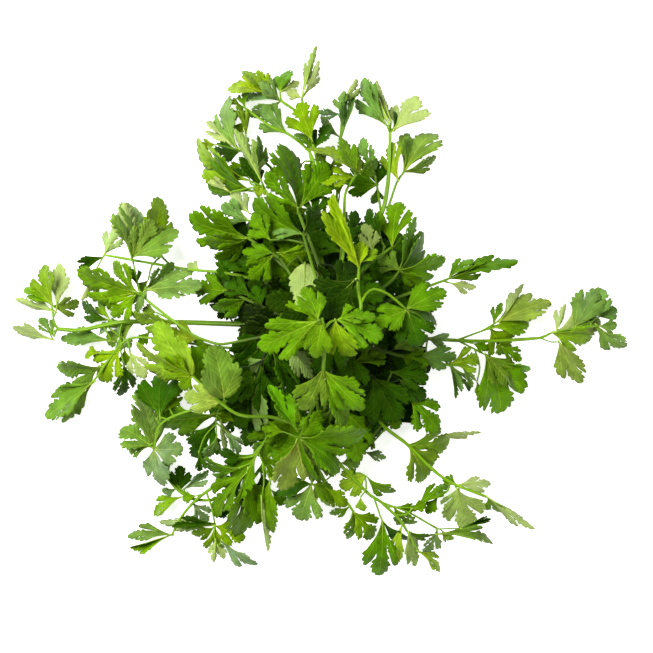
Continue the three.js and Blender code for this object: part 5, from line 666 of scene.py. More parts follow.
            [0.62, 0.5, "petiole", [-100.62, 2.47, 14.53, -111.67, 2.44, 13.14, -117.75, 2.28, 10.94]],
            [0.62, 0.5, "petiole", [-124.89, 2.25, 12.59, -126.76, -6.14, 13.24, -123.72, -13.71, 13.06]],
            [0.62, 0.5, "stalk_painted_shade", [-55.33, 1.17, 18.21, -58.19, 4.58, 21.09, -56.83, 7.88, 23.11]],
        ],
        [
            [-168.63, 13.13, 9.09, -186.15, 24.39, 4.2, -0.849, 18.23, 0.339, 0.037, "bright", 0],
            [-168.64, 13.21, 9.09, -174.86, 37.93, 5.17, 0.641, 21.87, 0.378, 0.036, "light", 0],
            [-165.57, 10.75, 9.09, -163.72, 38.54, 5.39, 3.592, 15.69, 0.250, -0.033, "pale", 0, "narrow"],
            [-168.55, 12.45, 9.1, -152.36, 14.47, 7.09, -0.744, 15.96, 0.272, 0.040, "soft", 0],
            [-166.18, 8.91, 9.14, -191.9, 16.33, 6.38, 3.442, 14.9, 0.987, -0.026, "pale", 1],
            [-168.04, -7.68, 9.05, -193.4, -0.31, 5.02, 4.062, 15.49, 0.260, -0.056, "pale", 0],
            [-167.4, -5.84, 9.15, -177.04, 5.25, 3.29, -0.560, 10.94, 0.336, 0.043, "sheen", 0],
            [-131.47, -8.89, 11.46, -163.89, -7.75, 0.6, -0.590, 15.5, 0.366, 0.047, "sheen", 0],
            [-131.55, 1.13, 12.08, -141.14, -4.01, 3.75, -0.737, 8.2, 0.232, 0.063, "grey", 0],
            [-124.55, -7.04, 12.82, -128.78, -0.31, 8.57, 0.638, 7.33, 0.163, 0.041, "grey", 0],
            [-124.55, -7.04, 12.82, -119.77, -12.56, 11.84, -0.103, 8.06, 0.357, 0.098, "grey", 0],
            [-133.83, 3.98, 12.08, -150.54, 15.15, 2.87, 0.818, 16.41, 0.352, 0.098, "dark", 0],
            [-133.21, 4.59, 12.14, -141.47, 18.8, 5.75, 0.858, 12.76, 0.267, 0.036, "bright", 0],
            [-31.14, -4.59, 23.9, -58.93, -27.35, 25.02, 0.460, 32.31, 0.273, 0.047, "dark", 0],
            [-107.88, -3.14, 13.81, -114.6, -11.21, 12.9, 0.040, 8.29, 0.377, 0.073, "mid", 0],
            [-117.75, 2.28, 10.94, -135.93, -9.86, 0.8, -0.386, 20.44, 0.252, 0.068, "soft", 0],
            [-123.72, -13.71, 13.06, -122.37, -23.58, 9.6, -0.108, 8.78, 0.204, 0.093, "bright", 0],
            [-56.83, 7.88, 23.11, -60.75, 29.09, 22.4, -0.204, 18.77, 0.292, 0.047, "dark", 0],
        ],
    ),
    "sprig_bent_left": (
        [
            [1.09, 0.76, "stalk", [-15.43, 17.65, 3.09, -15.38, 17.22, 11.95, -15.39, 16.75, 20.8, -15.59, 16.18, 29.65, -38.86, 26.87, 27.18, -61.34, 32.33, 25.27, -85.68, 34.82, 23.34, -135.3, 43.48, 19.18]],
            [0.67, 0.57, "stalk", [-91.12, 35.77, 22.89, -96.68, 39.1, 22.34, -105.28, 48.85, 21.33]],
            [0.67, 0.57, "stalk", [-67.42, 32.95, 24.79, -76.54, 34.19, 24.06]],
            [0.59, 0.5, "stalk", [-135.3, 43.48, 19.18, -139.58, 35.58, 19.04]],
            [0.48, 0.42, "petiole", [-135.3, 43.48, 19.18, -135.91, 42.26, 19.18]],
            [0.62, 0.5, "stalk_painted_shade", [-26.54, 21.21, 28.49, -31.5, 27.82, 33.13, -31.94, 32.36, 37.04]],
            [0.62, 0.5, "stalk_painted_shade", [-15.38, 17.13, 13.72, -16.46, 9.49, 21.65, -17.52, 2.12, 23.38]],
            [0.62, 0.5, "stalk_painted_shade", [-15.38, 17.03, 15.49, -18.87, 23.5, 22.87, -22.36, 30.24, 24.05]],
            [0.62, 0.5, "stalk_painted_shade", [-40.36, 27.23, 27.05, -44.6, 34.8, 28.26, -43.99, 41.19, 28.68]],
            [0.62, 0.5, "stalk_painted_shade", [-41.86, 27.6, 26.93, -44.07, 30.25, 27.38]],
            [0.62, 0.5, "petiole", [-99.91, 42.76, 21.96, -105.9, 37.44, 20.53, -108.59, 28.39, 18.28]],
        ],
        [
            [-135.3, 43.48, 19.18, -127.32, 60.15, 15.1, 3.143, 13.63, 0.329, -0.018, "pale", 1],
            [-135.91, 42.26, 19.18, -151.73, 34.03, 11.18, -0.300, 14.08, 1.001, 0.021, "dark", 1],
            [-139.58, 35.58, 19.04, -150.57, 16.25, 10.76, 2.842, 17.08, 1.110, -0.021, "pale", 1],
            [-105.28, 48.85, 21.33, -102.39, 79.02, 8.1, -0.752, 21.87, 0.302, 0.036, "bright", 0, "ovate"],
            [-76.54, 34.19, 24.06, -84.29, 37.43, 18.43, 3.008, 8.09, 0.200, -0.034, "pale", 0],
            [-31.94, 32.36, 37.04, -48.77, 61.59, 21.85, 0.357, 33.08, 0.133, 0.095, "dark", 0],
            [-17.52, 2.12, 23.38, -8.03, -32.16, 23.86, -0.144, 29.02, 0.134, 0.036, "deep", 0],
            [-22.36, 30.24, 24.05, -46.16, 58.09, 28.7, 0.497, 36.37, 0.308, 0.073, "dark", 0],
            [-43.99, 41.19, 28.68, -54.65, 64.98, 33.82, 0.223, 22.9, 0.462, 0.058, "deep", 0],
            [-44.07, 30.25, 27.38, -57.61, 52.51, 21.68, 0.404, 22.41, 0.422, 0.072, "dark", 0],
            [-108.59, 28.39, 18.28, -113.69, 21.11, 16.38, -0.281, 8.06, 0.377, 0.099, "olive", 0],
        ],
    ),
    "sprig_lower_left_yellow": (
        [
            [0.96, 0.6, "stalk", [-26.21, -12.23, 2.56, -27.01, -12.32, 14.85, -27.82, -12.42, 27.14, -61.41, -12.74, 23.41, -107.33, -6.99, 19.2, -122.69, -8.83, 17.91, -142.46, -33.86, 15.97]],
            [0.6, 0.49, "petiole", [-128.6, -16.31, 17.33, -133.32, -16.23, 17.65, -138.05, -16.15, 16.98]],
            [0.6, 0.49, "petiole", [-125.98, -12.99, 17.58, -124.68, -17.92, 17.9, -123.39, -22.85, 17.21]],
            [0.6, 0.49, "petiole", [-120.79, -8.6, 18.07, -119.67, -15.53, 17.7]],
            [0.48, 0.42, "petiole", [-137.82, -27.99, 16.42, -137.51, -24.7, 16.42]],
            [0.62, 0.5, "petiole", [-69.06, -11.78, 22.71, -76.37, -9.35, 24.1, -78.74, -7.54, 24.75]],
        ],
        [
            [-125.42, -12.28, 17.64, -137.73, -33.44, 10.46, -0.298, 21.18, 0.236, 0.092, "yellow", 0],
            [-138.05, -16.15, 16.98, -148.58, -17.46, 11.78, -0.732, 10, 0.173, 0.074, "yellow", 0],
            [-137.51, -24.7, 16.42, -165.33, -25.65, 3.13, 0.810, 24.61, 0.374, 0.044, "soft", 0],
            [-142.46, -33.86, 15.97, -172.14, -56.56, 3.08, -0.784, 23.7, 0.255, 0.037, "cool", 0],
            [-142.46, -33.86, 15.97, -167.55, -41.81, 0.95, 0.689, 15.49, 0.338, 0.029, "cool", 0],
            [-142.46, -33.86, 15.97, -163.13, -59.74, 1.49, 0.883, 10.02, 0.293, 0.031, "cool", 0],
            [-123.39, -22.85, 17.21, -125.45, -42.63, 10.61, 0.763, 17.39, 0.264, 0.051, "dark", 0],
            [-119.67, -15.53, 17.7, -110.84, -31.45, 15.02, 2.814, 14.06, 0.202, -0.049, "pale", 0],
            [-78.74, -7.54, 24.75, -95.88, -4.09, 20.5, -0.041, 17.52, 0.266, 0.071, "light", 0],
        ],
    ),
    "sprig_low_left": (
        [
            [0.93, 0.62, "stalk", [-14.1, -25.06, 3.62, -19.35, -30.25, 17.3, -24.62, -35.42, 30.99, -85.41, -51.68, 25.9, -100.71, -59.58, 24.39, -104.44, -74.17, 23.45]],
            [0.5, 0.42, "stalk", [-62.84, -45.65, 27.79, -66.67, -55.21, 26.86, -66.11, -66.11, 26.27]],
            [0.45, 0.42, "stalk", [-66.48, -58.88, 26.66, -73.39, -66.14, 25.75, -77.08, -75.87, 24.95]],
            [0.6, 0.49, "petiole", [-95.02, -56.65, 24.95, -100.69, -54.73, 24.58]],
            [0.6, 0.49, "petiole", [-65.88, -53.24, 27.05, -63.66, -56.42, 26.79]],
            [0.6, 0.49, "petiole", [-66.52, -58.19, 26.7, -61.27, -62.47, 26.45]],
            [0.6, 0.42, "petiole", [-91.97, -55.07, 25.25, -95.25, -49.21, 24.23, -98.53, -43.35, 22]],
            [0.6, 0.42, "petiole", [-100.71, -59.58, 24.39, -101.64, -57.47, 24.8, -102.57, -55.37, 24]],
            [0.62, 0.5, "petiole", [-70.94, -47.81, 27.11, -75.96, -41.41, 30.34, -76.17, -33.73, 32.76]],
            [0.62, 0.5, "stalk_painted_shade", [-18.83, -29.73, 15.93, -22.2, -27.96, 15.23]],
            [0.62, 0.5, "petiole", [-103.32, -69.79, 23.73, -108.38, -72.8, 23.74]],
        ],
        [
            [-104.23, -73.33, 23.5, -115.46, -39.91, 17.31, -1.012, 32.81, 0.241, 0.054, "mist", 0, "fan"],
            [-104.44, -74.17, 23.45, -125.46, -61.97, 15.33, -0.741, 24.75, 0.266, 0.071, "soft", 0],
            [-104.44, -74.17, 23.45, -100.58, -97.52, 13.81, -0.706, 20.96, 0.209, 0.057, "grey", 0, "fan"],
            [-104.44, -74.17, 23.45, -87, -74.27, 22.11, 0.100, 27.89, 0.368, 0.076, "grey", 0, "fan"],
            [-100.69, -54.73, 24.58, -98.58, -26.55, 15.43, 0.518, 32.07, 0.287, 0.100, "dark", 0, "fan"],
            [-65.72, -52.83, 27.09, -105.5, -57.52, 7.78, 0.602, 25.52, 0.185, 0.024, "mid", 0],
            [-66.61, -56.38, 26.8, -81.14, -80.53, 12.32, 0.250, 20.97, 0.341, 0.068, "dark", 0],
            [-66.11, -66.11, 26.27, -73.31, -79.39, 18.76, 0.742, 11.85, 0.231, 0.066, "sheen", 0],
            [-77.07, -75.85, 24.95, -77.5, -87.83, 19.67, 0.300, 9.43, 0.773, 0.090, "dark", 1],
            [-63.66, -56.42, 26.79, -62.36, -75.14, 18.67, 2.842, 14.72, 1.095, -0.049, "pale", 1],
            [-61.27, -62.47, 26.45, -52.51, -76.18, 20.93, 0.300, 12.37, 0.820, 0.030, "grey", 1],
            [-98.53, -43.35, 22, -91.63, -53.27, 18, 0.000, 12.28, 0.220, 0.050, "mid", 0, "three"],
            [-102.57, -55.37, 24, -87.8, -34.94, 20, 0.000, 10.91, 0.220, 0.050, "mid", 0, "three"],
            [-76.17, -33.73, 32.76, -77.82, -12.75, 31.59, 0.084, 20.45, 0.357, 0.023, "mid", 0],
            [-22.2, -27.96, 15.23, -57.33, -19.29, 6.46, 0.312, 32.73, 0.287, 0.058, "dark", 0],
            [-108.38, -72.8, 23.74, -120.24, -75.97, 19.15, -0.321, 10.94, 0.428, 0.051, "soft", 0],
        ],
    ),
    "sprig_low_left_hook": (
        [
            [1.26, 0.84, "stalk", [-6.82, -26.83, 2.07, -11.57, -36.92, 6.42, -16.32, -47.01, 10.78, -21.07, -57.09, 15.13, -37.65, -82.95, 12.61, -53.06, -101.52, 10.67, -66.61, -105.9, 9.79, -77.7, -106.57, 9.2, -85.1, -104.76, 8.97, -91.25, -100.46, 8.94, -96.77, -94.31, 9]],
            [0.6, 0.49, "petiole", [-86.33, -103.9, 8.96, -87.56, -99.85, 8.97]],
            [0.6, 0.49, "petiole", [-85.33, -104.6, 8.97, -89.4, -104.76, 8.98]],
            [0.6, 0.49, "petiole", [-78.02, -106.5, 9.19, -82.01, -108.43, 9.13]],
            [0.62, 0.5, "stalk_painted_shade", [-10.89, -35.48, 5.8, -17.62, -40.23, 7.41, -22.36, -40.76, 6]],
            [0.62, 0.5, "petiole", [-47.28, -94.56, 11.4, -52.92, -103.14, 14.21, -55.38, -107.88, 16.23]],
            [0.62, 0.5, "petiole", [-85.1, -104.76, 8.97, -92.97, -96.34, 8.94, -96.75, -90.78, 7.73]],
            [0.62, 0.5, "petiole", [-40.54, -86.43, 12.25, -39.84, -89.89, 14.41]],
            [0.62, 0.5, "petiole", [-40.54, -86.43, 12.25, -38.88, -95.29, 11.59, -34.04, -100.31, 10.13]],
        ],
        [
            [-90.29, -101.13, 8.95, -90.2, -85.89, 6.92, -0.204, 13.8, 0.212, 0.032, "dark", 0, "fan"],
            [-87.56, -99.85, 8.97, -72.99, -88.39, 6.5, -0.300, 13.46, 0.894, 0.089, "grey", 1],
            [-96.77, -94.31, 9, -102.5, -89.57, 7.1, 0.204, 7.44, 0.328, 0.099, "dark", 0],
            [-92.1, -99.51, 8.95, -101.51, -101.51, 4.69, 0.566, 8, 0.332, 0.091, "grey", 0],
            [-89.4, -104.76, 8.98, -108.13, -115.56, 0.6, -0.843, 14.58, 0.205, 0.077, "bright", 0],
            [-82.01, -108.43, 9.13, -74.46, -122.66, 3.33, 0.598, 13.84, 0.367, 0.070, "grey", 0],
            [-22.36, -40.76, 6, -50, -66.34, 3.16, -0.164, 35.86, 0.333, 0.078, "dark", 0],
            [-55.38, -107.88, 16.23, -65.54, -116.09, 15.32, 0.126, 10.92, 0.332, 0.083, "dark", 0],
            [-96.75, -90.78, 7.73, -99.64, -81.92, 5.03, 0.231, 9.66, 0.457, 0.075, "sheen", 0],
            [-39.84, -89.89, 14.41, -37.16, -99.84, 11.77, -0.194, 9.7, 0.286, 0.048, "dark", 0],
            [-34.04, -100.31, 10.13, -25.39, -109.11, 8.02, 0.097, 11.05, 0.436, 0.035, "mid", 0],
        ],
    ),
    "sprig_bottom_left_fork": (
        [
            [1.2, 0.8, "stalk", [-10.31, -25.44, 1.75, -14.68, -34.91, 7.27, -19.06, -44.39, 12.79, -23.43, -53.87, 18.31, -55.92, -90.75, 14.32, -66.36, -96.34, 13.47, -79.93, -106.27, 12.18, -89.84, -118.06, 10.86, -94.84, -127.99, 9.94]],
            [0.72, 0.62, "stalk", [-73.54, -101.59, 12.79, -70.12, -111.15, 12.23, -68.33, -122.27, 11.5]],
            [0.56, 0.47, "stalk", [-68.34, -122.27, 11.5, -68.98, -128.46, 11.02, -66.55, -134.64, 10.65]],
            [0.48, 0.42, "petiole", [-66.55, -134.64, 10.65, -64.1, -131.57, 10.65]],
            [0.62, 0.5, "stalk_painted_shade", [-35.61, -67.7, 16.81, -30.33, -72.76, 16.79, -21.76, -74.08, 15.96]],
            [0.62, 0.5, "stalk_painted_shade", [-40.69, -73.46, 16.19, -46.31, -68.94, 14.28, -48.63, -60.68, 11.57]],
            [0.62, 0.5, "petiole", [-75, -102.66, 12.65, -79.56, -103.51, 13.43]],
            [0.62, 0.5, "stalk_painted_shade", [-20.93, -48.45, 15.16, -24.18, -56.27, 19.94, -25.57, -60.07, 21.19]],
            [0.62, 0.5, "stalk_painted_shade", [-22.18, -51.16, 16.73, -17.61, -55.66, 17.34, -11.19, -56.15, 14.41]],
            [0.62, 0.5, "stalk_painted_shade", [-39.67, -72.31, 16.31, -46.09, -68.22, 16.55, -49.21, -60.39, 16]],
        ],
        [
            [-94.84, -127.99, 9.94, -123.31, -128.87, 3.06, -0.702, 11.85, 0.274, 0.049, "sheen", 0],
            [-94.84, -127.99, 9.94, -121.14, -136.01, 0.6, 0.300, 15.97, 1.188, 0.072, "bright", 1],
            [-68.35, -122.17, 11.51, -102.92, -120.85, 2.99, 2.842, 15.31, 0.987, -0.034, "pale", 1],
            [-68.56, -120.87, 11.59, -94.58, -122.12, 12.66, -0.300, 18.77, 1.154, 0.055, "dark", 1],
            [-68.4, -122.88, 11.45, -82.57, -127.39, 9.82, 0.634, 12.28, 0.222, 0.067, "bright", 0],
            [-68.4, -122.88, 11.45, -67.15, -138.93, 1.84, 0.019, 17.35, 0.312, 0.091, "bright", 0],
            [-68.33, -122.27, 11.5, -50.81, -130.86, 6.74, 0.492, 16.86, 0.209, 0.059, "bright", 0],
            [-64.1, -131.57, 10.65, -43.61, -148.14, 2.39, -0.834, 15.5, 0.347, 0.044, "grey", 0],
            [-68.14, -130.6, 10.89, -68.92, -144.27, 11.89, 3.442, 9.88, 0.819, -0.016, "pale", 1],
            [-66.76, -134.1, 10.68, -63.21, -142.76, 5.39, 2.842, 7.74, 0.512, -0.054, "pale", 1],
            [-21.76, -74.08, 15.96, 6.84, -88.88, 5.42, 0.475, 30.3, 0.410, 0.024, "soft", 0],
            [-48.63, -60.68, 11.57, -60.76, -40.27, 0.8, 0.584, 26.04, 0.493, 0.058, "dark", 0],
            [-79.56, -103.51, 13.43, -88.01, -106.26, 10.21, -0.358, 7.53, 0.321, 0.099, "bright", 0],
            [-25.57, -60.07, 21.19, -42.97, -79.22, 10.23, 0.248, 25.96, 0.226, 0.067, "mid", 0],
            [-11.19, -56.15, 14.41, 19.01, -69.54, 7.86, 0.027, 27.69, 0.408, 0.027, "deep", 0],
            [-49.21, -60.39, 16, -68.79, -39.72, 12.13, -0.289, 24.83, 0.439, 0.064, "bright", 0],
        ],
    ),
    "sprig_bottom_left_dark": (
        [
            [0.99, 0.62, "stalk", [-11.35, -22.1, 4.1, -13.62, -28.59, 18.54, -15.89, -35.07, 32.98, -24.31, -47.12, 31.75, -47.31, -86.49, 27.87]],
            [0.5, 0.42, "stalk", [-41.01, -75.7, 28.93, -34.06, -92.52, 27.83]],
            [0.5, 0.42, "stalk", [-38.6, -81.51, 28.55, -37.68, -92.53, 27.73, -38.92, -102.87, 26.87]],
            [0.6, 0.49, "petiole", [-44.76, -82.12, 28.3, -49.05, -83.7, 28.58, -53.34, -85.29, 27.87]],
            [0.6, 0.49, "petiole", [-42.33, -77.97, 28.71, -46.32, -78.6, 28.99, -50.31, -79.22, 28.27]],
            [0.6, 0.49, "petiole", [-45.54, -83.46, 28.17, -49.12, -88.9, 27.87]],
            [0.6, 0.49, "petiole", [-45.55, -83.46, 28.17, -47.31, -89.5, 27.87]],
            [0.6, 0.42, "petiole", [-40.74, -75.24, 28.98, -40.49, -74.99, 27.09, -40.24, -74.73, 24]],
            [0.62, 0.5, "stalk_painted_shade", [-15.89, -35.07, 32.98, -18.49, -42.44, 35.71, -18.23, -45.72, 37.66]],
        ],
        [
            [-53.34, -85.29, 27.87, -77.36, -83.48, 13.59, 0.822, 17.32, 0.170, 0.091, "mid", 0],
            [-50.31, -79.22, 28.27, -65.12, -76.03, 22.91, 0.708, 13.58, 0.296, 0.053, "dark", 0],
            [-41.01, -75.7, 28.93, -59.97, -102.58, 18.07, -0.705, 29.16, 0.260, 0.033, "mid", 0],
            [-47.31, -86.49, 27.87, -54.95, -127.4, 9.71, 0.830, 34.63, 0.363, 0.061, "mid", 0],
            [-49.12, -88.9, 27.87, -69.25, -115.62, 15.93, -0.772, 21.87, 0.366, 0.064, "mid", 0],
            [-47.31, -89.5, 27.87, -42.51, -119.57, 13.56, 0.679, 20.05, 0.314, 0.027, "mid", 0],
            [-34.06, -92.52, 27.83, -33.22, -124.67, 16.73, -0.800, 20.96, 0.202, 0.091, "mid", 0],
            [-38.92, -102.87, 26.87, -35.9, -137.15, 10.26, 2.842, 20.31, 1.188, -0.058, "pale", 1],
            [-40.24, -74.73, 24, -30.81, -93.65, 16, 0.000, 11.59, 0.220, 0.050, "mid", 0, "three"],
            [-18.23, -45.72, 37.66, -24.74, -77.73, 27.25, 0.211, 32.85, 0.490, 0.024, "mid", 0],
        ],
    ),
    "sprig_top_left": (
        [
            [1.26, 0.84, "stalk", [-5.31, 23.49, 2.61, -5.26, 37.27, 7.83, -5.22, 51.04, 13.04, -5.17, 64.82, 18.26, -6.4, 83.21, 16.56, -12.53, 117.08, 13.63, -17.44, 130.07, 12.7, -27.87, 138.13, 12]],
            [0.67, 0.57, "stalk", [-27.87, 138.13, 12, -36.47, 143.11, 11.45]],
            [0.59, 0.5, "stalk", [-27.87, 138.13, 12, -28.5, 143.71, 11.53]],
            [0.62, 0.5, "stalk_painted_shade", [-5.2, 55.63, 14.78, -1.81, 57.47, 15.59]],
            [0.62, 0.5, "stalk_painted_shade", [-5.22, 51.04, 13.04, 1.3, 56.06, 12.21, 7.8, 56.41, 8.42]],
        ],
        [
            [-36.47, 143.11, 11.45, -61.55, 148.16, 2.23, -0.852, 24.49, 0.376, 0.076, "yellow", 0],
            [-36.47, 143.11, 11.45, -51.53, 157.07, 4.58, -0.867, 15.49, 0.227, 0.087, "bright", 0],
            [-36.47, 143.11, 11.45, -42.11, 157.67, 8.53, -0.630, 11.85, 0.383, 0.031, "yellow", 0],
            [-28.79, 138.67, 11.94, -54.19, 141.52, 1.04, -0.800, 15.49, 0.209, 0.096, "sheen", 0],
            [-28.79, 138.67, 11.94, -40.52, 148.99, 17.17, -0.721, 15.65, 0.171, 0.049, "sheen", 0],
            [-27.87, 138.13, 12, -47.4, 130.43, 0.6, 0.658, 11.85, 0.357, 0.021, "sheen", 0],
            [-28.5, 143.71, 11.53, -24.39, 158.98, 4.17, 0.787, 15.1, 0.162, 0.079, "mid", 0],
            [-28.49, 143.64, 11.53, -16.93, 150.53, 7.02, 3.121, 10.22, 0.520, -0.036, "pale", 1],
            [-1.81, 57.47, 15.59, 18.53, 57.83, 11.16, 0.559, 18.1, 0.495, 0.036, "dark", 0],
            [7.8, 56.41, 8.42, 24.48, 62.28, 0.8, -0.543, 18.22, 0.276, 0.072, "deep", 0],
        ],
    ),
    "sprig_top_centre": (
        [
            [1.18, 0.76, "stalk", [-0.7, 21.56, 1.72, -0.33, 33.41, 9.76, 0.03, 45.26, 17.8, 0.39, 57.11, 25.85, -5.43, 97.91, 24.66, -15.17, 138.89, 20.74]],
            [0.6, 0.49, "petiole", [-8.44, 110.56, 23.45, -8.74, 112.37, 28.18]],
            [0.62, 0.5, "petiole", [-4.78, 93.38, 24.79, -1.65, 97.42, 25.81, 2.05, 97.49, 25.75]],
            [0.62, 0.5, "stalk_painted_shade", [-0.37, 32.09, 8.87, 8.22, 37.93, 11.33, 16.68, 39.64, 9.78]],
        ],
        [
            [-15.17, 138.89, 20.74, -7.1, 171.89, 4.5, 2.842, 10.84, 0.987, -0.042, "light", 1],
            [-14.97, 138.04, 20.82, -4.61, 162.62, 8.35, 3.442, 12.19, 0.987, -0.018, "pale", 1],
            [-15.17, 138.89, 20.74, -24.07, 142.89, 17.18, 3.268, 7.62, 0.284, -0.057, "pale", 1],
            [-8.74, 112.37, 28.18, -16.04, 135.27, 23.83, 0.388, 22.96, 0.369, 0.077, "bright", 0, "three"],
            [-7.59, 107.01, 23.79, 2.13, 121.78, 20.34, 0.743, 16.12, 0.377, 0.026, "dark", 0],
            [-7.59, 107.01, 23.79, -18.59, 118.58, 16.68, -0.706, 12.99, 0.252, 0.034, "mid", 0],
            [2.05, 97.49, 25.75, 10.13, 101.38, 23.6, 0.205, 8.19, 0.266, 0.050, "light", 0],
            [16.68, 39.64, 9.78, 47.3, 54.68, 0.8, 0.115, 32.55, 0.279, 0.098, "dark", 0],
        ],
    ),
    "sprig_upper_left_a": (
        [
            [1.18, 0.76, "stalk", [-8.39, 20.11, 2.09, -9.32, 30.83, 9.83, -10.25, 41.55, 17.57, -11.18, 52.27, 25.31, -16.04, 67.47, 23.97, -25.16, 85.77, 22.29, -35.51, 98.02, 21.06, -46.47, 104.79, 20.21, -53.78, 107.27, 19.78]],
            [0.6, 0.49, "petiole", [-45.83, 104.39, 20.26, -47.32, 109.35, 21.58, -48.82, 114.31, 21.9]],
            [0.62, 0.5, "petiole", [-50.86, 106.28, 19.95, -60.88, 108.57, 26.17, -66.17, 109.27, 31.46]],
            [0.62, 0.5, "petiole", [-42.36, 102.25, 20.53, -48.29, 101.74, 20.89, -50.49, 98.93, 20.34]],
        ],
        [
            [-53.78, 107.27, 19.78, -62.44, 141.18, 7.79, 0.943, 24.61, 0.236, 0.099, "sheen", 0],
            [-52.69, 106.9, 19.84, -73.21, 127.58, 3.52, 2.431, 15.49, 0.229, -0.032, "pale", 0],
            [-48.82, 114.31, 21.9, -54.02, 138.26, 15.45, -0.858, 10.03, 0.247, 0.039, "light", 0],
            [-52.31, 106.77, 19.86, -68.8, 107.94, 13.64, 0.676, 14.16, 0.224, 0.088, "dark", 0],
            [-66.17, 109.27, 31.46, -76.46, 108.15, 31.01, -0.261, 9.08, 0.450, 0.040, "light", 0],
            [-50.49, 98.93, 20.34, -59.05, 94.96, 19.63, -0.106, 8.16, 0.165, 0.058, "mid", 0],
        ],
    ),
    "sprig_top_right": (
        [
            [1.61, 1.02, "stalk", [7.43, 17.67, 2.79, 8.96, 19.84, 16.26, 10.48, 22.02, 29.73, 14.16, 38.86, 28.16, 32.94, 67.38, 25.27, 37.86, 94.8, 23, 38.55, 120.49, 20.95]],
            [0.77, 0.65, "stalk", [33.92, 72.84, 24.82, 37.18, 72.25, 24.82, 42.68, 87.49, 23.46, 46.95, 93.6, 22.84]],
            [0.77, 0.65, "stalk", [33.06, 68.08, 25.22, 30.56, 85.63, 23.96]],
            [0.6, 0.49, "petiole", [38.46, 117.41, 21.2, 36.69, 121.58, 21.95]],
            [0.6, 0.49, "petiole", [38.46, 117.24, 21.21, 37.82, 122.54, 23.95]],
            [0.6, 0.49, "petiole", [38.44, 116.64, 21.26, 39.15, 124.13, 20.95]],
            [0.6, 0.49, "petiole", [38.46, 117.25, 21.21, 40.97, 121.1, 20.95]],
            [0.6, 0.49, "petiole", [42.44, 86.8, 23.52, 43.12, 88.35, 27.35]],
            [0.6, 0.49, "petiole", [31.24, 80.88, 24.3, 30.23, 85.79, 26.63, 29.23, 90.7, 27.96]],
            [0.48, 0.42, "petiole", [38.55, 120.49, 20.95, 40.97, 118.67, 20.95]],
            [0.62, 0.5, "stalk_painted_shade", [26.96, 58.31, 26.19, 34.05, 55.05, 30.58, 38.39, 47.63, 34.18]],
            [0.62, 0.5, "stalk_painted_shade", [14.16, 38.86, 28.16, 17.81, 44.07, 29.16, 19.12, 45.72, 29.32]],
        ],
        [
            [36.69, 121.58, 21.95, 21.23, 151.67, 7.58, 0.836, 20.96, 0.248, 0.049, "sheen", 0],
            [37.82, 122.54, 23.95, 27.25, 149.73, 12.24, 2.842, 22.57, 1.188, -0.019, "light", 1],
            [40.97, 118.67, 20.95, 55.01, 141.06, 8.62, 3.795, 29.2, 0.352, -0.050, "pale", 0, "three"],
            [39.15, 124.13, 20.95, 30.5, 150.02, 6.29, 2.842, 13.78, 0.987, -0.025, "pale", 1],
            [40.97, 121.1, 20.95, 42.56, 131.97, 12.25, -0.716, 8.2, 0.333, 0.036, "dark", 0],
            [43.12, 88.35, 27.35, 39.36, 111.98, 15.74, 0.745, 17.32, 0.300, 0.046, "light", 0],
            [46.95, 93.6, 22.84, 65.49, 120.22, 8.14, 0.673, 29.49, 0.249, 0.066, "soft", 0, "three"],
            [46.95, 93.6, 22.84, 67.02, 103.74, 12.88, -0.873, 12.31, 0.322, 0.057, "soft", 0],
            [46.95, 93.6, 22.84, 51.16, 116.71, 11.81, -0.653, 16.41, 0.365, 0.063, "soft", 0],
            [30.56, 85.63, 23.96, 28.33, 101.45, 17.29, -0.401, 16.04, 0.203, 0.082, "dark", 0],
            [30.56, 85.63, 23.96, 9.42, 90.21, 20.23, 0.624, 21.02, 0.269, 0.046, "fresh", 0],
            [30.66, 84.95, 24.01, 28.85, 74.39, 20.53, 0.639, 9.98, 0.233, 0.074, "mid", 0],
            [29.23, 90.7, 27.96, 21, 114.76, 18.07, 0.646, 16.41, 0.277, 0.069, "sheen", 0],
            [38.39, 47.63, 34.18, 53.3, 20.8, 37.8, 0.249, 26.27, 0.448, 0.047, "dark", 0],
            [19.12, 45.72, 29.32, 39.2, 60.81, 31.19, 0.057, 24.19, 0.289, 0.028, "deep", 0],
        ],
    ),
    "sprig_long_right": (
        [
            [1.42, 0.83, "stalk", [21.51, -3.39, 3.17, 19.49, -3.57, 9.56, 17.48, -3.75, 15.95, 15.46, -3.93, 22.34, 87.53, -8.84, 16.23, 130.7, -7.04, 12.63, 137.51, -3.98, 12.07]],
            [0.68, 0.58, "stalk", [79.58, -8.3, 16.91, 99.83, -0.92, 15.22]],
            [0.68, 0.58, "stalk", [79.58, -8.3, 16.91, 97.37, -17.4, 15.33]],
            [0.6, 0.51, "stalk", [137.51, -3.98, 12.07, 162.97, 0.92, 9.95]],
            [0.52, 0.44, "stalk", [130.7, -7.04, 12.63, 137.51, -9.49, 12.05]],
            [0.6, 0.49, "petiole", [96.52, -2.12, 15.5, 104.61, 3.35, 16.22]],
            [0.6, 0.49, "petiole", [94.67, -2.8, 15.65, 100, 0.28, 15.94, 105.32, 3.36, 15.22]],
            [0.6, 0.49, "petiole", [96.74, -2.04, 15.48, 101.66, 0.92, 15.22]],
            [0.6, 0.49, "petiole", [96.8, -2.02, 15.47, 102.06, -0.91, 17.22]],
            [0.6, 0.49, "petiole", [94.85, -2.73, 15.64, 100.39, -0.6, 15.93, 105.93, 1.53, 15.22]],
            [0.6, 0.49, "petiole", [159.8, 0.31, 10.21, 165.43, 0.92, 9.95]],
            [0.48, 0.42, "petiole", [138.82, -3.73, 11.96, 138.14, -3.37, 11.96]],
            [0.48, 0.42, "petiole", [137.51, -9.49, 12.05, 142.41, -9.49, 12.05]],
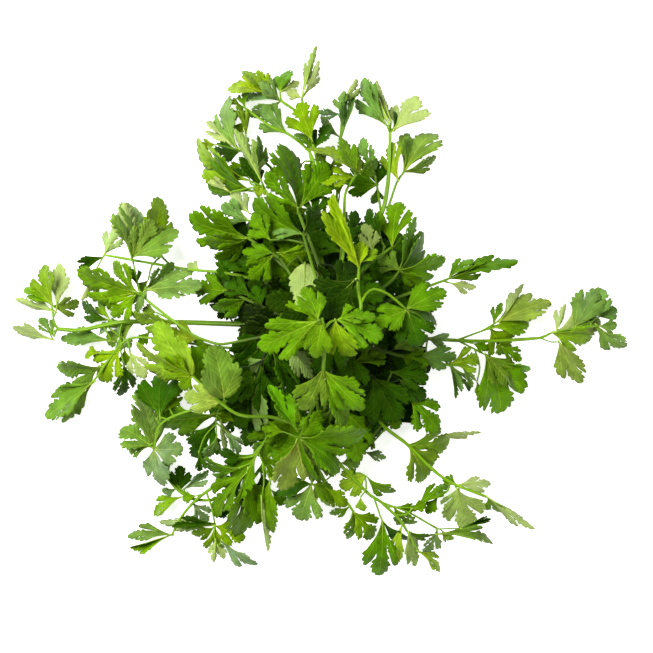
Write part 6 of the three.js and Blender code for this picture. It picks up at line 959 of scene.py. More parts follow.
            [0.6, 0.42, "petiole", [106.03, -8.07, 14.69, 106.16, -9.7, 13.94, 106.28, -11.33, 12]],
            [0.62, 0.5, "petiole", [150.99, -1.39, 10.95, 161.73, 2.74, 9.58, 167.58, 5.93, 7.42]],
            [0.62, 0.5, "petiole", [75.52, -8.02, 17.25, 84.79, -9.38, 18.45, 89.08, -10.39, 18.88]],
            [0.62, 0.5, "petiole", [149.49, -1.67, 11.07, 160.83, -0.23, 11.41, 167.27, 0.27, 10.95]],
            [0.62, 0.5, "stalk_painted_shade", [30.47, -4.95, 21.07, 36.3, -10.27, 22.99, 37.15, -15.24, 24.13]],
            [0.62, 0.5, "petiole", [90.53, -13.9, 15.94, 93.24, -24.67, 18.51, 91.51, -33.17, 20.27]],
        ],
        [
            [104.61, 3.35, 16.22, 139.11, 17.04, 0.6, 0.557, 19.14, 0.234, 0.023, "olive", 0, "fan"],
            [105.32, 3.36, 15.22, 121.42, 26.26, 3.33, 2.842, 10.84, 0.987, -0.055, "pale", 1],
            [101.66, 0.92, 15.22, 107.48, 14.39, 12.22, 0.960, 10.03, 0.357, 0.030, "mid", 0],
            [99.83, -0.92, 15.22, 111.25, -16.33, 5.89, 0.088, 19.21, 0.218, 0.060, "bright", 0],
            [102.06, -0.91, 17.22, 124.03, 0.92, 7.23, 0.498, 14.58, 0.228, 0.099, "bright", 0],
            [105.93, 1.53, 15.22, 126.46, 4.64, 2.63, 3.442, 16.85, 0.987, -0.040, "light", 1],
            [96.88, -17.15, 15.38, 110.58, -34.81, 15.4, 0.567, 21.59, 0.172, 0.048, "olive2", 0, "three"],
            [97.37, -17.4, 15.33, 107.48, -52.35, 0.81, 0.392, 35.87, 0.353, 0.099, "fresh", 0, "fan"],
            [97.37, -17.4, 15.33, 125.87, -27.53, 2.35, -0.987, 19.14, 0.194, 0.072, "fresh", 0],
            [97.37, -17.4, 15.33, 120.9, -39.89, 2.54, 0.665, 13.67, 0.236, 0.094, "sheen", 0],
            [138.14, -3.37, 11.96, 169.12, 2.78, 2.68, 2.911, 24.53, 0.335, -0.033, "cream", 0, "narrow"],
            [152.07, -1.18, 10.85, 169.34, 24.46, 1.35, 0.435, 20.15, 0.186, 0.074, "sheen", 0],
            [161.89, 0.71, 10.04, 171.5, 22.56, 3.2, 0.728, 18.85, 0.162, 0.035, "sheen", 0],
            [165.43, 0.92, 9.95, 184.93, -12.66, 4.07, -0.929, 20.5, 0.371, 0.084, "sheen", 0],
            [138.48, -3.8, 11.99, 162.85, -8.31, 6.95, -0.814, 22.78, 0.341, 0.021, "light", 0],
            [142.41, -9.49, 12.05, 157.12, -34.88, 4.22, -0.559, 18.23, 0.212, 0.045, "olive", 0, "fan"],
            [140.36, -3.43, 11.83, 147.71, 13.88, 5.27, 2.842, 12.25, 0.987, -0.028, "pale", 1],
            [106.28, -11.33, 12, 119.63, -20.6, 8, 0.000, 10.23, 0.220, 0.050, "mid", 0, "three"],
            [167.58, 5.93, 7.42, 179.7, 11.33, 1.35, 0.311, 11.68, 0.217, 0.036, "sheen", 0],
            [89.08, -10.39, 18.88, 98.21, -13.29, 15.85, -0.175, 8.87, 0.312, 0.047, "mid", 0],
            [167.27, 0.27, 10.95, 178.2, 1.05, 9.54, -0.319, 10.52, 0.353, 0.072, "sheen", 0],
            [37.15, -15.24, 24.13, 60.37, -27.37, 18.53, -0.462, 25.34, 0.433, 0.056, "dark", 0],
            [91.51, -33.17, 20.27, 91.95, -43.23, 21.69, 0.863, 9.69, 0.199, 0.039, "bright", 0],
        ],
    ),
    "sprig_lower_right_long": (
        [
            [1.39, 0.82, "stalk", [13.18, -19.9, 3.43, 12.99, -19.25, 14, 12.79, -18.6, 24.56, 31.61, -56.76, 20.11, 49.69, -72.26, 16.83, 63.21, -85.81, 14.93, 75.52, -95.09, 13.67, 98.34, -104.46, 11.8]],
            [0.57, 0.48, "stalk", [50.92, -73.49, 16.66, 64.36, -67.41, 16]],
            [0.6, 0.49, "petiole", [77.81, -96.03, 13.48, 79.76, -99.32, 14.24]],
            [0.6, 0.42, "petiole", [34.19, -58.97, 19.64, 31.88, -61.94, 18.92, 29.56, -64.91, 17]],
            [0.6, 0.42, "petiole", [36.78, -61.19, 19.17, 29.86, -68.99, 16.69, 22.95, -76.8, 13]],
            [0.62, 0.5, "stalk_painted_shade", [13.18, -19.9, 3.43, 20.28, -18.71, 7.81, 27.47, -17.83, 6]],
            [0.62, 0.5, "stalk_painted_shade", [62.87, -68.09, 16.07, 62.63, -63.03, 15.04, 57.86, -60.02, 13.02]],
            [0.62, 0.5, "petiole", [75.52, -95.09, 13.67, 74.17, -100.47, 14.04, 68.2, -103.95, 13.59]],
        ],
        [
            [49.69, -72.26, 16.83, 76.07, -70.52, 6.56, -0.597, 26.05, 0.243, 0.059, "olive2", 0],
            [50.62, -73.18, 16.7, 60.59, -94.42, 7.93, 0.510, 27.78, 0.380, 0.074, "olive2", 0],
            [64.36, -67.41, 16, 95.59, -65.27, 2.08, 3.442, 8.13, 0.987, -0.016, "pale", 1],
            [80.39, -97.09, 13.27, 100.89, -96.57, 4.72, 3.753, 11.85, 0.351, -0.048, "pale", 0],
            [79.87, -96.88, 13.31, 71.61, -93.12, 8.59, -0.436, 8.66, 0.263, 0.055, "mid", 0],
            [79.76, -99.32, 14.24, 87.54, -124.66, 2.18, 3.064, 27.27, 0.381, -0.027, "light", 0, "three"],
            [81.8, -97.67, 13.16, 73.6, -114.24, 6.68, 3.851, 15.88, 0.376, -0.057, "light", 0],
            [98.34, -104.46, 11.8, 127.28, -124.82, 5.84, 3.442, 12.19, 0.987, -0.033, "pale", 1],
            [98.34, -104.46, 11.8, 109.21, -115.4, 2.01, -0.938, 13.67, 0.239, 0.028, "mid", 0],
            [29.56, -64.91, 17, 22.29, -74.81, 15, 0.000, 10.23, 0.220, 0.050, "olive2", 0, "three"],
            [22.95, -76.8, 13, 36.52, -80.71, 10, 0.000, 6.14, 0.220, 0.050, "grey", 0, "three"],
            [27.47, -17.83, 6, 57.74, -10.56, 12.82, -0.055, 29.57, 0.283, 0.024, "deep", 0],
            [57.86, -60.02, 13.02, 42.37, -39.04, 1.29, 0.281, 24.68, 0.309, 0.073, "deep", 0],
            [68.2, -103.95, 13.59, 61.17, -114.28, 13.24, -0.255, 9.77, 0.449, 0.046, "mid", 0],
        ],
    ),
    "sprig_bottom_right": (
        [
            [1.31, 0.82, "stalk", [2.43, -22.02, 2.25, 3.48, -28.65, 14.66, 4.53, -35.28, 27.08, 2.72, -59.54, 25.06, 3.33, -76.58, 23.62, 26.4, -102.27, 21.1, 32.49, -105.96, 20.64, 44.69, -117.65, 19.35, 48.98, -124.42, 18.69]],
            [0.66, 0.56, "stalk", [28.72, -103.68, 20.92, 33.74, -118.22, 19.61]],
            [0.66, 0.56, "stalk", [33.43, -106.86, 20.54, 50.76, -113.38, 19.45, 67.27, -123.28, 18.06]],
            [0.57, 0.48, "stalk", [14.85, -89.4, 22.36, 20.31, -88.8, 22.3, 24.56, -91.26, 22]],
            [0.57, 0.48, "stalk", [48.98, -124.42, 18.69, 55.74, -136.75, 17.51]],
            [0.48, 0.42, "petiole", [36.25, -109.56, 20.24, 54.37, -110.25, 20.24]],
            [0.48, 0.42, "petiole", [67.27, -123.28, 18.06, 67.88, -126.33, 18.06]],
            [0.48, 0.42, "petiole", [67.27, -123.28, 18.06, 82.49, -122.67, 18.06]],
            [0.6, 0.42, "petiole", [9.92, -83.92, 22.9, 3.29, -90.01, 23.05, -3.33, -96.11, 22]],
            [0.62, 0.5, "stalk_painted_shade", [4.42, -36.8, 26.95, 5.62, -44.91, 27.37, 7.19, -48.05, 27.01]],
            [0.62, 0.5, "stalk_painted_shade", [16.67, -89.2, 22.34, 17.45, -83.84, 26.34, 13.25, -79.02, 29.19]],
            [0.62, 0.5, "petiole", [56.26, -116.68, 18.99, 65.18, -121.73, 17.37, 69.82, -124.21, 14.92]],
            [0.62, 0.5, "stalk_painted_shade", [2.55, -22.76, 3.63, 0.67, -31.66, 7.61, -1.57, -38.22, 6]],
            [0.62, 0.5, "stalk_painted_shade", [4.19, -39.83, 26.7, 7.59, -42.1, 27.61, 11.26, -40.79, 27.62]],
            [0.62, 0.5, "petiole", [23.14, -90.44, 22.1, 24.08, -98.04, 23.33, 20.69, -103.14, 23.67]],
            [0.62, 0.5, "petiole", [41.36, -114.46, 19.7, 48.17, -114.17, 22.45, 51.37, -110.44, 24.39]],
        ],
        [
            [23.64, -90.73, 22.06, 8.22, -97.78, 17.37, 0.070, 17.97, 0.275, 0.032, "light", 0],
            [24.56, -91.26, 22, 41.89, -101.81, 13.72, -0.797, 13.67, 0.186, 0.096, "mid", 0],
            [54.37, -110.25, 20.24, 75.45, -96.39, 6.59, 0.788, 11.85, 0.142, 0.057, "mid", 0, "three"],
            [40.87, -109.66, 20.07, 54.24, -121.65, 11.53, -0.797, 14.58, 0.270, 0.082, "mid", 0],
            [67.88, -126.33, 18.06, 103.7, -132.8, 1.42, 0.862, 12.76, 0.335, 0.099, "soft", 0],
            [82.49, -122.67, 18.06, 101.55, -118.83, 4.35, 0.300, 9.98, 1.188, 0.039, "dark", 1],
            [67.27, -123.28, 18.06, 59.77, -138.84, 11.31, 0.514, 11.85, 0.322, 0.097, "grey", 0],
            [33.74, -118.22, 19.61, 50.03, -131.68, 9.85, -0.796, 10.94, 0.247, 0.045, "dark", 0],
            [33.74, -118.22, 19.61, 32.47, -153.71, 2.32, 0.100, 21.87, 0.158, 0.082, "mid", 0],
            [46.15, -119.96, 19.13, 42.18, -146.24, 6.83, -0.558, 10.94, 0.317, 0.074, "light", 0],
            [49.38, -125.15, 18.62, 55.68, -146.74, 7.66, 4.096, 17.32, 0.208, -0.027, "yellow", 0],
            [48.98, -124.42, 18.69, 66.5, -128.4, 11.46, -0.925, 9.11, 0.212, 0.075, "mid", 0],
            [55.74, -136.75, 17.51, 70.57, -150.08, 5.86, 0.883, 11.85, 0.225, 0.068, "light", 0],
            [39.23, -109.78, 19, 57.1, -111.45, 15, 0.000, 6.14, 0.220, 0.050, "mid", 0, "narrow"],
            [-3.33, -96.11, 22, 12.48, -109.29, 18, 0.000, 10.91, 0.220, 0.050, "yellow", 0, "narrow"],
            [7.19, -48.05, 27.01, 19.85, -80.55, 29.82, 0.313, 27.81, 0.247, 0.073, "mid", 0],
            [13.25, -79.02, 29.19, 13.88, -48.11, 23.73, -0.121, 25.59, 0.375, 0.024, "deep", 0],
            [69.82, -124.21, 14.92, 77.56, -129.77, 15.14, -0.613, 8.95, 0.440, 0.070, "soft", 0],
            [-1.57, -38.22, 6, -8.8, -61.61, 9.04, -0.355, 24.61, 0.202, 0.026, "dark", 0],
            [11.26, -40.79, 27.62, 47.05, -47.68, 19.65, -0.221, 30.59, 0.211, 0.025, "dark", 0],
            [20.69, -103.14, 23.67, 22.39, -112.07, 21.71, -0.527, 8.29, 0.356, 0.086, "light", 0],
            [51.37, -110.44, 24.39, 60.25, -107.27, 24.05, -0.082, 7.62, 0.226, 0.098, "mid", 0],
        ],
    ),
    "sprig_bottom_centre": (
        [
            [1.26, 0.84, "stalk", [0.82, -26.18, 2.78, 0.47, -36.03, 12.75, 0.03, -45.87, 22.72, -4.91, -62.91, 20.34, -7, -78.19, 18.57, -0.91, -95.37, 17.09, 11.29, -105.84, 16.13, 16.18, -112.62, 15.5]],
            [0.6, 0.49, "petiole", [-3.52, -88.01, 17.72, -5.18, -92.29, 17.44]],
            [0.62, 0.5, "stalk_painted_shade", [-2.66, -55.16, 21.42, -6.85, -55.76, 24.43]],
            [0.62, 0.5, "stalk_painted_shade", [-0.42, -47.42, 22.5, 3.39, -51.75, 23.14, 8.55, -51.4, 23.22]],
            [0.62, 0.5, "stalk_painted_shade", [0.78, -27.27, 3.89, -7.93, -28.17, 7.32, -16.53, -25.55, 6]],
            [0.62, 0.5, "petiole", [-6.58, -75.13, 18.92, 0.72, -81.49, 20.13, 8.69, -82.92, 20.7]],
        ],
        [
            [15.97, -112.33, 15.52, 13.86, -130.24, 6.78, 0.758, 16.33, 0.186, 0.089, "bright", 0],
            [16.18, -112.62, 15.5, 28.68, -130.46, 5.13, 0.377, 17.87, 0.292, 0.088, "bright", 0],
            [14.25, -109.95, 15.74, 2.14, -114.89, 11.7, 0.707, 9.11, 0.301, 0.049, "mid", 0],
            [-5.18, -92.29, 17.44, 1.54, -109.75, 8.34, -0.836, 15.49, 0.308, 0.071, "yellow", 0],
            [-6.85, -55.76, 24.43, -43.11, -52.41, 23.85, 0.168, 34.75, 0.196, 0.069, "dark", 0],
            [8.55, -51.4, 23.22, 33.27, -65.53, 8.27, 0.283, 25.78, 0.274, 0.032, "deep", 0],
            [-16.53, -25.55, 6, -47.39, -32.73, 0.8, -0.282, 31.31, 0.349, 0.084, "deep", 0],
            [8.69, -82.92, 20.7, 20.53, -83.04, 17.42, 0.041, 11.88, 0.136, 0.051, "soft", 0],
        ],
    ),
}


# ---------------------------------------------------------------- leaflet outlines
# Half outlines in runs of way-points, in shares of the width and the length, from the foot to the tip: (has teeth, points).
# The last number is the lean of the side lobe's main vein, across for each step along.
OUTLINES = {
    "three": ([
        (False, [(0.02, 0.0), (0.03, 0.05), (0.14, 0.22), (0.29, 0.35), (0.41, 0.44)]),
        (True, [(0.41, 0.44), (0.49, 0.54), (0.505, 0.65), (0.45, 0.74), (0.35, 0.735)]),
        (False, [(0.35, 0.735), (0.24, 0.63), (0.135, 0.47)]),
        (False, [(0.135, 0.47), (0.15, 0.58)]),
        (True, [(0.15, 0.58), (0.225, 0.71), (0.25, 0.81), (0.18, 0.91), (0.07, 0.98), (0.0, 1.0)]),
    ], 0.66),
    "narrow": ([
        (False, [(0.02, 0.0), (0.03, 0.07), (0.13, 0.25), (0.30, 0.41)]),
        (True, [(0.30, 0.41), (0.45, 0.54), (0.49, 0.66), (0.38, 0.71)]),
        (False, [(0.38, 0.71), (0.28, 0.64), (0.20, 0.55)]),
        (True, [(0.20, 0.55), (0.31, 0.71), (0.28, 0.84), (0.12, 0.955), (0.0, 1.0)]),
    ], 0.74),
    "deep": ([
        (False, [(0.02, 0.0), (0.03, 0.05), (0.12, 0.17), (0.27, 0.27)]),
        (True, [(0.27, 0.27), (0.42, 0.36), (0.50, 0.48), (0.50, 0.60), (0.41, 0.665), (0.30, 0.62)]),
        (False, [(0.30, 0.62), (0.19, 0.49), (0.105, 0.35)]),
        (False, [(0.105, 0.35), (0.11, 0.48)]),
        (True, [(0.11, 0.48), (0.20, 0.61), (0.28, 0.73), (0.265, 0.83), (0.17, 0.92), (0.07, 0.98), (0.0, 1.0)]),
    ], 0.88),
    "fan": ([
        (False, [(0.02, 0.0), (0.05, 0.06), (0.21, 0.20), (0.38, 0.33)]),
        (True, [(0.38, 0.33), (0.49, 0.45), (0.50, 0.60), (0.43, 0.73), (0.35, 0.76)]),
        (False, [(0.35, 0.76), (0.26, 0.69), (0.18, 0.59)]),
        (False, [(0.18, 0.59), (0.19, 0.66)]),
        (True, [(0.19, 0.66), (0.235, 0.79), (0.19, 0.905), (0.08, 0.975), (0.0, 1.0)]),
    ], 0.62),
    "ovate": ([
        (False, [(0.02, 0.0), (0.12, 0.015), (0.31, 0.09), (0.43, 0.20)]),
        (True, [(0.43, 0.20), (0.50, 0.34), (0.48, 0.50), (0.42, 0.60)]),
        (False, [(0.42, 0.60), (0.36, 0.58), (0.29, 0.52)]),
        (True, [(0.29, 0.52), (0.35, 0.68), (0.29, 0.84), (0.13, 0.96), (0.0, 1.0)]),
    ], 0.80),
    "five": ([
        (False, [(0.02, 0.0), (0.03, 0.05), (0.13, 0.18), (0.28, 0.28)]),
        (True, [(0.28, 0.28), (0.42, 0.36), (0.49, 0.46), (0.475, 0.55), (0.42, 0.56)]),
        (False, [(0.42, 0.56), (0.34, 0.50), (0.28, 0.44)]),
        (True, [(0.28, 0.44), (0.42, 0.58), (0.47, 0.70), (0.41, 0.78), (0.33, 0.755)]),
        (False, [(0.33, 0.755), (0.22, 0.62), (0.13, 0.45)]),
        (False, [(0.13, 0.45), (0.145, 0.57)]),
        (True, [(0.145, 0.57), (0.225, 0.70), (0.26, 0.81), (0.19, 0.915), (0.07, 0.98), (0.0, 1.0)]),
    ], 0.60),
    "small": ([
        (False, [(0.02, 0.0), (0.04, 0.10), (0.21, 0.31), (0.36, 0.45)]),
        (True, [(0.36, 0.45), (0.49, 0.60), (0.42, 0.74)]),
        (False, [(0.42, 0.74), (0.31, 0.68), (0.23, 0.60)]),
        (True, [(0.23, 0.60), (0.28, 0.79), (0.14, 0.94), (0.0, 1.0)]),
    ], 0.68),
}
MIDRIB_GROOVE = 0.014  # leaf lengths
SIDE_GROOVE = 0.011
TOOTH_PITCH = 0.130  # leaf lengths from one tooth to the next
TOOTH_DEPTH = 0.044
# one tooth: (share of the pitch, share of the depth), blunt, leaning forwards, with a notch after it
TOOTH = [(0.16, 0.34), (0.44, 0.80), (0.69, 1.10), (0.83, 0.66), (1.0, -0.24)]


def rounded(points, per=8):
    """A smooth line through the way-points, close enough to measure along."""
    p = np.vstack([2 * points[0] - points[1], points, 2 * points[-1] - points[-2]])
    out = []
    for i in range(1, len(p) - 2):
        for k in range(per):
            t = k / per
            out.append(0.5 * (2 * p[i] + (p[i + 1] - p[i - 1]) * t + (2 * p[i - 1] - 5 * p[i] + 4 * p[i + 1] - p[i + 2]) * t * t + (3 * p[i] - p[i - 1] - 3 * p[i + 1] + p[i + 2]) * t**3))
    out.append(points[-1])
    return np.array(out)


def along_line(line, at):
    """Points and headings at the given lengths along a line."""
    d = np.linalg.norm(np.diff(line, axis=0), axis=1)
    s = np.concatenate([[0], np.cumsum(d)])
    at = np.clip(at, 0, s[-1])
    p = np.stack([np.interp(at, s, line[:, k]) for k in (0, 1)], 1)
    q = np.stack([np.interp(np.minimum(at + 0.01, s[-1]), s, line[:, k]) for k in (0, 1)], 1) - np.stack([np.interp(np.maximum(at - 0.01, 0), s, line[:, k]) for k in (0, 1)], 1)
    return p, q / np.maximum(np.linalg.norm(q, axis=1), 1e-9)[:, None]


def half_outline(kind, aspect, size, rng, fine):
    """One side of a leaflet from the foot to just before the tip, as an (n, 2) array in leaf lengths with x > 0."""
    runs, _ = OUTLINES[kind]
    wide = rng.uniform(0.93, 1.05)
    cut = rng.uniform(-0.07, 0.05)  # how much deeper or shallower the cut between the lobes is
    moved = {}
    pitch = TOOTH_PITCH * (1.0 if size > 26 else 1.12 if size > 15 else 1.35) * rng.uniform(0.92, 1.12)
    depth = TOOTH_DEPTH * (1.0 if size > 26 else 1.05 if size > 15 else 1.2) * rng.uniform(0.85, 1.2) * min(1.0, 0.30 + 0.85 * aspect)
    points = []
    for number, (toothed, way) in enumerate(runs):
        q = []
        for x, y in way:
            if (x, y) not in moved:
                jitter = 0.0 if x == 0.0 or y == 0.0 else 1.0
                dy = rng.uniform(-0.016, 0.016) * jitter
                if not toothed and number >= 2:
                    dy += cut * (0.75 - y) / 0.25
                moved[(x, y)] = (max(0.0, x * wide * aspect + rng.uniform(-0.012, 0.012) * aspect * jitter), y + dy)
            q.append(moved[(x, y)])
        q = np.array(q)
        line = rounded(q) if len(q) > 2 else q
        total = np.linalg.norm(np.diff(line, axis=0), axis=1).sum()
        if not toothed:
            n = max(2, int(total / 0.07))
            at = np.linspace(0, total, n + 1)[:-1]
            points.extend(along_line(line, at)[0])
            continue
        last = number == len(runs) - 1
        n = max(2, int(round(total / pitch)))
        weights = rng.uniform(0.75, 1.25, n)
        starts = np.concatenate([[0], np.cumsum(weights)]) / weights.sum() * total * (0.96 if last else 1.0)
        deeper = rng.integers(0, n)
        points.append(line[0])
        for k in range(n):
            for share, rise in (TOOTH if fine else TOOTH[:1] + TOOTH[2:]):
                rise_now = rise
                if share == 1.0:
                    if k == n - 1:
                        continue
                    rise_now = rise * (2.6 if k == deeper else rng.uniform(0.4, 1.6))
                at = starts[k] + (starts[k + 1] - starts[k]) * share
                p, h = along_line(line, np.array([at]))
                out = np.array([h[0][1], -h[0][0]])
                full = depth * (0.7 if k == n - 1 and last else 1.0)
                points.append(p[0] + out * full * (rise_now - 0.35) + h[0] * full * 0.35 * max(rise_now, 0))
    out = np.array(points)
    out[:, 0] = np.maximum(out[:, 0], 0.010)
    return out


def inside(points, polygon):
    """Whether each point has the outline wound round it. Lobes that overlap count as one blade."""
    x, y = points[:, 0][:, None], points[:, 1][:, None]
    x1, y1 = polygon[:, 0][None], polygon[:, 1][None]
    x2, y2 = np.roll(polygon[:, 0], -1)[None], np.roll(polygon[:, 1], -1)[None]
    lies_left = (x2 - x1) * (y - y1) - (x - x1) * (y2 - y1)
    turns = ((y1 <= y) & (y2 > y) & (lies_left > 0)).astype(int) - ((y1 > y) & (y2 <= y) & (lies_left < 0))
    return turns.sum(axis=1) != 0


def closed_in(tris, kept):
    """Which of the triangles left out lie in a gap that the blade closes all round."""
    by_edge = {}
    for k, t in enumerate(tris):
        for a, b in ((t[0], t[1]), (t[1], t[2]), (t[2], t[0])):
            by_edge.setdefault((min(a, b), max(a, b)), []).append(k)
    open_now = [two[0] for two in by_edge.values() if len(two) == 1 and not kept[two[0]]]
    beside = {}
    for two in by_edge.values():
        if len(two) == 2 and not kept[two[0]] and not kept[two[1]]:
            beside.setdefault(two[0], []).append(two[1])
            beside.setdefault(two[1], []).append(two[0])
    is_open = np.zeros(len(tris), bool)
    is_open[open_now] = True
    while open_now:
        k = open_now.pop()
        for other in beside.get(k, ()):
            if not is_open[other]:
                is_open[other] = True
                open_now.append(other)
    return ~kept & ~is_open


def side_vein(kind, aspect, y):
    """How far out the main vein of a side lobe lies at y."""
    return aspect * OUTLINES[kind][1] * (y - 0.03)


def flat_leaflet(kind, aspect, size, rng, grid=0.065):
    """(points, triangles) of a flat leaflet. x is in leaf lengths, from -aspect / 2 to aspect / 2, y from 0 to 1."""
    fine = size > 15
    right, left = half_outline(kind, aspect, size, rng, fine), half_outline(kind, aspect, size, rng, fine)
    left = left * [-1, 1]
    tip = np.array([[rng.uniform(-0.008, 0.008), 1.0 + rng.uniform(0.0, 0.012)]])
    outline = np.vstack([right, tip, left[::-1]])
    keep = [0]
    for i in range(1, len(outline)):
        if np.hypot(*(outline[i] - outline[keep[-1]])) > 0.006:
            keep.append(i)
    outline = outline[keep]
    n = len(outline)
    step = max(grid, 0.02)
    gx = np.arange(-0.6 * aspect, 0.6 * aspect + step, step)
    rows = []
    for j, y in enumerate(np.arange(0.05, 1.0, step * 0.87)):
        rows.append(np.stack([gx + (step / 2 if j % 2 else 0), np.full(len(gx), y)], 1))
    cloud = np.vstack(rows) + rng.uniform(-0.12, 0.12, (sum(len(r) for r in rows), 2)) * step
    cloud = cloud[np.abs(cloud[:, 0]) > step * 0.45]
    cloud = cloud[inside(cloud, outline)]
    if len(cloud):
        d = np.min(np.hypot(cloud[:, None, 0] - outline[None, :, 0], cloud[:, None, 1] - outline[None, :, 1]), axis=1)
        cloud = cloud[d > step * 0.42]
        cloud = cloud[np.abs(np.abs(cloud[:, 0]) - side_vein(kind, aspect, cloud[:, 1])) > step * 0.38]
    rib = np.stack([np.zeros(14), np.linspace(0.02, 0.975, 14)], 1)
    rib = rib[inside(rib, outline)]
    lines = [rib]
    for hand in (1, -1):
        y = np.linspace(0.09, 0.81, 9)
        line = np.stack([hand * side_vein(kind, aspect, y), y], 1)
        d = np.min(np.hypot(line[:, None, 0] - outline[None, :, 0], line[:, None, 1] - outline[None, :, 1]), axis=1)
        fits = inside(line, outline) & (d > 0.02)
        lines.append(line[: len(line) if fits.all() else int(np.argmin(fits))])
    verts = [Vector(p) for p in np.vstack([outline] + lines + [cloud])]
    edges = [(k, (k + 1) % n) for k in range(n)]
    start = n
    for line in lines:
        edges += [(start + k, start + k + 1) for k in range(len(line) - 1)]
        start += len(line)
    v, _, f, *_ = delaunay_2d_cdt(verts, edges, [], 0, 1e-6)
    pts = np.array([tuple(p) for p in v])
    tris = np.array([t for t in f if len(t) == 3], int)
    c = pts[tris].mean(axis=1)
    kept = inside(c, outline)
    tris = tris[kept | closed_in(tris, kept)]
    p = pts[tris]
    area = (p[:, 1, 0] - p[:, 0, 0]) * (p[:, 2, 1] - p[:, 0, 1]) - (p[:, 1, 1] - p[:, 0, 1]) * (p[:, 2, 0] - p[:, 0, 0])
    tris = tris[np.abs(area) > 1e-7]
    area = area[np.abs(area) > 1e-7]
    flip = area < 0
    tris[flip] = tris[flip][:, ::-1]
    used = np.unique(tris)
    back = -np.ones(len(pts), int)
    back[used] = np.arange(len(used))
    return pts[used], back[tris]


def settle(z):
    low = SURFACE_REST + SURFACE_EASE
    return np.where(z < low, SURFACE_REST + SURFACE_EASE * np.exp(np.minimum(0.0, (z - low) / SURFACE_EASE)), z)


def leaf_frame(foot, tip, turn):
    along = tip - foot
    length = np.linalg.norm(along)
    along = along / length
    level = np.cross(along, [0, 0, 1.0])
    level /= np.linalg.norm(level)
    up = np.cross(level, along)
    side = level * math.cos(turn) + up * math.sin(turn)
    face = up * math.cos(turn) - level * math.sin(turn)
    return along, length, side, face


class Builder:
    """Collects the vertices, faces, materials and point values of one piece."""

    def __init__(self):
        self.v, self.f, self.m, self.co, self.col, self.smooth = [], [], [], [], [], []
        self.n = 0

    def add(self, verts, faces, mats, co, col):
        verts = np.asarray(verts, float)
        self.v.append(verts)
        for f in faces:
            self.f.append([int(i) + self.n for i in f])
        self.m.extend(mats)
        self.co.append(np.asarray(co, float))
        self.col.append(np.asarray(col, float))
        self.n += len(verts)

    def mesh(self, name, materials):
        me = bpy.data.meshes.new(name)
        v = (np.vstack(self.v) + OFFSET) * MM
        v[:, 2] = np.maximum(v[:, 2], 0.00004)
        me.from_pydata(v.tolist(), [], self.f)
        for m in materials:
            me.materials.append(m)
        me.polygons.foreach_set("material_index", np.array(self.m, np.int32))
        me.polygons.foreach_set("use_smooth", np.ones(len(self.f), bool))
        a = me.attributes.new("leafco", "FLOAT_VECTOR", "POINT")
        a.data.foreach_set("vector", np.vstack(self.co).astype(np.float32).ravel())
        c = me.attributes.new("leafcol", "FLOAT_COLOR", "POINT")
        c.data.foreach_set("color", np.vstack(self.col).astype(np.float32).ravel())
        me.update()
        ob = bpy.data.objects.new(name, me)
        bpy.context.scene.collection.objects.link(ob)
        return ob


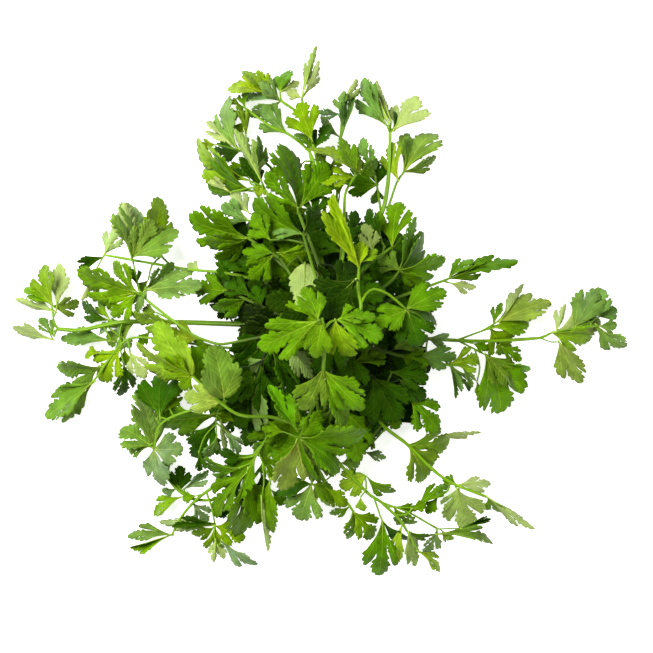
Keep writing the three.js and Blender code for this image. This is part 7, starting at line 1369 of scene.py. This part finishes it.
def add_leaflet(out, row, rng):
    bx, by, bz, tx, ty, tz, turn, width, fold, arch, kind, folded = row[:12]
    foot, tip = np.array([bx, by, bz]), np.array([tx, ty, tz])
    along, length, side, face = leaf_frame(foot, tip, turn)
    foot = foot - along * length * 0.01
    length *= LEAF_LONGER
    width *= LEAF_WIDER
    aspect = min(width / length, 1.12)
    if length < 13:
        shape = "small" if rng.random() < 0.75 else "narrow"
    elif aspect < 0.6:
        shape = rng.choice(["narrow", "three"])
    elif length > 30:
        shape = rng.choice(["three", "deep", "five", "five", "fan"])
    else:
        shape = rng.choice(["three", "three", "deep", "fan"])
    if len(row) > 12:
        shape = row[12]
    grid = 0.11 if length < 12 else 0.085 if length < 22 else 0.07
    pts, tris = flat_leaflet(shape, aspect, length, rng, grid)
    x, s = pts[:, 0], pts[:, 1]
    half = aspect / 2
    t = x / max(half, 1e-6)  # -1 .. 1 across
    # bends: the halves fold up from the midrib and curve over, each lobe is a low ridge, the edge ripples, the tip nods
    over = rng.uniform(0.05, 0.26) * (0.4 if folded else 1.0)
    lift = np.abs(x) * math.sin(fold) - over * aspect * (np.abs(t) ** 2.2) * half
    lean = OUTLINES[shape][1]
    turn_at = np.abs(x) / np.maximum(s, 0.05) / (lean * aspect)
    lobes = rng.uniform(0.012, 0.030) * np.clip(s * 1.4 - 0.2, 0, 1) * np.cos(2 * math.pi * np.clip(turn_at, 0, 1.5))
    ripple = rng.uniform(0.008, 0.022) * np.sin(2 * math.pi * (s * rng.uniform(1.6, 2.8) + rng.random()) + 1.3 * np.sign(x)) * np.abs(t) ** 1.6
    nod = -rng.uniform(-0.02, 0.12) * np.clip((s - 0.55) / 0.45, 0, 1) ** 2
    twist = rng.uniform(-0.12, 0.12) * x * (s - 0.4)
    bow = arch * 4 * s * (1 - s)
    sway = rng.uniform(-0.05, 0.05) * np.sin(math.pi * s)
    across = x * math.cos(fold) + sway * (1 - s) * 0.6
    # the main veins lie in shallow grooves
    on_midrib = np.abs(x) < 1e-6
    on_side = (np.abs(np.abs(x) - side_vein(shape, aspect, s)) < 1e-5) & ~on_midrib
    groove = np.where(on_midrib, MIDRIB_GROOVE, np.where(on_side, SIDE_GROOVE, 0.0)) * np.clip((0.92 - s) / 0.3, 0, 1)
    height = bow + lift + lobes + ripple + nod + twist - groove
    P = foot + along * (length * s)[:, None] + side * (length * across)[:, None] + face * (length * height)[:, None]
    P[:, 2] = settle(P[:, 2])
    # normals of the sheet
    fn = np.cross(P[tris[:, 1]] - P[tris[:, 0]], P[tris[:, 2]] - P[tris[:, 0]])
    N = np.zeros_like(P)
    for k in range(3):
        np.add.at(N, tris[:, k], fn)
    N /= np.maximum(np.linalg.norm(N, axis=1), 1e-9)[:, None]
    thick = BLADE_T / 2
    n = len(P)
    verts = np.vstack([P + N * thick, P - N * thick])
    # rim: edges used by one triangle only
    e = np.vstack([tris[:, [0, 1]], tris[:, [1, 2]], tris[:, [2, 0]]])
    have = {(int(a), int(b)) for a, b in e}
    rim = [(a, b) for (a, b) in have if (b, a) not in have]
    rim.sort()
    faces = [list(q) for q in tris] + [list(q[::-1] + n) for q in tris] + [[b, a, a + n, b + n] for a, b in rim]
    mats = [0] * len(tris) + [1] * len(tris) + [2] * len(rim)
    base = np.array(KINDS[kind])
    base = base * rng.uniform(0.86, 1.14) * np.array([rng.uniform(0.90, 1.10), 1.0, rng.uniform(0.8, 1.2)])
    seed = rng.random()
    co = np.stack([x / aspect, s, np.full(n, seed)], 1)
    co = np.vstack([co, co])
    col = np.tile(np.append(base, lean), (2 * n, 1))
    out.add(verts, faces, mats, co, col)
    # the midrib stands out under the blade
    k = 7
    ss = np.linspace(-0.03, 0.62, k)
    rib = []
    for q in ss:
        sq = max(q, 0.0)
        p = foot + along * (length * q) + side * (length * on_midrib_at(x, s, across, sq)) + face * (length * on_midrib_at(x, s, height, sq)) - face * (thick * 0.9)
        p[2] = settle(p[2])
        rib.append(p)
    add_tube(out, np.array(rib), np.linspace(0.50, 0.14, k), 6, 3, np.array(KINDS["rib"]), rng, ribs=0)


def on_midrib_at(x, s, across, q):
    """The value that a measure of the blade has on its midrib, at a share q of the length."""
    near = np.abs(x) < 1e-6
    if not near.any():
        return 0.0
    order = np.argsort(s[near])
    return float(np.interp(q, s[near][order], across[near][order]))


def smooth_path(points, per=4):
    """A rounded path through the way-points."""
    p = np.vstack([2 * points[0] - points[1], points, 2 * points[-1] - points[-2]])
    out = []
    for i in range(1, len(p) - 2):
        seg = np.linalg.norm(p[i + 1] - p[i])
        n = max(2, min(per * 3, int(seg / 3.0)))
        m0, m1 = (p[i + 1] - p[i - 1]) / 2, (p[i + 2] - p[i]) / 2
        # keep the handles short beside the stretch that they bend
        for m in (m0, m1):
            size = np.linalg.norm(m)
            if size > seg:
                m *= seg / size
        for k in range(n):
            t = k / n
            out.append((2 * t**3 - 3 * t**2 + 1) * p[i] + (t**3 - 2 * t**2 + t) * m0 + (-2 * t**3 + 3 * t**2) * p[i + 1] + (t**3 - t**2) * m1)
    out.append(points[-1])
    return np.array(out)


def add_tube(out, path, radii, sides, mat, colour, rng, ribs=5, cut_end=False):
    """A closed tube along a path. ribs is how many raised lines run along it. A cut end is a little paler and hollowed."""
    n = len(path)
    T = np.gradient(path, axis=0)
    T /= np.linalg.norm(T, axis=1)[:, None]
    u = np.array([0, 0, 1.0]) if abs(T[0][2]) < 0.9 else np.array([1.0, 0, 0])
    u = u - T[0] * (u @ T[0])
    u /= np.linalg.norm(u)
    U = [u]
    for i in range(1, n):
        axis = np.cross(T[i - 1], T[i])
        size = np.linalg.norm(axis)
        if size > 1e-9:
            ang = math.atan2(size, T[i - 1] @ T[i])
            R = np.array(Matrix.Rotation(ang, 3, Vector(axis / size)))
            u = R @ u
        u = u - T[i] * (u @ T[i])
        u /= np.linalg.norm(u)
        U.append(u)
    U = np.array(U)
    V = np.cross(T, U)
    a = np.linspace(0, 2 * math.pi, sides, endpoint=False)
    shape = 1 + (0.07 * np.cos(ribs * a) if ribs else 0 * a)
    rings = path[:, None, :] + (np.cos(a) * shape)[None, :, None] * U[:, None, :] * radii[:, None, None] + (np.sin(a) * shape)[None, :, None] * V[:, None, :] * radii[:, None, None]
    verts = rings.reshape(-1, 3)
    faces, mats = [], []
    for i in range(n - 1):
        for k in range(sides):
            k2 = (k + 1) % sides
            faces.append([i * sides + k, i * sides + k2, (i + 1) * sides + k2, (i + 1) * sides + k])
            mats.append(mat)
    cap0, cap1 = path[0] + T[0] * (0.35 * radii[0] if cut_end else -0.5 * radii[0]), path[-1] + T[-1] * 0.6 * radii[-1]
    verts = np.vstack([verts, cap0, cap1])
    c0, c1 = n * sides, n * sides + 1
    for k in range(sides):
        k2 = (k + 1) % sides
        faces.append([c0, k2, k])
        mats.append(4 if cut_end else mat)
        faces.append([c1, (n - 1) * sides + k, (n - 1) * sides + k2])
        mats.append(mat)
    length = np.concatenate([[0], np.cumsum(np.linalg.norm(np.diff(path, axis=0), axis=1))])
    co = np.zeros((len(verts), 3))
    co[: n * sides, 0] = np.tile(a / (2 * math.pi), n)
    co[: n * sides, 1] = np.repeat(length / 100.0, sides)
    co[:, 2] = rng.random()
    col = np.tile(np.append(colour, 1.0), (len(verts), 1))
    # painted shade: a tube's colour is darkened where it lies both near the heart of the bunch and low down, where the
    # leaves above shade it
    from_heart = np.hypot(verts[:, 0] - HEART[0], verts[:, 1] - HEART[1])
    out_of_shade = np.maximum(np.clip((from_heart - 36) / 48, 0, 1), np.clip((verts[:, 2] - 50) / 32, 0, 1))
    col[:, :3] *= (HEART_PAINTED_SHADE + (1 - HEART_PAINTED_SHADE) * out_of_shade)[:, None]
    out.add(verts, faces, mats, co, col)


# ---------------------------------------------------------------- materials
def new_material(name):
    m = bpy.data.materials.new(name)
    m.use_nodes = True
    nt = m.node_tree
    nt.nodes.clear()
    return m, nt


class Nodes:
    def __init__(self, nt):
        self.nt = nt

    def new(self, kind, **inputs):
        n = self.nt.nodes.new(kind)
        return n

    def link(self, a, b):
        self.nt.links.new(a, b)

    def math(self, op, a, b=None, clamp=False):
        n = self.nt.nodes.new("ShaderNodeMath")
        n.operation = op
        n.use_clamp = clamp
        for i, v in enumerate((a, b)):
            if v is None:
                continue
            if isinstance(v, (int, float)):
                n.inputs[i].default_value = v
            else:
                self.link(v, n.inputs[i])
        return n.outputs[0]

    def ramp(self, value, lo, hi, a=0.0, b=1.0):
        n = self.nt.nodes.new("ShaderNodeMapRange")
        n.interpolation_type = "SMOOTHSTEP"
        self.link(value, n.inputs["Value"])
        n.inputs["From Min"].default_value = lo
        n.inputs["From Max"].default_value = hi
        n.inputs["To Min"].default_value = a
        n.inputs["To Max"].default_value = b
        return n.outputs[0]

    def mix(self, fac, a, b, kind="MIX"):
        n = self.nt.nodes.new("ShaderNodeMix")
        n.data_type = "RGBA"
        n.blend_type = kind
        ins = [i for i in n.inputs if i.enabled or i.type == "RGBA"]
        f = n.inputs[0]
        A, B = [i for i in n.inputs if i.type == "RGBA"]
        for sock, v in ((f, fac), (A, a), (B, b)):
            if isinstance(v, (int, float)):
                sock.default_value = v
            elif isinstance(v, tuple):
                sock.default_value = (*v, 1.0) if len(v) == 3 else v
            else:
                self.link(v, sock)
        return [o for o in n.outputs if o.type == "RGBA"][0]


def leaf_material(name, under, rim=False):
    m, nt = new_material(name)
    N = Nodes(nt)
    att = N.new("ShaderNodeAttribute")
    att.attribute_name = "leafco"
    sep = N.new("ShaderNodeSeparateXYZ")
    N.link(att.outputs["Vector"], sep.inputs[0])
    X, Y, S = sep.outputs
    col = N.new("ShaderNodeAttribute")
    col.attribute_name = "leafcol"
    lean = col.outputs["Alpha"]
    ax = N.math("ABSOLUTE", X)
    # main veins: one to the tip, one to each side lobe
    up = N.math("SUBTRACT", Y, 0.03)
    off = N.math("MULTIPLY", N.math("ABSOLUTE", N.math("SUBTRACT", ax, N.math("MULTIPLY", up, lean))), 0.84)
    w1 = N.math("SUBTRACT", 0.0135, N.math("MULTIPLY", Y, 0.0095))
    w2 = N.math("SUBTRACT", 0.0115, N.math("MULTIPLY", Y, 0.0105))
    mid = N.ramp(N.math("DIVIDE", ax, w1), 0.35, 1.1, 1.0, 0.0)
    lat = N.ramp(N.math("DIVIDE", off, w2), 0.35, 1.1, 1.0, 0.0)
    main = N.math("MAXIMUM", mid, N.math("MULTIPLY", lat, 0.85))
    # side veins leave the nearest main vein forward, one to each tooth
    near = N.math("MINIMUM", ax, off)
    which = N.math("MULTIPLY", N.math("LESS_THAN", off, ax), 0.37)
    reach = N.math("ADD", Y, N.math("MULTIPLY", ax, 0.30))
    alt = N.math("MULTIPLY", N.math("GREATER_THAN", X, 0.0), 0.42)
    t = N.math("MULTIPLY", N.math("SUBTRACT", reach, N.math("MULTIPLY", near, 1.25)), 8.5)
    t = N.math("ADD", t, N.math("ADD", N.math("ADD", alt, which), N.math("MULTIPLY", S, 3.0)))
    fr = N.math("ABSOLUTE", N.math("SUBTRACT", N.math("FRACT", t), 0.5))
    side = N.ramp(fr, 0.015, 0.075, 1.0, 0.0)
    side = N.math("MULTIPLY", side, N.ramp(near, 0.02, 0.16, 1.0, 0.45))
    vein = N.math("MAXIMUM", main, N.math("MULTIPLY", side, 0.50), clamp=True)
    puff = N.ramp(fr, 0.0, 0.5, 1.0, 0.0)
    # small net between the veins
    vec = N.new("ShaderNodeCombineXYZ")
    N.link(X, vec.inputs[0])
    N.link(Y, vec.inputs[1])
    N.link(N.math("MULTIPLY", S, 7.0), vec.inputs[2])
    vor = N.new("ShaderNodeTexVoronoi")
    vor.feature = "DISTANCE_TO_EDGE"
    vor.inputs["Scale"].default_value = 19.0
    N.link(vec.outputs[0], vor.inputs["Vector"])
    net = N.ramp(vor.outputs["Distance"], 0.0, 0.10, 1.0, 0.0)
    noise = N.new("ShaderNodeTexNoise")
    noise.inputs["Scale"].default_value = 3.4
    noise.inputs["Detail"].default_value = 3.0
    N.link(vec.outputs[0], noise.inputs["Vector"])
    patch = N.ramp(noise.outputs["Fac"], 0.34, 0.66, 0.78, 1.2)
    colour = N.mix(1.0, col.outputs["Color"], patch, "MULTIPLY")
    # painted reflection: noise-placed cooler, bluer patches on the upper face stand in for the light's reflection off
    # the glossy blade
    reflection_noise = N.new("ShaderNodeTexNoise")
    reflection_noise.inputs["Scale"].default_value = 2.3
    reflection_noise.inputs["Detail"].default_value = 1.5
    moved = N.new("ShaderNodeCombineXYZ")
    N.link(N.math("ADD", X, 4.7), moved.inputs[0])
    N.link(N.math("MULTIPLY", Y, 0.8), moved.inputs[1])
    N.link(N.math("MULTIPLY", S, 11.0), moved.inputs[2])
    N.link(moved.outputs[0], reflection_noise.inputs["Vector"])
    cool = N.mix(1.0, colour, (1.30, 1.15, 2.4), "MULTIPLY")
    colour = N.mix(N.ramp(reflection_noise.outputs["Fac"], 0.48, 0.68, 0.0, 0.0 if under else 0.42), colour, cool)
    # yellower towards the foot
    foot = N.ramp(Y, 0.0, 0.42, 0.34, 0.0)
    colour = N.mix(foot, colour, N.mix(1.0, colour, (1.55, 1.18, 0.8), "MULTIPLY"))
    if under:
        # the paler the leaflet, the paler its underside
        split = N.new("ShaderNodeSeparateColor")
        N.link(colour, split.inputs[0])
        colour = N.mix(N.ramp(split.outputs[1], 0.08, 0.34, 0.20, 0.50), colour, (0.34, 0.45, 0.14))
        colour = N.mix(N.math("MULTIPLY", vein, 0.60), colour, (0.46, 0.56, 0.20))
        colour = N.mix(N.math("MULTIPLY", net, 0.18), colour, (0.16, 0.28, 0.05))
    elif rim:
        colour = N.mix(0.25, colour, (0.26, 0.38, 0.05))
    else:
        colour = N.mix(N.math("MULTIPLY", net, 0.10), colour, (0.03, 0.10, 0.002))
        colour = N.mix(N.math("MULTIPLY", puff, 0.10), colour, (0.03, 0.10, 0.002))
        split = N.new("ShaderNodeSeparateColor")
        N.link(colour, split.inputs[0])
        green = split.outputs[1]
        light = N.new("ShaderNodeCombineColor")
        for k, share in enumerate((1.7, 2.35, 0.30)):
            N.link(N.math("MULTIPLY", green, share), light.inputs[k])
        pale = N.mix(0.42, N.mix(1.0, colour, (2.6, 1.9, 2.6), "MULTIPLY"), light.outputs[0])
        colour = N.mix(N.math("MULTIPLY", vein, 0.82), colour, pale)
    bump = N.new("ShaderNodeBump")
    bump.inputs["Strength"].default_value = 0.55
    bump.inputs["Distance"].default_value = 0.0006
    h = N.math("MULTIPLY", vein, 0.8 if under else -0.8)
    h = N.math("ADD", h, N.math("MULTIPLY", net, 0.25 if under else -0.25))
    h = N.math("ADD", h, N.math("MULTIPLY", puff, 0.55 if under else -0.55))
    h = N.math("ADD", h, N.math("MULTIPLY", noise.outputs["Fac"], 1.2))
    N.link(h, bump.inputs["Height"])
    p = N.new("ShaderNodeBsdfPrincipled")
    N.link(colour, p.inputs["Base Color"])
    p.inputs["Roughness"].default_value = 0.66 if under else 0.42
    p.inputs["IOR"].default_value = 1.42
    p.inputs["Specular IOR Level"].default_value = 0.20 if under else 0.16
    p.inputs["Specular Tint"].default_value = (0.85, 1.0, 0.62, 1.0) if under else (0.80, 1.0, 0.08, 1.0)
    p.inputs["Sheen Weight"].default_value = 0.04 if under else 0.0
    p.inputs["Sheen Roughness"].default_value = 0.45
    N.link(bump.outputs[0], p.inputs["Normal"])
    tr = N.new("ShaderNodeBsdfTranslucent")
    warm = N.mix(1.0, colour, (1.20, 1.10, 0.25), "MULTIPLY")
    N.link(warm, tr.inputs["Color"])
    ms = N.new("ShaderNodeMixShader")
    ms.inputs[0].default_value = 0.18
    N.link(p.outputs[0], ms.inputs[1])
    N.link(tr.outputs[0], ms.inputs[2])
    out = N.new("ShaderNodeOutputMaterial")
    N.link(ms.outputs[0], out.inputs["Surface"])
    return m


def stalk_material(name, pale=0.0):
    m, nt = new_material(name)
    N = Nodes(nt)
    att = N.new("ShaderNodeAttribute")
    att.attribute_name = "leafco"
    col = N.new("ShaderNodeAttribute")
    col.attribute_name = "leafcol"
    sep = N.new("ShaderNodeSeparateXYZ")
    N.link(att.outputs["Vector"], sep.inputs[0])
    A, L, S = sep.outputs
    # ribs along the stalk
    wave = N.math("COSINE", N.math("MULTIPLY", A, 2 * math.pi * 9))
    vec = N.new("ShaderNodeCombineXYZ")
    N.link(N.math("MULTIPLY", A, 3.0), vec.inputs[0])
    N.link(N.math("MULTIPLY", L, 5.0), vec.inputs[1])
    N.link(S, vec.inputs[2])
    noise = N.new("ShaderNodeTexNoise")
    noise.inputs["Scale"].default_value = 3.0
    noise.inputs["Detail"].default_value = 2.0
    N.link(vec.outputs[0], noise.inputs["Vector"])
    patch = N.ramp(noise.outputs["Fac"], 0.3, 0.7, 0.86, 1.12)
    colour = N.mix(1.0, col.outputs["Color"], patch, "MULTIPLY")
    colour = N.mix(N.ramp(wave, 0.2, 1.0, 0.0, 0.45), colour, N.mix(1.0, colour, (1.7, 1.4, 1.6), "MULTIPLY"))
    bump = N.new("ShaderNodeBump")
    bump.inputs["Strength"].default_value = 0.4
    bump.inputs["Distance"].default_value = 0.0003
    N.link(wave, bump.inputs["Height"])
    p = N.new("ShaderNodeBsdfPrincipled")
    N.link(colour, p.inputs["Base Color"])
    p.inputs["Roughness"].default_value = 0.42
    p.inputs["Specular IOR Level"].default_value = 0.22
    p.inputs["Subsurface Weight"].default_value = 0.0
    N.link(bump.outputs[0], p.inputs["Normal"])
    out = N.new("ShaderNodeOutputMaterial")
    N.link(p.outputs[0], out.inputs["Surface"])
    return m


def plain_material(name, colour, rough):
    m, nt = new_material(name)
    N = Nodes(nt)
    att = N.new("ShaderNodeTexCoord")
    noise = N.new("ShaderNodeTexNoise")
    noise.inputs["Scale"].default_value = 900.0
    N.link(att.outputs["Object"], noise.inputs["Vector"])
    c = N.mix(N.ramp(noise.outputs["Fac"], 0.4, 0.6), tuple(0.85 * q for q in colour), colour)
    p = N.new("ShaderNodeBsdfPrincipled")
    N.link(c, p.inputs["Base Color"])
    p.inputs["Roughness"].default_value = rough
    out = N.new("ShaderNodeOutputMaterial")
    N.link(p.outputs[0], out.inputs["Surface"])
    return m


# ---------------------------------------------------------------- the bunch
bpy.ops.wm.read_factory_settings(use_empty=True)
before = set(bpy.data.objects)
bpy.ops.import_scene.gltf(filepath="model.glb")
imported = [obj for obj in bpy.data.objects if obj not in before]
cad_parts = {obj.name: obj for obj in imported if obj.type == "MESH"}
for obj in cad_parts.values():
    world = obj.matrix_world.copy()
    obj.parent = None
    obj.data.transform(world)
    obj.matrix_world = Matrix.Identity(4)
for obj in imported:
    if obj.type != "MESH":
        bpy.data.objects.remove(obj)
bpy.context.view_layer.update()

upper = leaf_material("leaf_upper", False)
under = leaf_material("leaf_under", True)
edge = leaf_material("leaf_edge", False, rim=True)
stalk = stalk_material("stalk")
cut = plain_material("stalk_cut", (0.50, 0.56, 0.28), 0.5)

tris_total = 0
for number, (name, (stalks, leaflets)) in enumerate(SPRIGS.items()):
    rng = np.random.default_rng(1000 + number)
    out = Builder()
    for i, (r0, r1, kind, flat) in enumerate(stalks):
        way = np.array(flat, float).reshape(-1, 3)
        path = smooth_path(way)
        n = len(path)
        radii = np.linspace(r0, r1, n) * (1 + 0.03 * np.sin(np.linspace(0, 9, n) + rng.random() * 6))
        main = i == 0
        if main:
            radii[: max(2, n // 12)] *= np.linspace(1.12, 1.0, max(2, n // 12))
        radii[-1] *= 0.85
        base = np.array(KINDS[kind]) * rng.uniform(0.9, 1.12)
        add_tube(out, path, radii, 15 if main else 10, 3, base, rng, ribs=5 if main else 3, cut_end=main)
    for row in leaflets:
        add_leaflet(out, row, rng)
    ob = out.mesh("parsley_" + name.replace("sprig_", ""), [upper, under, edge, stalk, cut])
    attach(ob, "root")
    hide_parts(name)
    ob.data.calc_loop_triangles()
    tris_total += len(ob.data.loop_triangles)
print("triangles", tris_total)

# ---------------------------------------------------------------- surface, light and camera
floor_mesh = bpy.data.meshes.new("surface")
R = 3.0
floor_mesh.from_pydata([(-R, -R, 0), (R, -R, 0), (R, R, 0), (-R, R, 0)], [], [(0, 1, 2, 3)])
floor = bpy.data.objects.new("surface", floor_mesh)
bpy.context.scene.collection.objects.link(floor)
fm, fnt = new_material("surface")
FN = Nodes(fnt)
fp = FN.new("ShaderNodeBsdfPrincipled")
fp.inputs["Base Color"].default_value = (0.86, 0.86, 0.86, 1)
fp.inputs["Roughness"].default_value = 0.9
fp.inputs["Specular IOR Level"].default_value = 0.0
fp.inputs["Emission Color"].default_value = (1, 1, 1, 1)
fp.inputs["Emission Strength"].default_value = 0.72
fo = FN.new("ShaderNodeOutputMaterial")
FN.link(fp.outputs[0], fo.inputs["Surface"])
floor_mesh.materials.append(fm)

scene = bpy.context.scene
world = bpy.data.worlds.new("studio")
scene.world = world
world.use_nodes = True
world.node_tree.nodes["Background"].inputs[0].default_value = (1.0, 1.0, 1.0, 1)
world.node_tree.nodes["Background"].inputs[1].default_value = 0.135


def softbox(name, at, aim, size, power, colour=(1, 1, 1)):
    light = bpy.data.lights.new(name, "AREA")
    light.shape = "RECTANGLE"
    light.size, light.size_y = size
    light.energy = power
    light.color = colour
    ob = bpy.data.objects.new(name, light)
    ob.location = at
    ob.rotation_euler = (Vector(aim) - Vector(at)).to_track_quat("-Z", "Y").to_euler()
    scene.collection.objects.link(ob)
    return ob


softbox("key", (-0.60, 0.45, 1.10), (0, 0, 0.03), (0.8, 0.8), 39.5)
softbox("fill", (0.9, -0.7, 0.9), (0, 0, 0.03), (0.9, 0.9), 9.0)

cam = bpy.data.cameras.new("camera")
cam.sensor_fit = "HORIZONTAL"
cam.sensor_width = 36.0
cam.lens = 36.0 * CAMERA_HEIGHT / VIEW_WIDTH
cam.clip_start, cam.clip_end = 0.01, 20.0
co = bpy.data.objects.new("camera", cam)
co.location = ((OFFSET[0]) * MM, (OFFSET[1]) * MM, (CAMERA_HEIGHT + OFFSET[2]) * MM)
co.rotation_euler = (0, 0, 0)
scene.collection.objects.link(co)
scene.camera = co
scene.view_settings.view_transform = "Standard"
scene.view_settings.look = "None"
scene.view_settings.exposure = 0.0
scene.view_settings.gamma = 1.0
